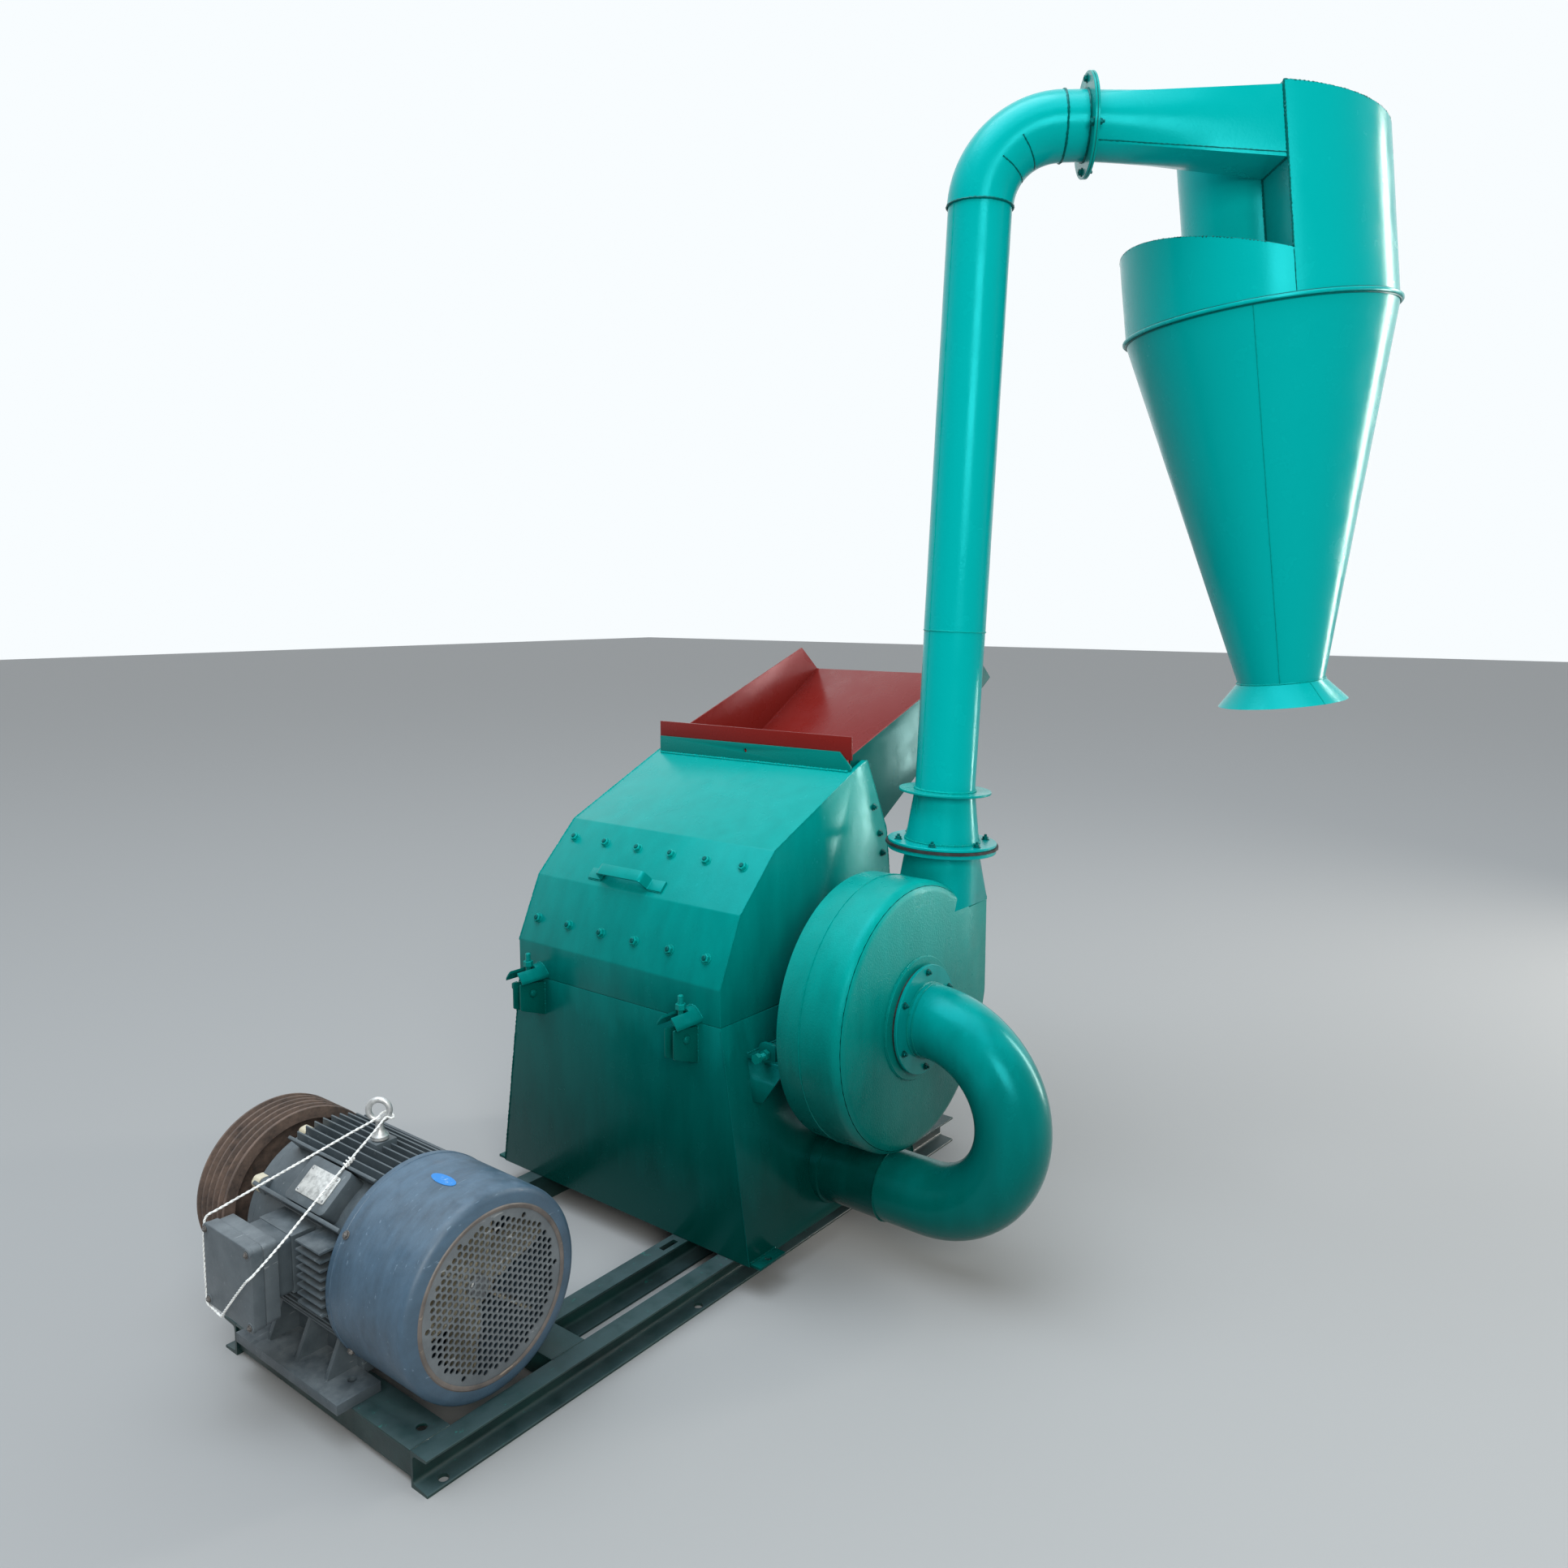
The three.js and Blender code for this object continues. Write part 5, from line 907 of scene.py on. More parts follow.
def latch_fork(y):
    """A plate arched across its width and slotted from its free end."""
    crown, foot, plate = 574.0, 551.0, 6.0
    made = Shape()
    for side in (-1, 1):
        upper = []
        for k in range(9):
            across = 11.5 + 16.5 * k / 8
            upper.append((y + side * across, crown - (crown - foot) * (across / 28) ** 2))
        made.join(prism("x", upper + [(a, b - plate) for a, b in upper[::-1]], (655, 730.6)))
    bridge = [(y + a, crown - (crown - foot) * (a / 28) ** 2) for a in (-12, -8, -4, 0, 4, 8, 12)]
    made.join(prism("x", bridge + [(a, b - plate) for a, b in bridge[::-1]], (707.5, 730.6)))
    ridge = [(730.4, y + a, crown + 0.5 - (crown - foot) * (a / 28) ** 2) for a in range(-28, 29, 7)]
    return made.join(bead(ridge, 2.2, seed=75))


def cover_grip():
    """A strap bent into a low bridge and welded across the cover below its second fold."""
    (fx, fz), (nx, nz) = FOLDS[1], FOLDS[2]
    along = Vector((nx - fx, 0, nz - fz)).normalized()
    out = Vector((-along.z, 0, along.x))
    middle = Vector((fx, 0, fz)) + along * 27 + out * 0.5
    line = fillet(
        [(-78, 2.5), (-36, 2.5, 6), (-31, 32, 8), (99, 31, 8), (104, 2.5, 6), (146, 2.5)], 6, 5,
        closed=False
    )
    top, bottom = [], []
    for i, (a, b) in enumerate(line):
        before = Vector(line[max(i - 1, 0)])
        after = Vector(line[min(i + 1, len(line) - 1)])
        normal = (after - before).normalized()
        normal = Vector((-normal.y, normal.x))
        top.append((a + normal.x * 2.5, b + normal.y * 2.5))
        bottom.append((a - normal.x * 2.5, b - normal.y * 2.5))
    rings = []
    for shift in (-13, 13):
        rings.append([middle + Y * a + out * b + along * shift for a, b in top + bottom[::-1]])
    made = loft(rings)
    for y0, y1 in ((-78, -40), (108, 146)):
        for shift in (-13, 13):
            start, end = (middle + Y * y + along * shift + out * 0.5 for y in (y0, y1))
            made.join(bead([start, end], 1.8, seed=78))
    return made


STUD_ROWS = ((FOLDS[0], FOLDS[1], 0.36), (FOLDS[1], FOLDS[2], 0.68))


def liner_nuts():
    """Six nuts in each of two rows, each turned its own way, with the stud's end standing out."""
    rng = random.Random(9)
    nuts, ends = Shape(), Shape()
    for low, high, share in STUD_ROWS:
        along = Vector((high[0] - low[0], 0, high[1] - low[1]))
        out = Vector((-along.z, 0, along.x)).normalized()
        for i in range(6):
            place = Vector((low[0], -250 + i * 102.4, low[1])) + along * share
            stand = aimed(place, out) @ Matrix.Rotation(rng.uniform(0, 1.0), 4, "Z")
            nuts.join(disc("z", 11.5, (-0.4, 1.4), count=28, edge=0.3).moved(stand))
            nuts.join(hex_head(9.6, 7.6).moved(stand @ Matrix.Translation((0, 0, 1.2))))
            tip = turned("z", [(5.2, 2), (5.2, 10.6), (3.8, 11.8)], count=20)
            ends.join(tip.moved(stand))
    return nuts, ends


def latch_bolt(y):
    """Eye, threaded shank and nut of one swing bolt."""
    px, pz = LATCH_PIN
    made = washer("y", 13, 5.6, (y - 8, y + 8), LATCH_PIN, 36, 1.2)
    made.join(turned("z", [(6, pz + 11), (6, pz + 40)], (px, y), 24))
    thread = []
    for k in range(24):
        z = pz + 40 + k * 2.0
        thread += [(5.2, z), (6.0, z + 1.0)]
    thread += [(5.2, pz + 88), (4.2, pz + 89)]
    made.join(turned("z", thread, (px, y), 24))
    nut = hex_head(11.2, 12).moved(Matrix.Translation((px, y, pz + 60)) @ Matrix.Rotation(0.4, 4, "Z"))
    return made.join(nut)


def add_latches():
    for name, y in (("near", LATCH_Y[0]), ("far", LATCH_Y[1])):
        piece(f"latch_{name}_bolt", latch_bolt(y), PRESSED, f"latch_{name}", [f"latch_bolt_{name}"])


# ---- feed tray -------------------------------------------------------------------------------

def add_tray():
    """Red inside and on its rims, green outside."""
    a, b, c, d, e = (1200, 1016), (1200, 1036), (1766, 1251), (1845, 1184), (1326, 866)
    outline = fillet([(*a, 2), (*b, 2), (*c, 6), (*d, 2), (*e, 2)], 2, 4)
    made = Shape()
    for side in (-1, 1):
        made.join(prism("y", outline, sorted((side * 282, side * 286))))
    along = Vector((d[0] - e[0], d[1] - e[1])).normalized()
    up = Vector((-along.y, along.x)) * 4
    floor = [e, d, (d[0] + up.x, d[1] + up.y), (e[0] + up.x, e[1] + up.y)]
    made.join(prism("y", floor, (-284, 284)))
    tray = mesh_object("tray_sheet", made, [RED, TRAY_GREEN])
    outward = Vector((along.y, 0, -along.x))
    for polygon in tray.data.polygons:
        y = polygon.center.y - SHIFT.y
        side_out = abs(polygon.normal.y) > 0.9 and y * polygon.normal.y > 0
        if side_out or polygon.normal.dot(outward) > 0.9:
            polygon.material_index = 1
    finish(tray, "cover", ["feed_tray"], bevel=0.7, slot="tray_red")
    lip_outline = [(-296, 1030), (296, 1030), (296, 1083), (-296, 1083)]
    piece("tray_front_plate", prism("x", lip_outline, (1191, 1196)), RED, "cover", bevel=1.0)
    piece("tray_front_tie", block((1195.4, 1206), (-284, 284), (1030.5, 1035)), RED, "cover", bevel=0.6)
    seams = Shape()
    for side in (-1, 1):
        start = Vector((e[0] + up.x, side * 281.5, e[1] + up.y))
        end = Vector((d[0] + up.x, side * 281.5, d[1] + up.y))
        seams.join(bead([start, end], 1.7, 4.0, seed=80 + side))
    piece("tray_welds", seams, RED, "cover")


# ---- rotor and other inner parts -------------------------------------------------------------

def pin_place(angle):
    t = math.radians(angle)
    return (SHAFT_X + 125 * math.cos(t), SHAFT_Z + 125 * math.sin(t))


def add_rotor():
    shaft = turned("y", [
        (23, -562), (25, -560), (25, -420), (29, -420), (30, -419), (30, 403), (29, 404), (25, 404),
        (25, 493), (23.5, 495),
    ], SHAFT, 48)
    piece("rotor_shaft_turned", shaft, STEEL, "rotor", ["rotor_shaft"])
    body = Shape()
    for y in (-250, 250):
        body.join(disc("y", 150, (y - 7, y + 7), SHAFT, 72, 1.5))
    body.join(disc("y", 44, (-243, 243), SHAFT, 48))
    piece("rotor_end_plates", body, DARK, "rotor", ["rotor_plates"])
    pins = Shape()
    for angle in (45, 135, 225, 315):
        pins.join(disc("y", 10, (-266, 266), pin_place(angle), 28))
        for side in (-1, 1):
            pins.join(disc("y", 15, sorted((side * 257.5, side * 264)), pin_place(angle), 28))
    piece("hammer_pins", pins, STEEL, "rotor", [f"hammer_pin_{i}" for i in (1, 2, 3, 4)])
    for i, angle in enumerate((45, 135, 225, 315)):
        px, pz = pin_place(angle)
        row = washer("y", 16, 10.4, (-241, 241), (px, pz), 28)
        shift = 16 if i % 2 else -16
        for k in range(7):
            y = (k - 3) * 64 + shift
            outline = fillet([
                (px - 25, pz - 115, 2), (px + 25, pz - 115, 2), (px + 25, pz + 22, 12),
                (px - 25, pz + 22, 12),
            ], 2)
            row.join(prism("y", outline, (y - 3.5, y + 3.5)))
        piece(
            f"hammer_row_{i + 1}_blades", row, DARK, f"hammers_{i + 1}", [f"hammer_row_{i + 1}"], bevel=0.5
        )
    piece(
        "mill_pulley_turned", pulley((424, 487), 92, 3, 25, SHAFT), RUST, "rotor", ["mill_pulley"],
        smooth=28
    )
    wheel = disc("y", 238, (-448, -443), SHAFT, 72).join(
        turned("y", [(34, -520), (46, -508), (46, -448)], SHAFT, 40)
    )
    for k in range(6):
        blade = block((36, 236), (-545, -447), (-3, 3))
        turn = Matrix.Translation((SHAFT_X, 0, SHAFT_Z)) @ Matrix.Rotation(-k * math.pi / 3, 4, "Y")
        wheel.join(blade.moved(turn))
    piece("fan_wheel", wheel, DARK, "rotor", ["fan_impeller"], bevel=0.5)


def pulley(span, radius, grooves, bore, centre):
    """A V-belt pulley: grooved rim, thin web and hub."""
    y0, y1 = span
    edge = (y1 - y0 - grooves * 19) / 2
    middle = (y0 + y1) / 2
    hub = bore + 18
    profile = [(radius - 2, y0), (radius - 0.6, y0 + 1)]
    for i in range(grooves):
        start = y0 + edge + i * 19
        profile += [
            (radius, start + 1.4), (radius - 0.8, start + 2.2), (radius - 15, start + 6),
            (radius - 15.4, start + 7.5)
        ]
        profile += [
            (radius - 15.4, start + 11.5), (radius - 15, start + 13), (radius - 0.8, start + 16.8),
            (radius, start + 17.6)
        ]
    profile += [
        (radius - 0.6, y1 - 1), (radius - 2, y1), (radius - 23, y1), (radius - 25, y1 - 2),
        (radius - 25, middle + 14)
    ]
    profile += [
        (radius - 30, middle + 9), (hub + 4, middle + 9), (hub, middle + 13), (hub, y1 - 1), (hub - 1, y1),
        (bore + 0.4, y1)
    ]
    profile += [(bore + 0.4, y0), (hub - 1, y0), (hub, y0 + 1), (hub, middle - 13), (hub + 4, middle - 9)]
    profile += [
        (radius - 30, middle - 9), (radius - 25, middle - 14), (radius - 25, y0 + 2), (radius - 23, y0)
    ]
    return turned("y", profile, centre, 96, closed=True)


def arc_plate(inner, outer, span, start, end, steps=40):
    rings = []
    for k in range(steps + 1):
        t = math.radians(start + (end - start) * k / steps)
        c, s = math.cos(t), math.sin(t)
        rings.append([
            Vector((SHAFT_X + r * c, y, SHAFT_Z + r * s))
            for r, y in ((inner, span[0]), (outer, span[0]), (outer, span[1]), (inner, span[1]))
        ])
    return loft(rings)


def add_screen_and_liner():
    screen = arc_plate(256, 260, (-294, 294), 186, 354, 60)
    piece("screen_sheet", screen, STEEL, nodes=["screen"])
    liner = arc_plate(258, 270, (-292, 292), 96, 174)
    for angle in range(100, 172, 10):
        turn = Matrix.Translation((SHAFT_X, 0, SHAFT_Z)) @ Matrix.Rotation(-math.radians(angle), 4, "Y")
        liner.join(block((253, 259), (-292, 292), (-5, 5)).moved(turn))
    for low, high, share in STUD_ROWS:
        along = Vector((high[0] - low[0], 0, high[1] - low[1]))
        out = Vector((-along.z, 0, along.x)).normalized()
        for i in range(6):
            place = Vector((low[0], -250 + i * 102.4, low[1])) + along * share
            depth = math.hypot(place.x - SHAFT_X, place.z - SHAFT_Z) - 262
            stud = turned("z", [(6, -depth), (6, 3)], count=16)
            liner.join(stud.moved(aimed(place, out)))
    piece("liner_plate", liner, DARK, "cover", ["breaker_liner"], bevel=0.5)


def add_bearings():
    for name, side in (("near", -1), ("far", 1)):
        span = sorted((side * 338, side * 398))
        middle = side * 368
        base = fillet([(912, 471, 1), (1150, 471, 1), (1150, 486, 5), (1108, 491, 12), (1090, 530, 10),
                       (972, 530, 10), (954, 491, 12), (912, 486, 5)], 2)
        block_shape = prism("y", base, span)
        block_shape.join(turned("y", [
            (31, span[0]), (58, span[0]), (64, span[0] + 6), (66, span[0] + 12), (66, span[1] - 12),
            (64, span[1] - 6), (58, span[1]), (31, span[1]),
        ], SHAFT, 56, closed=True))
        piece(f"bearing_{name}_block", block_shape, PRESSED, nodes=[f"bearing_{name}"],
              cutters=[turned("y", [(30.4, -420), (30.4, 420)], SHAFT, 40)], bevel=0.8)
        nuts = Shape()
        for dx in (-95, 95):
            nuts.join(bolt((SHAFT_X + dx, middle, 488), Z, 11, 9, 8))
        nuts.join(disc("z", 4, (606, 613), (SHAFT_X, middle), 20))
        piece(f"bearing_{name}_nuts", nuts, SCREW)
        piece(
            f"bearing_bracket_{name}_plates", bracket(side), GREEN, nodes=[f"bearing_bracket_{name}"],
            bevel=0.8
        )
        piece(f"bearing_{name}_jack", jack_screw(side), PRESSED)


def bracket(side):
    """A shelf with gussets on the flared wall, and the lug that holds the jack screw."""
    outer, top = 416, 470.6
    low = half_width(377) - 2
    high = half_width(top) - 2
    made = Shape()
    shelf = [(side * high, top - 8), (side * outer, top - 8), (side * outer, top), (side * high, top)]
    made.join(prism("x", shelf, (800, 1262)))
    gusset = [
        (side * (low + 1), 372), (side * (outer - 60), 377), (side * outer, top - 8), (side * high, top - 8)
    ]
    for x in (800, SHAFT_X - 60, SHAFT_X + 52, 1254):
        made.join(prism("x", gusset, (x, x + 8)))
    near, far = side * 347, side * 389
    lug = fillet([(near, top - 1, 0), (far, top - 1, 0), (far, top + 34, 12), (near, top + 34, 12)], 0)
    made.join(prism("x", lug, (800, 809)))
    seam = side * (half_width(top) + 0.5)
    made.join(bead([(800, seam, top + 1), (1262, seam, top + 1)], 2.4, seed=90))
    return made


def jack_screw(side):
    y, z = side * 368, 483
    turn = Matrix.Rotation(math.pi / 2, 4, "Y")
    thread = []
    for k in range(66):
        s = 774 + k * 2.0
        thread += [(5.2, s), (6.0, s + 1.0)]
    made = turned("x", thread + [(5.2, 911)], (y, z), 20)
    made.join(hex_head(11, 9).moved(Matrix.Translation((763, y, z)) @ turn))
    made.join(disc("x", 9, (772, 776), (y, z), 24))
    made.join(hex_head(11, 10).moved(Matrix.Translation((789, y, z)) @ turn))
    made.join(hex_head(11, 9).moved(Matrix.Translation((809.5, y, z)) @ turn))
    return made


# ---- suction fan -----------------------------------------------------------------------------

def scroll_outline(inset):
    """The fan's side view moved in by inset on its round part; the throat keeps its full width."""
    points = []
    count = 88
    for k in range(count + 1):
        t = math.radians(43.3 + (360 - 43.3) * k / count)
        fade = min(1.0, (360 - math.degrees(t)) / 25.0, (math.degrees(t) - 40) / 20.0)
        radius = FAN_RADIUS - inset * max(0.12, fade)
        points.append((SHAFT_X + radius * math.cos(t), SHAFT_Z + radius * math.sin(t)))
    points[-1] = (SHAFT_X + FAN_RADIUS - inset * 0.12, SHAFT_Z)
    points.append((SHAFT_X + FAN_RADIUS - inset * 0.12, THROAT_SQUARE_Z))
    return points


def square_to_round(corners, circle_at, radius, count=64):
    """A throat with four flat triangles and four quarter cones, open at both ends."""
    (x0, y0), (x1, y1) = corners
    low = THROAT_SQUARE_Z
    square = [Vector((x1, y1, low)), Vector((x0, y1, low)), Vector((x0, y0, low)), Vector((x1, y0, low))]
    circle = ring_points("z", radius, THROAT_TOP_Z, circle_at, count)
    verts = square + circle
    faces = []
    quarter = count // 4
    for q in range(4):
        for k in range(quarter):
            i = q * quarter + k
            faces.append([q, 4 + (i + 1) % count, 4 + i][::-1])
        faces.append([q, (q + 1) % 4, 4 + ((q + 1) * quarter) % count])
    return Shape().add(verts, faces)


def add_fan():
    edge = 24.0
    rings = []
    for k in range(9):
        t = math.pi / 2 * k / 8
        inset = edge * (1 - math.sin(t))
        y = FAN_Y[0] + edge * (1 - math.cos(t))
        rings.append([Vector((x, y, z)) for x, z in scroll_outline(inset)])
    for inset, y in ((0, FAN_Y[1] - 3), (0.9, FAN_Y[1] - 0.9), (3, FAN_Y[1])):
        rings.append([Vector((x, y, z)) for x, z in scroll_outline(inset)])
    housing = loft(rings)
    hollow = turned("y", [(270, FAN_Y[0] + 4), (276, FAN_Y[0] + 20), (276, FAN_Y[1] - 4)], SHAFT, 64)
    neck = block((THROAT_X[0] + 4, THROAT_X[1] - 4), (FAN_Y[0] + 4, FAN_Y[1] - 4), (560, 760))
    eye = turned("y", [(PIPE, FAN_Y[0] - 10), (PIPE, FAN_Y[0] + 30)], SHAFT, 48)
    back = turned("y", [(46, FAN_Y[1] - 20), (46, FAN_Y[1] + 10)], SHAFT, 40)
    piece("fan_drum", housing, PRESSED, nodes=["fan_housing"], cutters=[hollow, neck, eye, back], smooth=40)
    throat = square_to_round(
        ((THROAT_X[0], FAN_Y[0]), (THROAT_X[1], FAN_Y[1])), (OUTLET.x, OUTLET.y), PIPE + 4
    )
    thing = mesh_object("fan_throat", throat, [PIPE_GREEN_PAINTED_LIGHT])
    wall = thing.modifiers.new("wall", "SOLIDIFY")
    wall.thickness = 3 * MM
    wall.offset = -1
    apply_modifiers(thing)
    finish(thing, "frame", ["fan_outlet"], smooth=12)
    stand = riser_frame()
    flange = washer("z", 118, 76, (-15, -6), count=80)
    piece("fan_outlet_flange", flange.moved(stand), PIPE_GREEN_PAINTED_LIGHT)
    welds = bead(
        ring_points("z", PIPE + 5, -16, (0, 0), 90) + [Vector((PIPE + 5, 0, -16))], 2.6, seed=100
    ).moved(stand)
    for x, y in ((THROAT_X[0], FAN_Y[0]), (THROAT_X[1], FAN_Y[0])):
        welds.join(
            bead(
                [(x, y + 0.6, THROAT_SQUARE_Z + 2), (OUTLET.x + (x - OUTLET.x) * 0.52, y + 18, 846)], 1.0,
                5, seed=101
            )
        )
    band = []
    for x, z in scroll_outline(-0.4)[6:80]:
        band.append((x, -484, z))
    welds.join(bead(band, 1.3, 5.5, seed=102))
    left_edge = [(THROAT_X[0], -520, 786), (THROAT_X[0] + 12, -506, 850)]
    welds.join(bead(left_edge, 2.2, seed=103))
    piece("fan_welds", welds, PRESSED)
    struts = Shape()
    for dx in (-60, 48):
        struts.join(block((SHAFT_X + dx, SHAFT_X + dx + 12), (-431, -416.4), (400, 440)))
    piece("fan_struts", struts, GREEN, bevel=0.8)
    rim = 126
    ring = washer("y", rim, PIPE, (-584, -578.6), SHAFT, 88)
    seam = ring_points("y", rim, -580, SHAFT, 120) + [Vector((SHAFT_X + rim, -580, SHAFT_Z))]
    ring_welds = bead(seam, 1.6, seed=104)
    piece("fan_inlet_ring", ring.join(ring_welds), PRESSED)
    fasteners = Shape()
    for k in range(6):
        t = 0.5 + k * math.pi / 3
        fasteners.join(
            bolt((SHAFT_X + 98 * math.cos(t), -598, SHAFT_Z + 98 * math.sin(t)), (0, -1, 0), 5.5, 4.5, 3)
        )
    piece("fan_inlet_bolts", fasteners, WELD)


def add_suction():
    radius = (SHAFT_Z - SUCTION_Z) / 2
    centre = Vector((SHAFT_X, BEND_Y, SHAFT_Z - radius))
    start = (Vector((SHAFT_X, -590, SHAFT_Z)), -Y)
    end = (Vector((SHAFT_X, -520.4, SUCTION_Z)), Y.copy())
    stops = [start] + arc_stops(centre, Z, -Y, radius, math.pi, 40) + [end]
    bend = bent_pipe(stops, X, PIPE, PIPE - 3, 72)
    piece(
        "suction_bend_pipe", bend, PIPE_GREEN_PAINTED_LIGHT, nodes=["suction_bend_upper", "suction_bend_lower"], smooth=40
    )
    flange = washer("y", 112, PIPE - 1, (-598, -591), SHAFT, 88, 1.2)
    piece("suction_bend_flange", flange, PIPE_GREEN_PAINTED_LIGHT)
    piece("suction_gasket", washer("y", 106, PIPE - 1, (-591.2, -583.8), SHAFT, 64), RUBBER)
    pipe = turned(
        "y", [(PIPE, -520), (PIPE, -334), (PIPE - 3, -334), (PIPE - 3, -520)], (SHAFT_X, SUCTION_Z), 72,
        closed=True
    )
    wall = prism("x", casing_section(0.4, 60, SHAFT_Z), (900, 1200))
    piece("suction_pipe_tube", pipe, GREEN, nodes=["suction_pipe"], cutters=[wall], smooth=40)
    collar = turned(
        "y", [(PIPE + 0.5, -380), (PIPE + 6, -379), (PIPE + 6, -340), (PIPE + 0.5, -340)],
        (SHAFT_X, SUCTION_Z), 64, closed=True
    )
    piece("suction_wall_ring", collar, GREEN, cutters=[wall], smooth=40)
    seams = Shape()
    for y, z, size in ((-520.2, SUCTION_Z, 2.0), (BEND_Y, SHAFT_Z, 1.5), (-599, SHAFT_Z, 2.2)):
        circle = ring_points("y", PIPE + 0.6, y, (SHAFT_X, z), 90)
        seams.join(bead(circle + [circle[0]], size, 3.6, seed=110))
    piece("suction_welds", seams, PRESSED)


# ---- discharge pipework ----------------------------------------------------------------------

def plane_frame():
    return Matrix.Translation(OUTLET) @ Matrix.Rotation(HEADING, 4, "Z")


def riser_frame():
    return plane_frame() @ Matrix.Rotation(LEAN, 4, "Y")


def cyclone_frame():
    return plane_frame() @ Matrix.Translation(CYCLONE_CENTRE) @ Matrix.Rotation(CYCLONE_LEAN, 4, "Y")


def add_riser():
    stand = riser_frame()
    piece("outlet_gasket_sheet", ragged_gasket().moved(stand), RUBBER, nodes=["outlet_gasket"])
    reducer = turned("z", [
        (78, 0), (117, 0), (118, 1), (118, 5), (117, 6), (81, 6), (80, 7),
        (RISER_RADIUS + 1, REDUCER_HEIGHT - 6),
        (RISER_RADIUS + 1, REDUCER_HEIGHT - 1), (62, REDUCER_HEIGHT - 1), (62, 100), (78, 6),
    ], count=80, closed=True)
    piece("reducer_cone", reducer.moved(stand), PIPE_GREEN_PAINTED_LIGHT, nodes=["reducer"], smooth=30)
    piece(
        "reducer_ring",
        washer("z", 100, RISER_RADIUS, (REDUCER_HEIGHT - 5, REDUCER_HEIGHT), count=80).moved(stand), GREEN
    )
    z0 = REDUCER_HEIGHT + 0.4
    riser = turned("z", [
        (RISER_RADIUS, z0), (RISER_RADIUS, 459), (RISER_RADIUS + 0.6, 460), (RISER_RADIUS + 0.6, RISER_TOP),
        (62.5, RISER_TOP), (62.5, z0),
    ], count=80, closed=True)
    piece("riser_tube", riser.moved(stand), PIPE_GREEN_PAINTED_LIGHT, nodes=["riser_pipe"], smooth=30)
    welds = Shape()
    for z, r, size in (
        (459.5, 65.4, 1.3), (z0 + 1, 66, 2.2), (REDUCER_HEIGHT - 6, 67.5, 2.0), (7.5, 81, 2.2)
    ):
        circle = ring_points("z", r, z, (0, 0), 90)
        welds.join(bead(circle + [circle[0]], size, 3.6, seed=int(z)))
    side = math.radians(-150)
    for low, high, r in ((z0, 459, 65.3), (460, RISER_TOP, 65.9), (8, 110, 72)):
        welds.join(
            bead([(r * math.cos(side), r * math.sin(side), z) for z in (low, high)], 0.9, 6, seed=int(high))
        )
    piece("riser_welds", welds.moved(stand), PRESSED)
    nuts = Shape()
    for k in range(6):
        t = 0.2 + k * math.pi / 3
        nuts.join(bolt((99 * math.cos(t), 99 * math.sin(t), 6), Z, 6.5, 5.5, 4))
    piece("outlet_nuts", nuts.moved(stand), WELD)


def ragged_gasket():
    """A hand-cut ring of rubber sheet whose edge stands proud of the flanges, more here than there."""
    rng = random.Random(12)
    count = 96
    reach = [122.5 + 1.4 * math.sin(k * 0.2) + rng.uniform(-0.7, 0.7) for k in range(count)]
    rings = []
    for radii, z in ((reach, -5.6), (reach, -0.4), ([PIPE] * count, -0.4), ([PIPE] * count, -5.6)):
        angles = (2 * math.pi * k / count for k in range(count))
        rings.append([Vector((r * math.cos(t), r * math.sin(t), z)) for r, t in zip(radii, angles)])
    return loft(rings, closed=True)


def elbow_data():
    top = RISER_TOP + 0.4
    start = Vector((math.sin(LEAN) * top, 0, math.cos(LEAN) * top))
    across = Vector((math.cos(LEAN), 0, -math.sin(LEAN)))
    upward = Vector((math.sin(LEAN), 0, math.cos(LEAN)))
    centre = start + across * ELBOW_BEND
    turn = math.pi / 2 - LEAN - ELBOW_RISE
    return centre, -across, upward, turn


def outlet_frame():
    """Z along the elbow's outlet, from the end of its bend."""
    centre, start, upward, turn = elbow_data()
    end, _ = arc_stops(centre, start, upward, ELBOW_BEND, turn, 1)[-1]
    return plane_frame() @ Matrix.Translation(end) @ Matrix.Rotation(math.pi / 2 - ELBOW_RISE, 4, "Y")


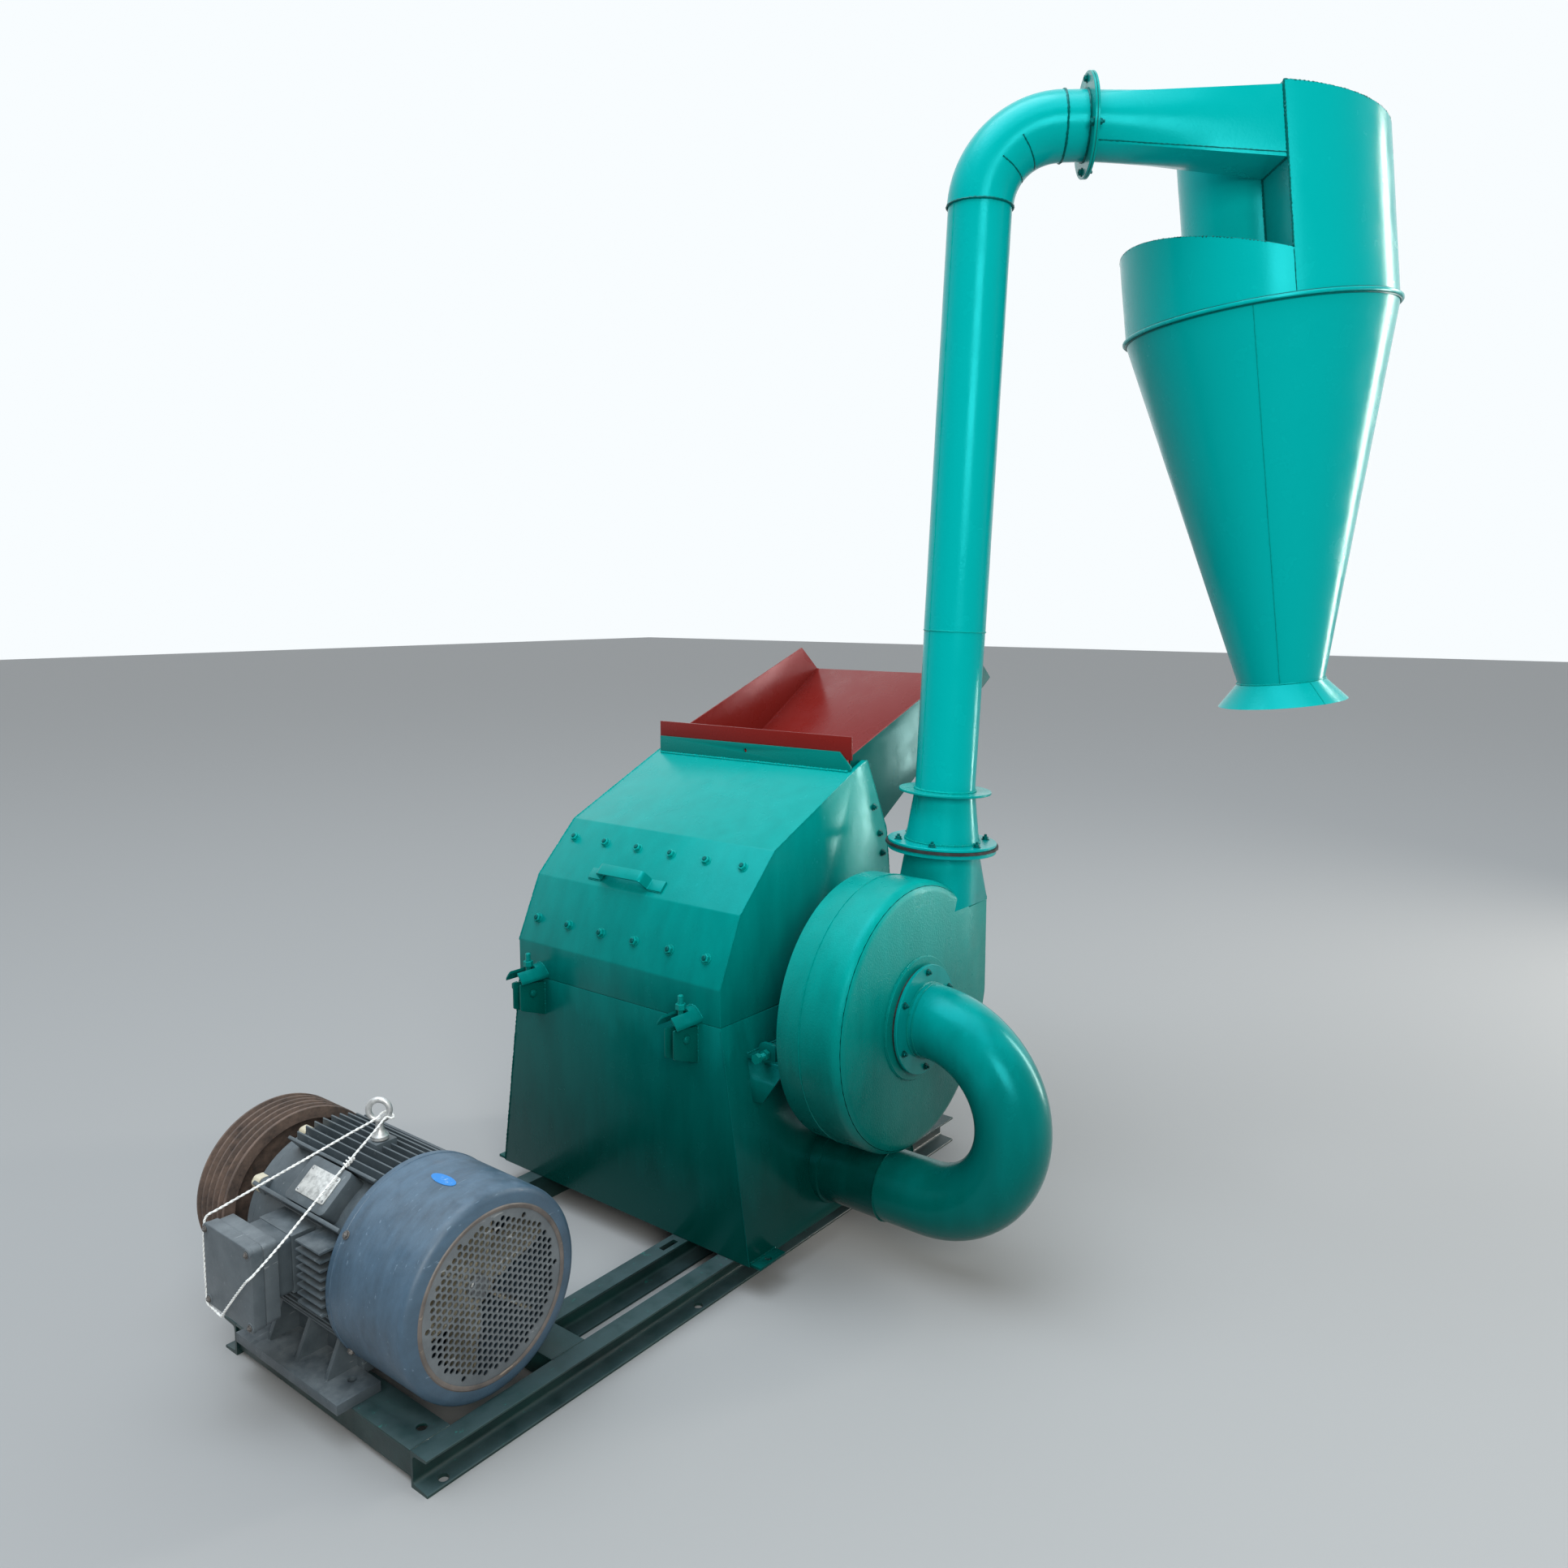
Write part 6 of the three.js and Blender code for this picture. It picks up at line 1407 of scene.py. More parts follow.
def add_elbow():
    centre, start, upward, turn = elbow_data()
    stops = arc_stops(centre, start, upward, ELBOW_BEND, turn, 28)
    pipe = bent_pipe(stops, Y, ELBOW_RADIUS + 1.0, ELBOW_RADIUS - 2.5, 72).moved(plane_frame())
    piece("elbow_bend", pipe, PIPE_GREEN_PAINTED_LIGHT, nodes=["elbow_lower", "elbow_upper"], smooth=40)
    out = outlet_frame()
    collar = turned("z", [
        (ELBOW_RADIUS, 0), (ELBOW_RADIUS, COLLAR), (ELBOW_RADIUS - 2.5, COLLAR), (ELBOW_RADIUS - 2.5, 0),
    ], count=72, closed=True)
    piece("elbow_collar", collar.moved(out), PIPE_GREEN_PAINTED_LIGHT, smooth=40)
    piece("elbow_flange", washer("z", 100, 66, (COLLAR - 5, COLLAR - 0.4), count=80).moved(out), GREEN)
    piece(
        "flange_gasket", washer("z", 98.5, 66, (COLLAR - 0.5, COLLAR + 0.5), count=72, edge=0.2).moved(out),
        RUBBER
    )
    piece("duct_flange", washer("z", 100, 64, (COLLAR + 0.4, COLLAR + 5), count=80).moved(out), GREEN)
    nuts = Shape()
    for k in range(4):
        t = 0.26 + k * math.pi / 2
        place = (86 * math.cos(t), 86 * math.sin(t))
        nuts.join(bolt((*place, COLLAR + 5), Z, 6.5, 5.5, 4), bolt((*place, COLLAR - 5), -Z, 6.5, 5, 0))
    piece("flange_nuts", nuts.moved(out), WELD)
    welds = Shape()
    foot = arc_stops(centre, start, upward, ELBOW_BEND, turn, 1)[0]
    circle = [foot[0] + (Y * math.cos(t) + foot[1].cross(Y) * math.sin(t)) * (ELBOW_RADIUS + 1)
              for t in (2 * math.pi * k / 90 for k in range(91))]
    welds.join(bead(circle, 2.0, 3.6, seed=121))
    for share in (0.36, 0.60):
        at, _ = arc_stops(centre, start, upward, ELBOW_BEND, turn * share, 1)[-1]
        inward = (centre - at).normalized()
        arc = [at + (inward * math.cos(t) - Y * math.sin(t)) * (ELBOW_RADIUS + 1)
               for t in (math.radians(a) for a in range(6, 84, 4))]
        welds.join(bead(arc, 1.5, 4, seed=122))
    welds = welds.moved(plane_frame())
    for z, size in ((1, 2.4), (COLLAR - 6, 2.2)):
        circle = ring_points("z", ELBOW_RADIUS + 0.8, z, (0, 0), 90)
        welds.join(bead(circle + [circle[0]], size, 3.6, seed=123).moved(out))
    piece("elbow_welds", welds, WELD)


def duct_square(count):
    """Points round the duct's square end on the chord wall, in the pipework's plane frame."""
    lean = Matrix.Translation(CYCLONE_CENTRE) @ Matrix.Rotation(CYCLONE_LEAN, 4, "Y")
    v0, v1 = -CYCLONE_CENTRE.y - 68, -CYCLONE_CENTRE.y + 68
    middle = ((v0 + v1) / 2, (INLET_Z[0] + INLET_Z[1]) / 2)
    points = []
    for k in range(count):
        t = 2 * math.pi * k / count
        c, s = math.cos(t), math.sin(t)
        reach = min(1 / max(abs(c), 1e-6), 1 / max(abs(s), 1e-6))
        v = middle[0] + 68 * min(1, max(-1, c * reach))
        w = middle[1] + 69 * min(1, max(-1, s * reach))
        points.append(lean @ Vector((CHORD - 0.4, v, w)))
    return points


def add_duct():
    count = 96
    inverse = plane_frame().inverted() @ outlet_frame()
    face = COLLAR + 0.4
    round_end = []
    for k in range(count):
        t = 2 * math.pi * k / count
        local = Vector((-math.sin(t) * (ELBOW_RADIUS - 1), math.cos(t) * (ELBOW_RADIUS - 1), face))
        round_end.append(inverse @ local)
    square = duct_square(count)
    rings = []
    steps = 14
    for k in range(steps + 1):
        rings.append([a.lerp(b, k / steps) for a, b in zip(round_end, square)])
    inner = [[ring_centre(ring).lerp(p, 0.955) for p in ring] for ring in rings]
    duct = loft(rings + inner[::-1], closed=True).moved(plane_frame())
    piece("duct_transition", duct, PIPE_GREEN_PAINTED_LIGHT, nodes=["inlet_duct"], smooth=24)
    corners = [square[i] for i in range(count // 8, count, count // 4)]
    welds = bead(corners + [corners[0]], 2.6, 4, seed=130)
    seam = [ring[int(count * 0.62)] for ring in rings]
    welds.join(bead(seam, 1.2, 5, seed=131))
    piece("duct_welds", welds.moved(plane_frame()), WELD)


def ring_centre(ring):
    return sum(ring, Vector()) / len(ring)


# ---- cyclone, drawn in its own frame with the cone's ring at Z = 0 ----------------------------

def arc_points(radius, start, end, z, steps):
    points = []
    for k in range(steps + 1):
        t = start + (end - start) * k / steps
        x, y = radius * math.cos(t), radius * math.sin(t)
        points.append(Vector((x, y, z(x) if callable(z) else z)))
    return points


def wall_strip(bottom, top, thickness, paint=0):
    """A closed sheet between two lines of points, thickened towards the axis."""
    def inward(point, other):
        flat = Vector((point.x, point.y, 0))
        return point - flat.normalized() * other
    rings = []
    for low, high in zip(bottom, top):
        rings.append([low, high, inward(high, thickness), inward(low, thickness)])
    return loft(rings, paint=paint)


def drum_top(x):
    share = (x + CYCLONE_RADIUS) / (CHORD + CYCLONE_RADIUS)
    return DRUM_TOP[0] + (DRUM_TOP[1] - DRUM_TOP[0]) * share


def hood_top(x):
    share = (x - CHORD) / (CYCLONE_RADIUS - CHORD)
    return HOOD_TOP[0] + (HOOD_TOP[1] - HOOD_TOP[0]) * share


def flat_plate(outline, height, thickness):
    """A plate over a plan outline whose height depends on x."""
    top = [Vector((x, y, height(x))) for x, y in outline]
    bottom = [Vector((x, y, height(x) - thickness)) for x, y in outline]
    return loft([bottom, top])


def add_cyclone():
    stand = cyclone_frame()
    radius = CYCLONE_RADIUS
    edge = math.acos(CHORD / radius)
    hood = wall_strip(
        arc_points(radius, -edge, edge, 0.5, 72),
        arc_points(radius, -edge, edge, lambda x: hood_top(x) + 4, 72), 3,
    )
    drum = wall_strip(
        arc_points(radius, edge, 2 * math.pi - edge, 0.5, 60),
        arc_points(radius, edge, 2 * math.pi - edge, lambda x: drum_top(x) + 4, 60), 3,
    )
    piece("hood_wall", hood.moved(stand), PIPE_GREEN_PAINTED_LIGHT, nodes=["cyclone_body"], smooth=30)
    piece("drum_wall", drum.moved(stand), PIPE_GREEN_PAINTED_LIGHT, smooth=30)
    roof_outline = [(p.x, p.y) for p in arc_points(radius - 3.4, -edge, edge, 0, 72)]
    hole = turned("z", [(VORTEX_RADIUS + 0.5, 0), (VORTEX_RADIUS + 0.5, 600)], count=72)
    roof = flat_plate(roof_outline, hood_top, 3)
    piece("hood_roof", roof.moved(stand), PIPE_GREEN_PAINTED_LIGHT, cutters=[hole.moved(stand)], smooth=30)
    shelf_outline = [(p.x, p.y) for p in arc_points(radius - 3.4, edge, 2 * math.pi - edge, 0, 60)]
    shelf = flat_plate(shelf_outline, drum_top, 3)
    piece("drum_shelf", shelf.moved(stand), PIPE_GREEN_PAINTED_LIGHT, cutters=[hole.moved(stand)], smooth=30)
    half = radius * math.sin(edge) - 1.5
    chord = block((CHORD, CHORD + 3), (-half, half), (80, HOOD_TOP[0] + 3))
    window = block((CHORD - 10, CHORD + 10), (-279, -149), (INLET_Z[0] + 3, INLET_Z[1] - 3))
    piece(
        "hood_chord_wall", chord.moved(stand), PIPE_GREEN_PAINTED_LIGHT, cutters=[window.moved(stand), hole.moved(stand)],
        smooth=30
    )
    tube = turned("z", [
        (VORTEX_RADIUS, -70), (VORTEX_RADIUS, 402), (VORTEX_RADIUS - 2.5, 402), (VORTEX_RADIUS - 2.5, -70),
    ], count=88, closed=True)
    piece("vortex_finder", tube.moved(stand), PIPE_GREEN_PAINTED_LIGHT, nodes=["vortex_tube"], smooth=30)
    piece("cone_shell", cone().moved(stand), PIPE_GREEN_PAINTED_LIGHT, nodes=["cyclone_cone"], smooth=30)
    piece("cyclone_welds_and_ring_shadow", cyclone_welds_and_ring_shadow(edge).moved(stand), WELD)
    piece("cone_seams", cone_seams().moved(stand), GREEN)


def cone():
    r, length = CYCLONE_RADIUS, CONE_LENGTH
    return turned("z", [
        (r - 3, -0.4), (r + 6, -0.4), (r + 8, -2.5), (r + 8, -6), (r + 6, -8), (r, -8.5),
        (CONE_END + 0.4, -length + 2),
        (CONE_END + 1, -length), (CONE_END + 2, -length - 2), (140, -length - 50), (137, -length - 50.5),
        (CONE_END - 2, -length), (r - 3.4, -8.5),
    ], count=112, closed=True)


def cone_seams():
    """The cone's lengthwise weld, and the skirt's, on the side where the drum's sheet is joined."""
    made = Shape()
    t = math.radians(-112)
    line = [
        (r * math.cos(t), r * math.sin(t), z)
        for r, z in ((CYCLONE_RADIUS + 0.3, -9), (CONE_END + 0.6, -CONE_LENGTH + 1))
    ]
    made.join(bead(line, 0.9, 6, seed=140))
    t = math.radians(-72)
    skirt = [
        (r * math.cos(t), r * math.sin(t), z)
        for r, z in ((CONE_END + 2, -CONE_LENGTH - 2), (140, -CONE_LENGTH - 50))
    ]
    made.join(bead(skirt, 1.2, 5, seed=141))
    circle = ring_points("z", CONE_END + 1.2, -CONE_LENGTH, (0, 0), 90)
    return made.join(bead(circle + [circle[0]], 1.8, 4, seed=142))


def cyclone_welds_and_ring_shadow(edge):
    """Dark rod under the ring as painted shadow in the gap there, and the rough beads where sheets meet."""
    r = CYCLONE_RADIUS
    half = r * math.sin(edge)
    made = Shape()
    # the rod at z -9.6 is painted shadow under the ring; the one at 0.6 is the bead where the drum meets
    # the ring
    for z, size in ((0.6, 1.7), (-9.6, 2.0)):
        made.join(sweep(ring_points("z", r + 1.2, z, (0, 0), 160), size, 6, closed=True))
    for side in (-1, 1):
        made.join(
            bead(
                [(CHORD - 0.5, side * half, 88), (CHORD - 0.5, side * half, HOOD_TOP[0] + 3)], 1.9, 4,
                seed=150
            )
        )
        made.join(bead([(CHORD, side * half, 2), (CHORD, side * half, 84)], 1.0, 6, seed=151))
    made.join(
        bead(arc_points(r - 2, edge, 2 * math.pi - edge, lambda x: drum_top(x) + 3.5, 60), 2.0, 4, seed=152)
    )
    made.join(bead(arc_points(r - 2, -edge, edge, lambda x: hood_top(x) + 3.5, 72), 2.0, 4.5, seed=153))
    made.join(
        bead(
            [(CHORD - 1, -half + 4, drum_top(CHORD) + 1.5), (CHORD - 1, half - 4, drum_top(CHORD) + 1.5)],
            2.4, 4, seed=154
        )
    )
    tube_edge = math.acos(CHORD / VORTEX_RADIUS)
    tube = arc_points(VORTEX_RADIUS + 1, tube_edge, 2 * math.pi - tube_edge, lambda x: drum_top(x) + 2, 40)
    made.join(bead(tube, 3.0, 4.2, seed=155))
    for side in (-1, 1):
        y = side * VORTEX_RADIUS * math.sin(tube_edge)
        made.join(bead([(CHORD - 1, y, 100), (CHORD - 1, y, HOOD_TOP[0])], 2.6, 4.2, seed=156))
    return made


# ---- motor -----------------------------------------------------------------------------------

def about_motor(angle):
    return Matrix.Translation((MOTOR_X, 0, MOTOR_Z)) @ Matrix.Rotation(-math.radians(angle), 4, "Y")


def fin(position, reach, vertical, span, sign=1):
    """One cooling fin, tapered to its rounded edge."""
    base, tip = 3.4, 1.8
    if vertical:
        outline = [
            (MOTOR_X + position - base, MOTOR_Z), (MOTOR_X + position + base, MOTOR_Z),
            (MOTOR_X + position + tip, MOTOR_Z + reach - 1), (MOTOR_X + position, MOTOR_Z + reach),
            (MOTOR_X + position - tip, MOTOR_Z + reach - 1),
        ]
    else:
        outline = [
            (MOTOR_X, MOTOR_Z + position - base), (MOTOR_X + sign * (reach - 1), MOTOR_Z + position - tip),
            (MOTOR_X + sign * reach, MOTOR_Z + position), (
                MOTOR_X + sign * (reach - 1), MOTOR_Z + position + tip
            ),
            (MOTOR_X, MOTOR_Z + position + base),
        ]
    return prism("y", outline, span)


def motor_fins():
    """Upright fins over the top, level ones on both sides, and longer ones beside the terminal box."""
    made = Shape()
    span = (-84, BARREL_END - 4)
    for k in range(-3, 7):
        at = k * 17.5
        made.join(fin(at, math.sqrt(171 ** 2 - at ** 2), True, span))
    for k in range(-6, 6):
        at = k * 15.5
        reach = math.sqrt(170 ** 2 - at ** 2)
        made.join(fin(at, reach, False, span))
        if at < -46:
            made.join(fin(at, reach + 4, False, span, -1))
        else:
            made.join(fin(at, 185, False, (-84, -10), -1))
    return made


def add_motor():
    end = BARREL_END
    rim = [(122, -104), (147, -104), (148, -103), (148, end - 1), (147, end), (122, end)]
    piece(
        "motor_barrel", turned("y", rim, MOTOR, 72, closed=True), FRAME_IRON, nodes=["motor_frame"],
        smooth=30
    )
    core = turned("y", [(146, -90), (146, end + 5)], MOTOR, 64)
    piece("motor_fins", motor_fins(), FRAME_IRON, smooth=30, cutters=[core])
    bosses = Shape()
    boss = fillet([(140, -14), (152, -14, 9), (158, -6, 6), (158, 6, 6), (152, 14, 9), (140, 14)], 0)
    for angle in LUG_ANGLES:
        bosses.join(prism("y", boss, (end - 20, end)).moved(about_motor(angle)))
    piece("motor_bosses", bosses, FRAME_IRON, bevel=1.2)
    feet, holes = motor_feet()
    piece("motor_feet", feet, FRAME_IRON, cutters=holes, bevel=1.2)
    pads = block((MOTOR_X - 14, MOTOR_X + 30), (EYE_Y - 18, EYE_Y + 18), (385, 420))
    pads.join(block((-9.6, 80), (16, 122), (212, 316)))
    piece("motor_pads", pads, FRAME_IRON, bevel=2.0)
    plate_pad = prism(
        "x", fillet([(-30, -42, 10), (92, -42, 10), (92, 40, 10), (-30, 40, 10)], 10, 5), (-178, -140)
    )
    ledges = block((-176, -120), (-84, 190), (-50, -43)).join(block((-176, -120), (-84, 190), (43, 49)))
    piece("nameplate_pad", plate_pad.join(ledges).moved(about_motor(-50)), FRAME_IRON, bevel=1.5)
    plate = prism("x", fillet([(-14, -26, 3), (72, -26, 3), (72, 24, 3), (-14, 24, 3)], 3), (-180, -178.3))
    piece("nameplate_blank", plate.moved(about_motor(-50)), PLATE, nodes=["nameplate"], bevel=0.2)
    rivets = Shape()
    for y in (-9, 67):
        for z in (-21, 19):
            rivets.join(turned("x", [(2.4, -180), (2.0, -181.2), (0.8, -181.8)], (y, z), 12))
    piece("nameplate_rivets", rivets.moved(about_motor(-50)), STEEL)
    add_shields()
    add_cowl()
    add_terminal_box()
    add_motor_rotor()
    add_eyebolt()


def motor_feet():
    low = RAIL_HEIGHT + 0.5
    made, holes = Shape(), []
    for side in (-1, 1):
        xs = sorted((MOTOR_X + side * 112, MOTOR_X + side * 194))
        made.join(block(xs, (-133, 191), (low, low + 18)))
        for y in (-92, 150):
            holes.append(turned("z", [(8, low - 5), (8, low + 30)], (MOTOR_X + side * 139.5, y), 24))
        outline = [
            (MOTOR_X + side * 90, low + 10), (MOTOR_X + side * 170, low + 10),
            (MOTOR_X + side * 168, low + 22),
            (MOTOR_X + side * 128, MOTOR_Z - 72), (MOTOR_X + side * 90, MOTOR_Z - 72),
        ]
        for y in (-64, 28, 120):
            made.join(prism("y", outline, (y, y + 9)))
        wall = sorted((MOTOR_X + side * 92, MOTOR_X + side * 112))
        made.join(block(wall, (-84, 168), (low + 10, MOTOR_Z - 90)))
    return made, holes


def add_shields():
    y0, y1 = BARREL_END + 0.4, 262.0
    shell = turned("y", [
        (24.4, y0), (146, y0), (147, y0 + 1), (147, y0 + 18), (143, y0 + 22), (112, y0 + 32), (84, y0 + 42),
        (70, y1 - 6), (64, y1), (24.4, y1),
    ], MOTOR, 72, closed=True)
    piece("drive_shield", shell, FRAME_IRON, nodes=["end_shield_drive"], smooth=30)
    lugs, screws = Shape(), Shape()
    lug = fillet([(116, -16), (146, -16, 10), (159, -7, 7), (159, 7, 7), (146, 16, 10), (116, 16)], 0)
    for angle in LUG_ANGLES:
        lugs.join(prism("y", lug, (y0 + 0.4, y0 + 22)).moved(about_motor(angle)))
        screws.join(bolt((147, y0 + 22, 0), (0, 1, 0), 7.5, 5.5, 0).moved(about_motor(angle)))
    piece("drive_shield_lugs", lugs, CREAM, bevel=1.5)
    piece("drive_shield_screws", screws, SCREW)
    cap = turned("y", [(30, y1 - 1), (58, y1 - 1), (56, y1 + 5), (30, y1 + 6)], MOTOR, 48, closed=True)
    piece("drive_bearing_cap", cap, FRAME_IRON)
    fan_end = turned("y", [
        (24.4, -104.4), (146, -104.4), (146, -128), (112, -142), (62, -150), (24.4, -150),
    ], MOTOR, 64, closed=True)
    piece("fan_shield", fan_end, FRAME_IRON, nodes=["end_shield_fan"], smooth=30)


def add_cowl():
    outer = [(144, -300), (150, -300), (165, -298.5), (173, -295), (176.5, -290), (178, -282)]
    outer += [(178, -100), (179, -99), (179, -96), (178, -95), (178, -86), (175, -86), (175, -274)]
    outer += [(172, -284), (165, -292), (158, -295), (144, -296.5)]
    shell = turned("y", outer, MOTOR, 112, closed=True)
    piece("cowl_shell", shell, COWL, nodes=["fan_cowl"], smooth=34)
    bead_ring = turned(
        "y", [(142, -299.6), (145, -301.4), (148.5, -301.4), (151, -299.6), (146, -297)], MOTOR, 96,
        closed=True
    )
    piece("cowl_bead", bead_ring, WORN_RIM)
    grille = turned(
        "y", [(144.5, -297), (143, -298.6), (30, -299.4), (1, -299.4), (1, -296.6), (144.5, -295.5)], MOTOR,
        96, closed=True
    )
    holes = Shape()
    pitch, row_step, hole_radius = 12.6, 10.9, 4.9
    slant = math.radians(30)
    for row in range(-12, 13):
        for column in range(-11, 12):
            a = (column + (row % 2) / 2) * pitch
            b = row * row_step
            x = a * math.cos(slant) - b * math.sin(slant)
            z = a * math.sin(slant) + b * math.cos(slant)
            if math.hypot(x, z) < GRILLE_REACH:
                place = (MOTOR_X + x, MOTOR_Z + z)
                holes.join(turned("y", [(hole_radius, -310), (hole_radius, -290)], place, 10))
    piece("cowl_grille", grille, GRILLE, cutters=[holes], smooth=34)
    screws = Shape()
    for angle in (35, 145, 215, 325):
        t = math.radians(angle)
        out = Vector((math.cos(t), 0, math.sin(t)))
        place = Vector((MOTOR_X, -104, MOTOR_Z)) + out * 178
        screws.join(bolt(place, out, 5.5, 3.5, 0))
    piece("cowl_screws", screws, SCREW)
    badge = []
    for k in range(28):
        t = 2 * math.pi * k / 28
        badge.append((-196 + 31 * math.cos(t), 11 * math.sin(t)))
    rings = []
    for radius in (178.2, 178.9):
        ring = []
        for y, across in badge:
            t = math.radians(96) + across / 178
            ring.append(Vector((MOTOR_X + radius * math.cos(t), y, MOTOR_Z + radius * math.sin(t))))
        rings.append(ring)
    piece("cowl_blank_label", loft(rings), LABEL)


def add_terminal_box():
    (x0, x1), (y0, y1), (z0, z1) = TERMINAL_X, TERMINAL_Y, TERMINAL_Z
    back = x0 + TERMINAL_LID
    walls = prism("x", fillet([(y0, z0), (y1, z0), (y1, z1), (y0, z1)], 9, 5), (back, x1))
    hollow = block((x0, x1 - 6), (y0 + 6, y1 - 6), (z0 + 6, z1 - 6))
    piece("terminal_box_cast", walls, BLUE, nodes=["terminal_box"], cutters=[hollow], bevel=1.6)
    neck = prism("x", fillet([(16, 212), (122, 212), (122, 316), (16, 316)], 12, 5), (x1 - 0.5, -10))
    piece("terminal_neck", neck, FRAME_IRON, bevel=1.2)
    place = (x1 - 13, y0 + 40)
    gland = turned("z", [(11, z0 - 16), (12, z0 - 14), (12, z0 - 4), (15, z0 - 3), (15, z0 + 1)], place, 32)
    piece("terminal_gland", gland, FRAME_IRON)
    rim = fillet([(y0 - 3, z0 - 3), (y1 + 3, z0 - 3), (y1 + 3, z1 + 3), (y0 - 3, z1 + 3)], 12, 6)
    lid = prism("x", rim, (x0, back - 0.4))
    piece("terminal_lid_cast", lid, BLUE, nodes=["terminal_lid"], bevel=2.4, segments=3)
    bosses, screws = Shape(), Shape()
    for y in (y0 + 7, y1 - 7):
        for z in (z0 + 7, z1 - 7):
            bosses.join(disc("x", 10, (x0 - 0.8, x0 + 8), (y, z), 28, 1.5))
            screws.join(bolt((x0 - 0.8, y, z), -X, 4.4, 2.0, 0))
    piece("terminal_bosses", bosses, BLUE)
    piece("terminal_screws", screws, SCREW)


def add_motor_rotor():
    shaft = turned("y", [
        (18, -262), (20, -260), (20, -150), (24, -150), (24, -80), (96, -78), (96, 146), (24, 148),
        (24, 370), (22, 372),
    ], MOTOR, 56)
    piece("motor_shaft_turned", shaft, STEEL, "motor_rotor", ["motor_shaft"])
    wheel = pulley((277, 378), 165, 5, 24, MOTOR)
    piece("motor_pulley_turned", wheel, RUST, "motor_rotor", ["motor_pulley"], smooth=28)
    fan = turned(
        "y", [(20.4, -250), (36, -250), (40, -246), (40, -200), (92, -197), (92, -191), (20.4, -191)],
        MOTOR, 56, closed=True
    )
    for k in range(6):
        outline = fillet([(34, -270), (140, -270, 16), (150, -254, 10), (150, -192), (34, -192)], 0)
        blade = prism("z", outline, (-2.4, 2.4))
        fan.join(blade.moved(about_motor(k * 60 + 20)))
    piece("motor_fan_cast", fan, CREAM, "motor_rotor", ["motor_fan"], bevel=0.6)


EYE_Y, EYE_Z = 25.0, 475.0
EYE_TURN = math.radians(-50)


def add_eyebolt():
    centre = Vector((MOTOR_X + 6, EYE_Y, EYE_Z))
    across = Vector((math.cos(EYE_TURN), math.sin(EYE_TURN), 0))
    loop = [
        centre + (across * math.cos(t) + Z * math.sin(t)) * 19
        for t in (2 * math.pi * k / 64 for k in range(64))
    ]
    made = sweep(loop, 5.5, 20, closed=True)
    made.join(turned("z", [
        (6, 404), (6, 420.6), (13, 420.6), (15.5, 422), (15.5, 428), (11, 433), (7.5, 441), (7, 452),
        (8.5, 457),
    ], (centre.x, centre.y), 40))
    piece("lifting_eye", made, EYE_STEEL, nodes=["eyebolt"])


STRAND_RADIUS, STRAND_OFFSET, STRAND_TWIST = 1.4, 0.9, 0.55
# from the terminal box's near corner to the eye, through it, and back round the box
CORD_POINTS = [
    (-95, -13.8, 294), (-46, -13.6, 326), (60, -5, 395.5), (150, 3.5, 450), (176.3, 6, 465.5),
    (182.2, 3.2, 461.7), (189.4, 5.7, 460.4), (192.8, 12.2, 462), (191.2, 18.9, 465.5),
    (185, 21.5, 469), (175, 21.5, 468), (166, 18.5, 465), (120, 41, 443), (-70, 139, 350),
    (-86, 149, 341), (-90, 150.5, 334), (-94, 150, 196), (-94, 149.2, 188), (-94, 146, 185.2),
    (-95, 130, 184.8), (-98, 92, 185), (-100.5, 86, 190), (-100.5, -4, 284), (-99.5, -12, 290.5),
    (-95, -13.8, 294),
]


def smooth_path(points, steps):
    """A centripetal spline through the points."""
    points = [Vector(p) for p in points]
    ends = [points[0] * 2 - points[1]] + points + [points[-1] * 2 - points[-2]]
    made = []
    for p0, p1, p2, p3 in zip(ends, ends[1:], ends[2:], ends[3:]):
        d = [max((b - a).length, 1e-6) ** 0.5 for a, b in ((p0, p1), (p1, p2), (p2, p3))]
        t1, t2, t3 = d[0], d[0] + d[1], d[0] + d[1] + d[2]
        for k in range(steps):
            t = t1 + (t2 - t1) * k / steps
            a1 = p0 * ((t1 - t) / t1) + p1 * (t / t1)
            a2 = p1 * ((t2 - t) / d[1]) + p2 * ((t - t1) / d[1])
            a3 = p2 * ((t3 - t) / d[2]) + p3 * ((t - t2) / d[2])
            b1 = a1 * ((t2 - t) / t2) + a2 * (t / t2)
            b2 = a2 * ((t3 - t) / (t3 - t1)) + a3 * ((t - t1) / (t3 - t1))
            made.append(b1 * ((t2 - t) / d[1]) + b2 * ((t - t1) / d[1]))
    return made + [points[-1]]


def add_cord():
    """Two strands twisted together along the route, with a knot by the eye."""
    path = spaced(smooth_path(CORD_POINTS, 12), 1.6)
    made = Shape()
    for phase in (0, math.pi):
        strand = []
        for i, point in enumerate(path):
            along = (path[min(i + 1, len(path) - 1)] - path[max(i - 1, 0)]).normalized()
            across = along.cross(Z if abs(along.z) < 0.9 else X).normalized()
            up = along.cross(across)
            t = i * STRAND_TWIST + phase
            strand.append(point + (across * math.cos(t) + up * math.sin(t)) * STRAND_OFFSET)
        made.join(sweep(strand, STRAND_RADIUS, 8))
    knot = []
    centre = Vector((92, -2, 415))
    way = Vector((90, 8.5, 54.5)).normalized()
    side = way.cross(Z).normalized()
    for k in range(46):
        t = k * 0.42
        knot.append(
            centre + way * (k * 0.42 - 9) + (side * math.cos(t) + side.cross(way) * math.sin(t)) * 4.6
        )
    made.join(sweep(knot, 1.5, 8))
    piece("tie_cord_twist", made, CORD, nodes=["tie_cord"], smooth=60)


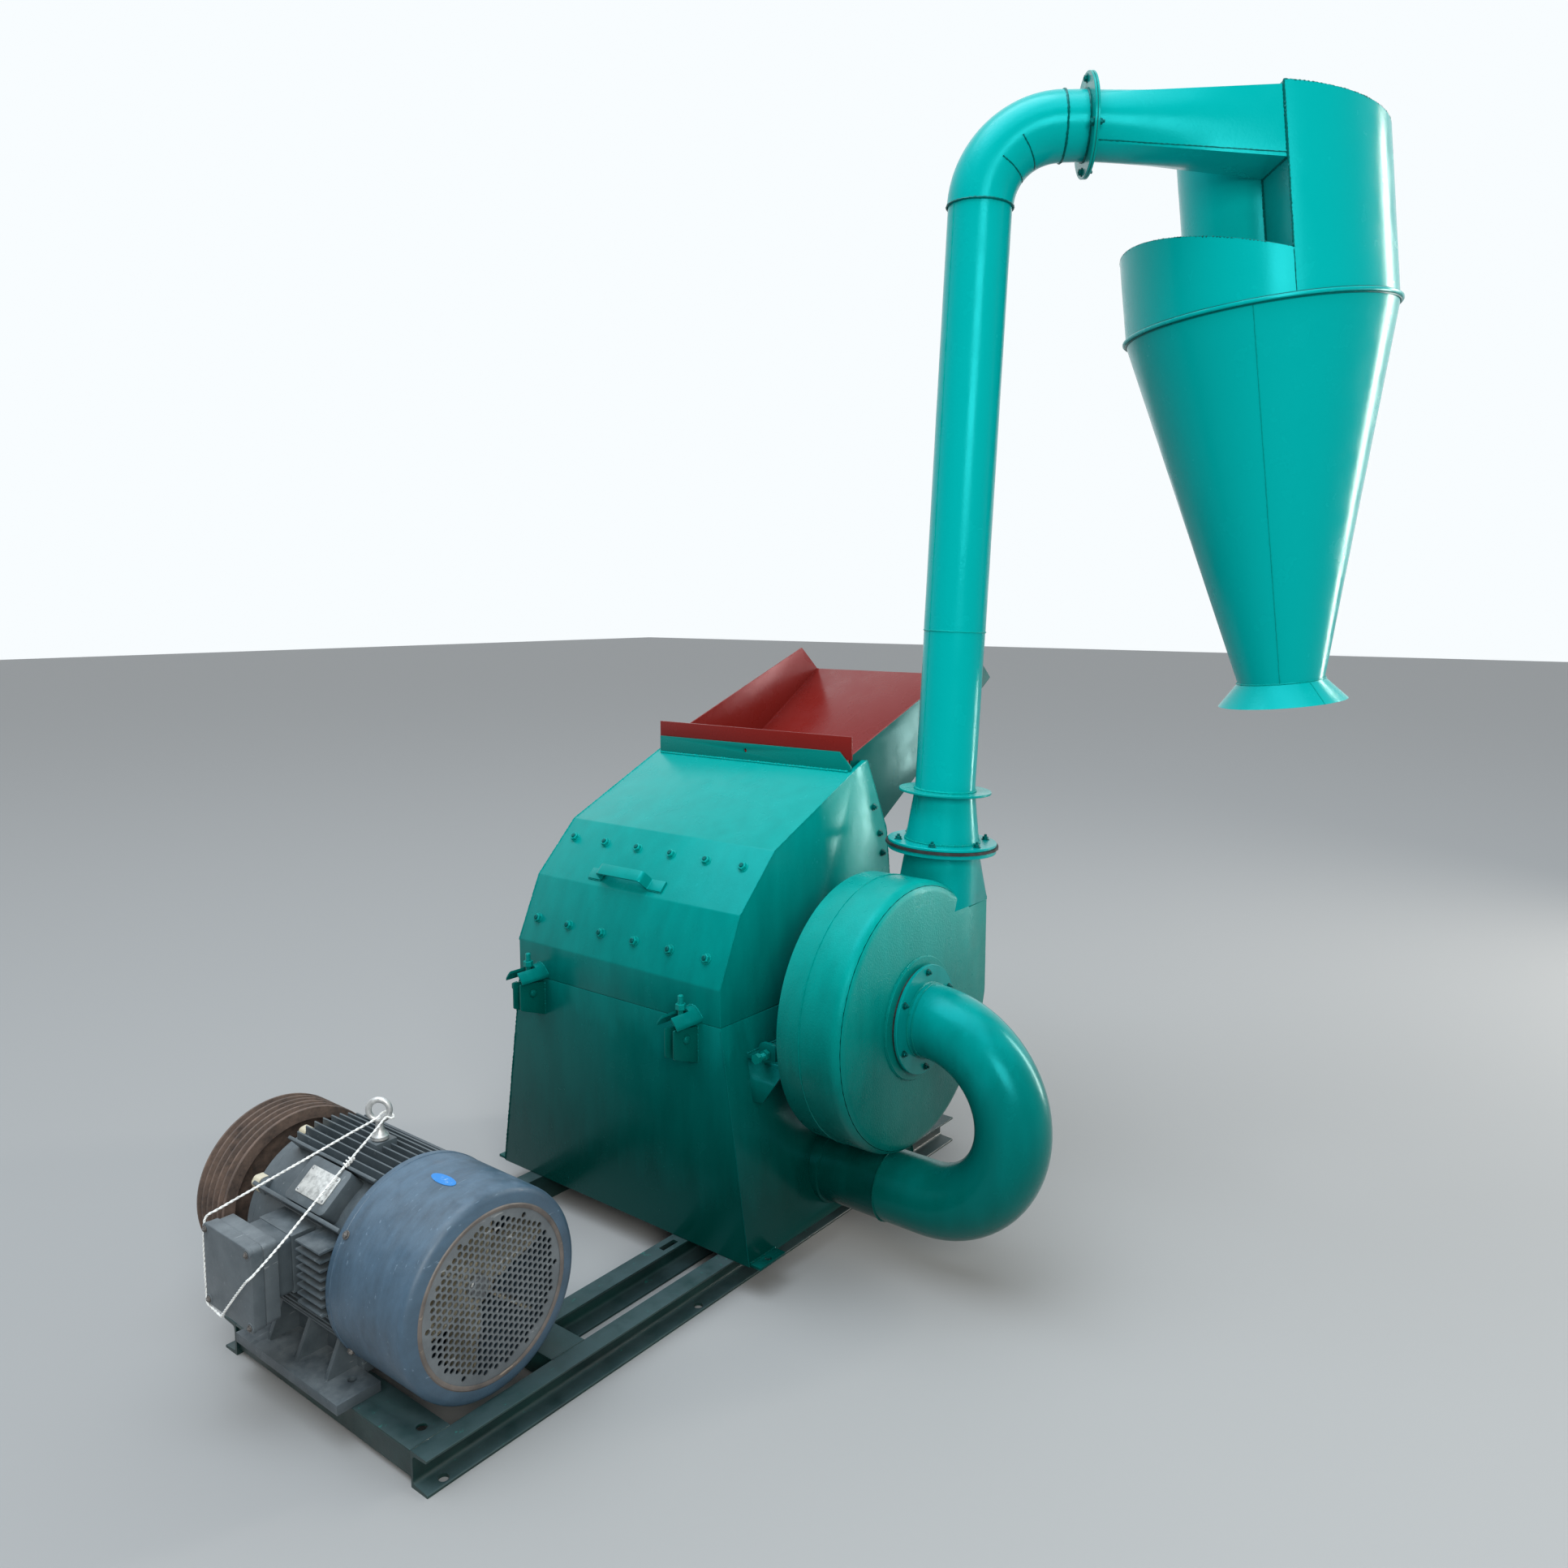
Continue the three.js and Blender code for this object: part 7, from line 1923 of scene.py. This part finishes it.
def flat_label(name):
    n = Nodes(name, roughness=0.45)
    n.colour(n.mix(n.ramp(n.noise(80.0, 5.0, 0.7), 0.55, 0.68), (0.006, 0.165, 0.480), (0.25, 0.38, 0.50)))
    return n.bumps((n.noise(300.0, 3.0), 0.0002, 0.3))


LABEL = flat_label("blank_blue_label")


# ---- stage -----------------------------------------------------------------------------------

def add_surround():
    """A studio that is pale beyond the machine and dimmer on the side it is looked at from."""
    world = bpy.data.worlds.new("studio")
    bpy.context.scene.world = world
    world.use_nodes = True
    tree = world.node_tree
    surround = tree.nodes["Background"]
    surround.inputs["Color"].default_value = (0.94, 0.98, 1.0, 1.0)
    direction = tree.nodes.new("ShaderNodeTexCoord")
    facing = tree.nodes.new("ShaderNodeVectorMath")
    facing.operation = "DOT_PRODUCT"
    facing.inputs[1].default_value = LEVEL_AIM
    tree.links.new(direction.outputs["Generated"], facing.inputs[0])
    fade = tree.nodes.new("ShaderNodeMapRange")
    fade.inputs["From Min"].default_value = -0.3
    fade.inputs["From Max"].default_value = 0.72
    fade.inputs["To Min"].default_value = 0.30
    fade.inputs["To Max"].default_value = 1.0
    tree.links.new(facing.outputs["Value"], fade.inputs["Value"])
    tree.links.new(fade.outputs["Result"], surround.inputs["Strength"])
    sun = bpy.data.lights.new("overhead", "SUN")
    sun.energy = 1.5
    sun.color = (0.86, 0.94, 1.0)
    sun.angle = math.radians(50)
    thing = bpy.data.objects.new("overhead", sun)
    thing.rotation_euler = (math.radians(-12), math.radians(-14), 0)
    bpy.context.scene.collection.objects.link(thing)


def add_stage():
    mesh = bpy.data.meshes.new("floor")
    size = 30.0
    mesh.from_pydata(
        [(-size, -size, 0), (size, -size, 0), (size, size, 0), (-size, size, 0)], [], [(0, 1, 2, 3)]
    )
    floor = bpy.data.objects.new("floor", mesh)
    bpy.context.scene.collection.objects.link(floor)
    n = Nodes("floor_paper", roughness=0.9)
    n.colour((0.27, 0.27, 0.27))
    mesh.materials.append(n.material)
    add_surround()
    lights = (
        ("sky", (-2.0, -1.0, 9.0), (-0.2, -0.2, 0.9), (8.0, 8.0), 620, (0.78, 0.90, 1.0)),
        ("front", (-3.3, -3.7, 2.8), (0.1, -0.3, 1.3), (2.0, 2.0), 175, (1.0, 1.0, 0.95)),
        ("strip", (3.9, -2.6, 1.9), (0.4, -0.4, 1.5), (0.5, 3.6), 120, (1.0, 0.95, 0.86)),
    )
    for name, place, aim, size, power, tint in lights:
        data = bpy.data.lights.new(name, "AREA")
        data.shape = "RECTANGLE"
        data.size, data.size_y = size
        data.energy = power
        data.color = tint
        lamp = bpy.data.objects.new(name, data)
        bpy.context.scene.collection.objects.link(lamp)
        aim_at = (Vector(aim) - Vector(place)).to_track_quat("-Z", "Y").to_matrix().to_4x4()
        lamp.matrix_world = Matrix.Translation(place) @ aim_at
    bpy.context.scene.view_settings.view_transform = "Standard"


# ---- build -----------------------------------------------------------------------------------

add_base()
add_casing()
add_cover()
add_latches()
add_tray()
add_rotor()
add_screen_and_liner()
add_bearings()
add_fan()
add_suction()
add_riser()
add_elbow()
add_duct()
add_cyclone()
add_motor()
add_cord()
add_stage()
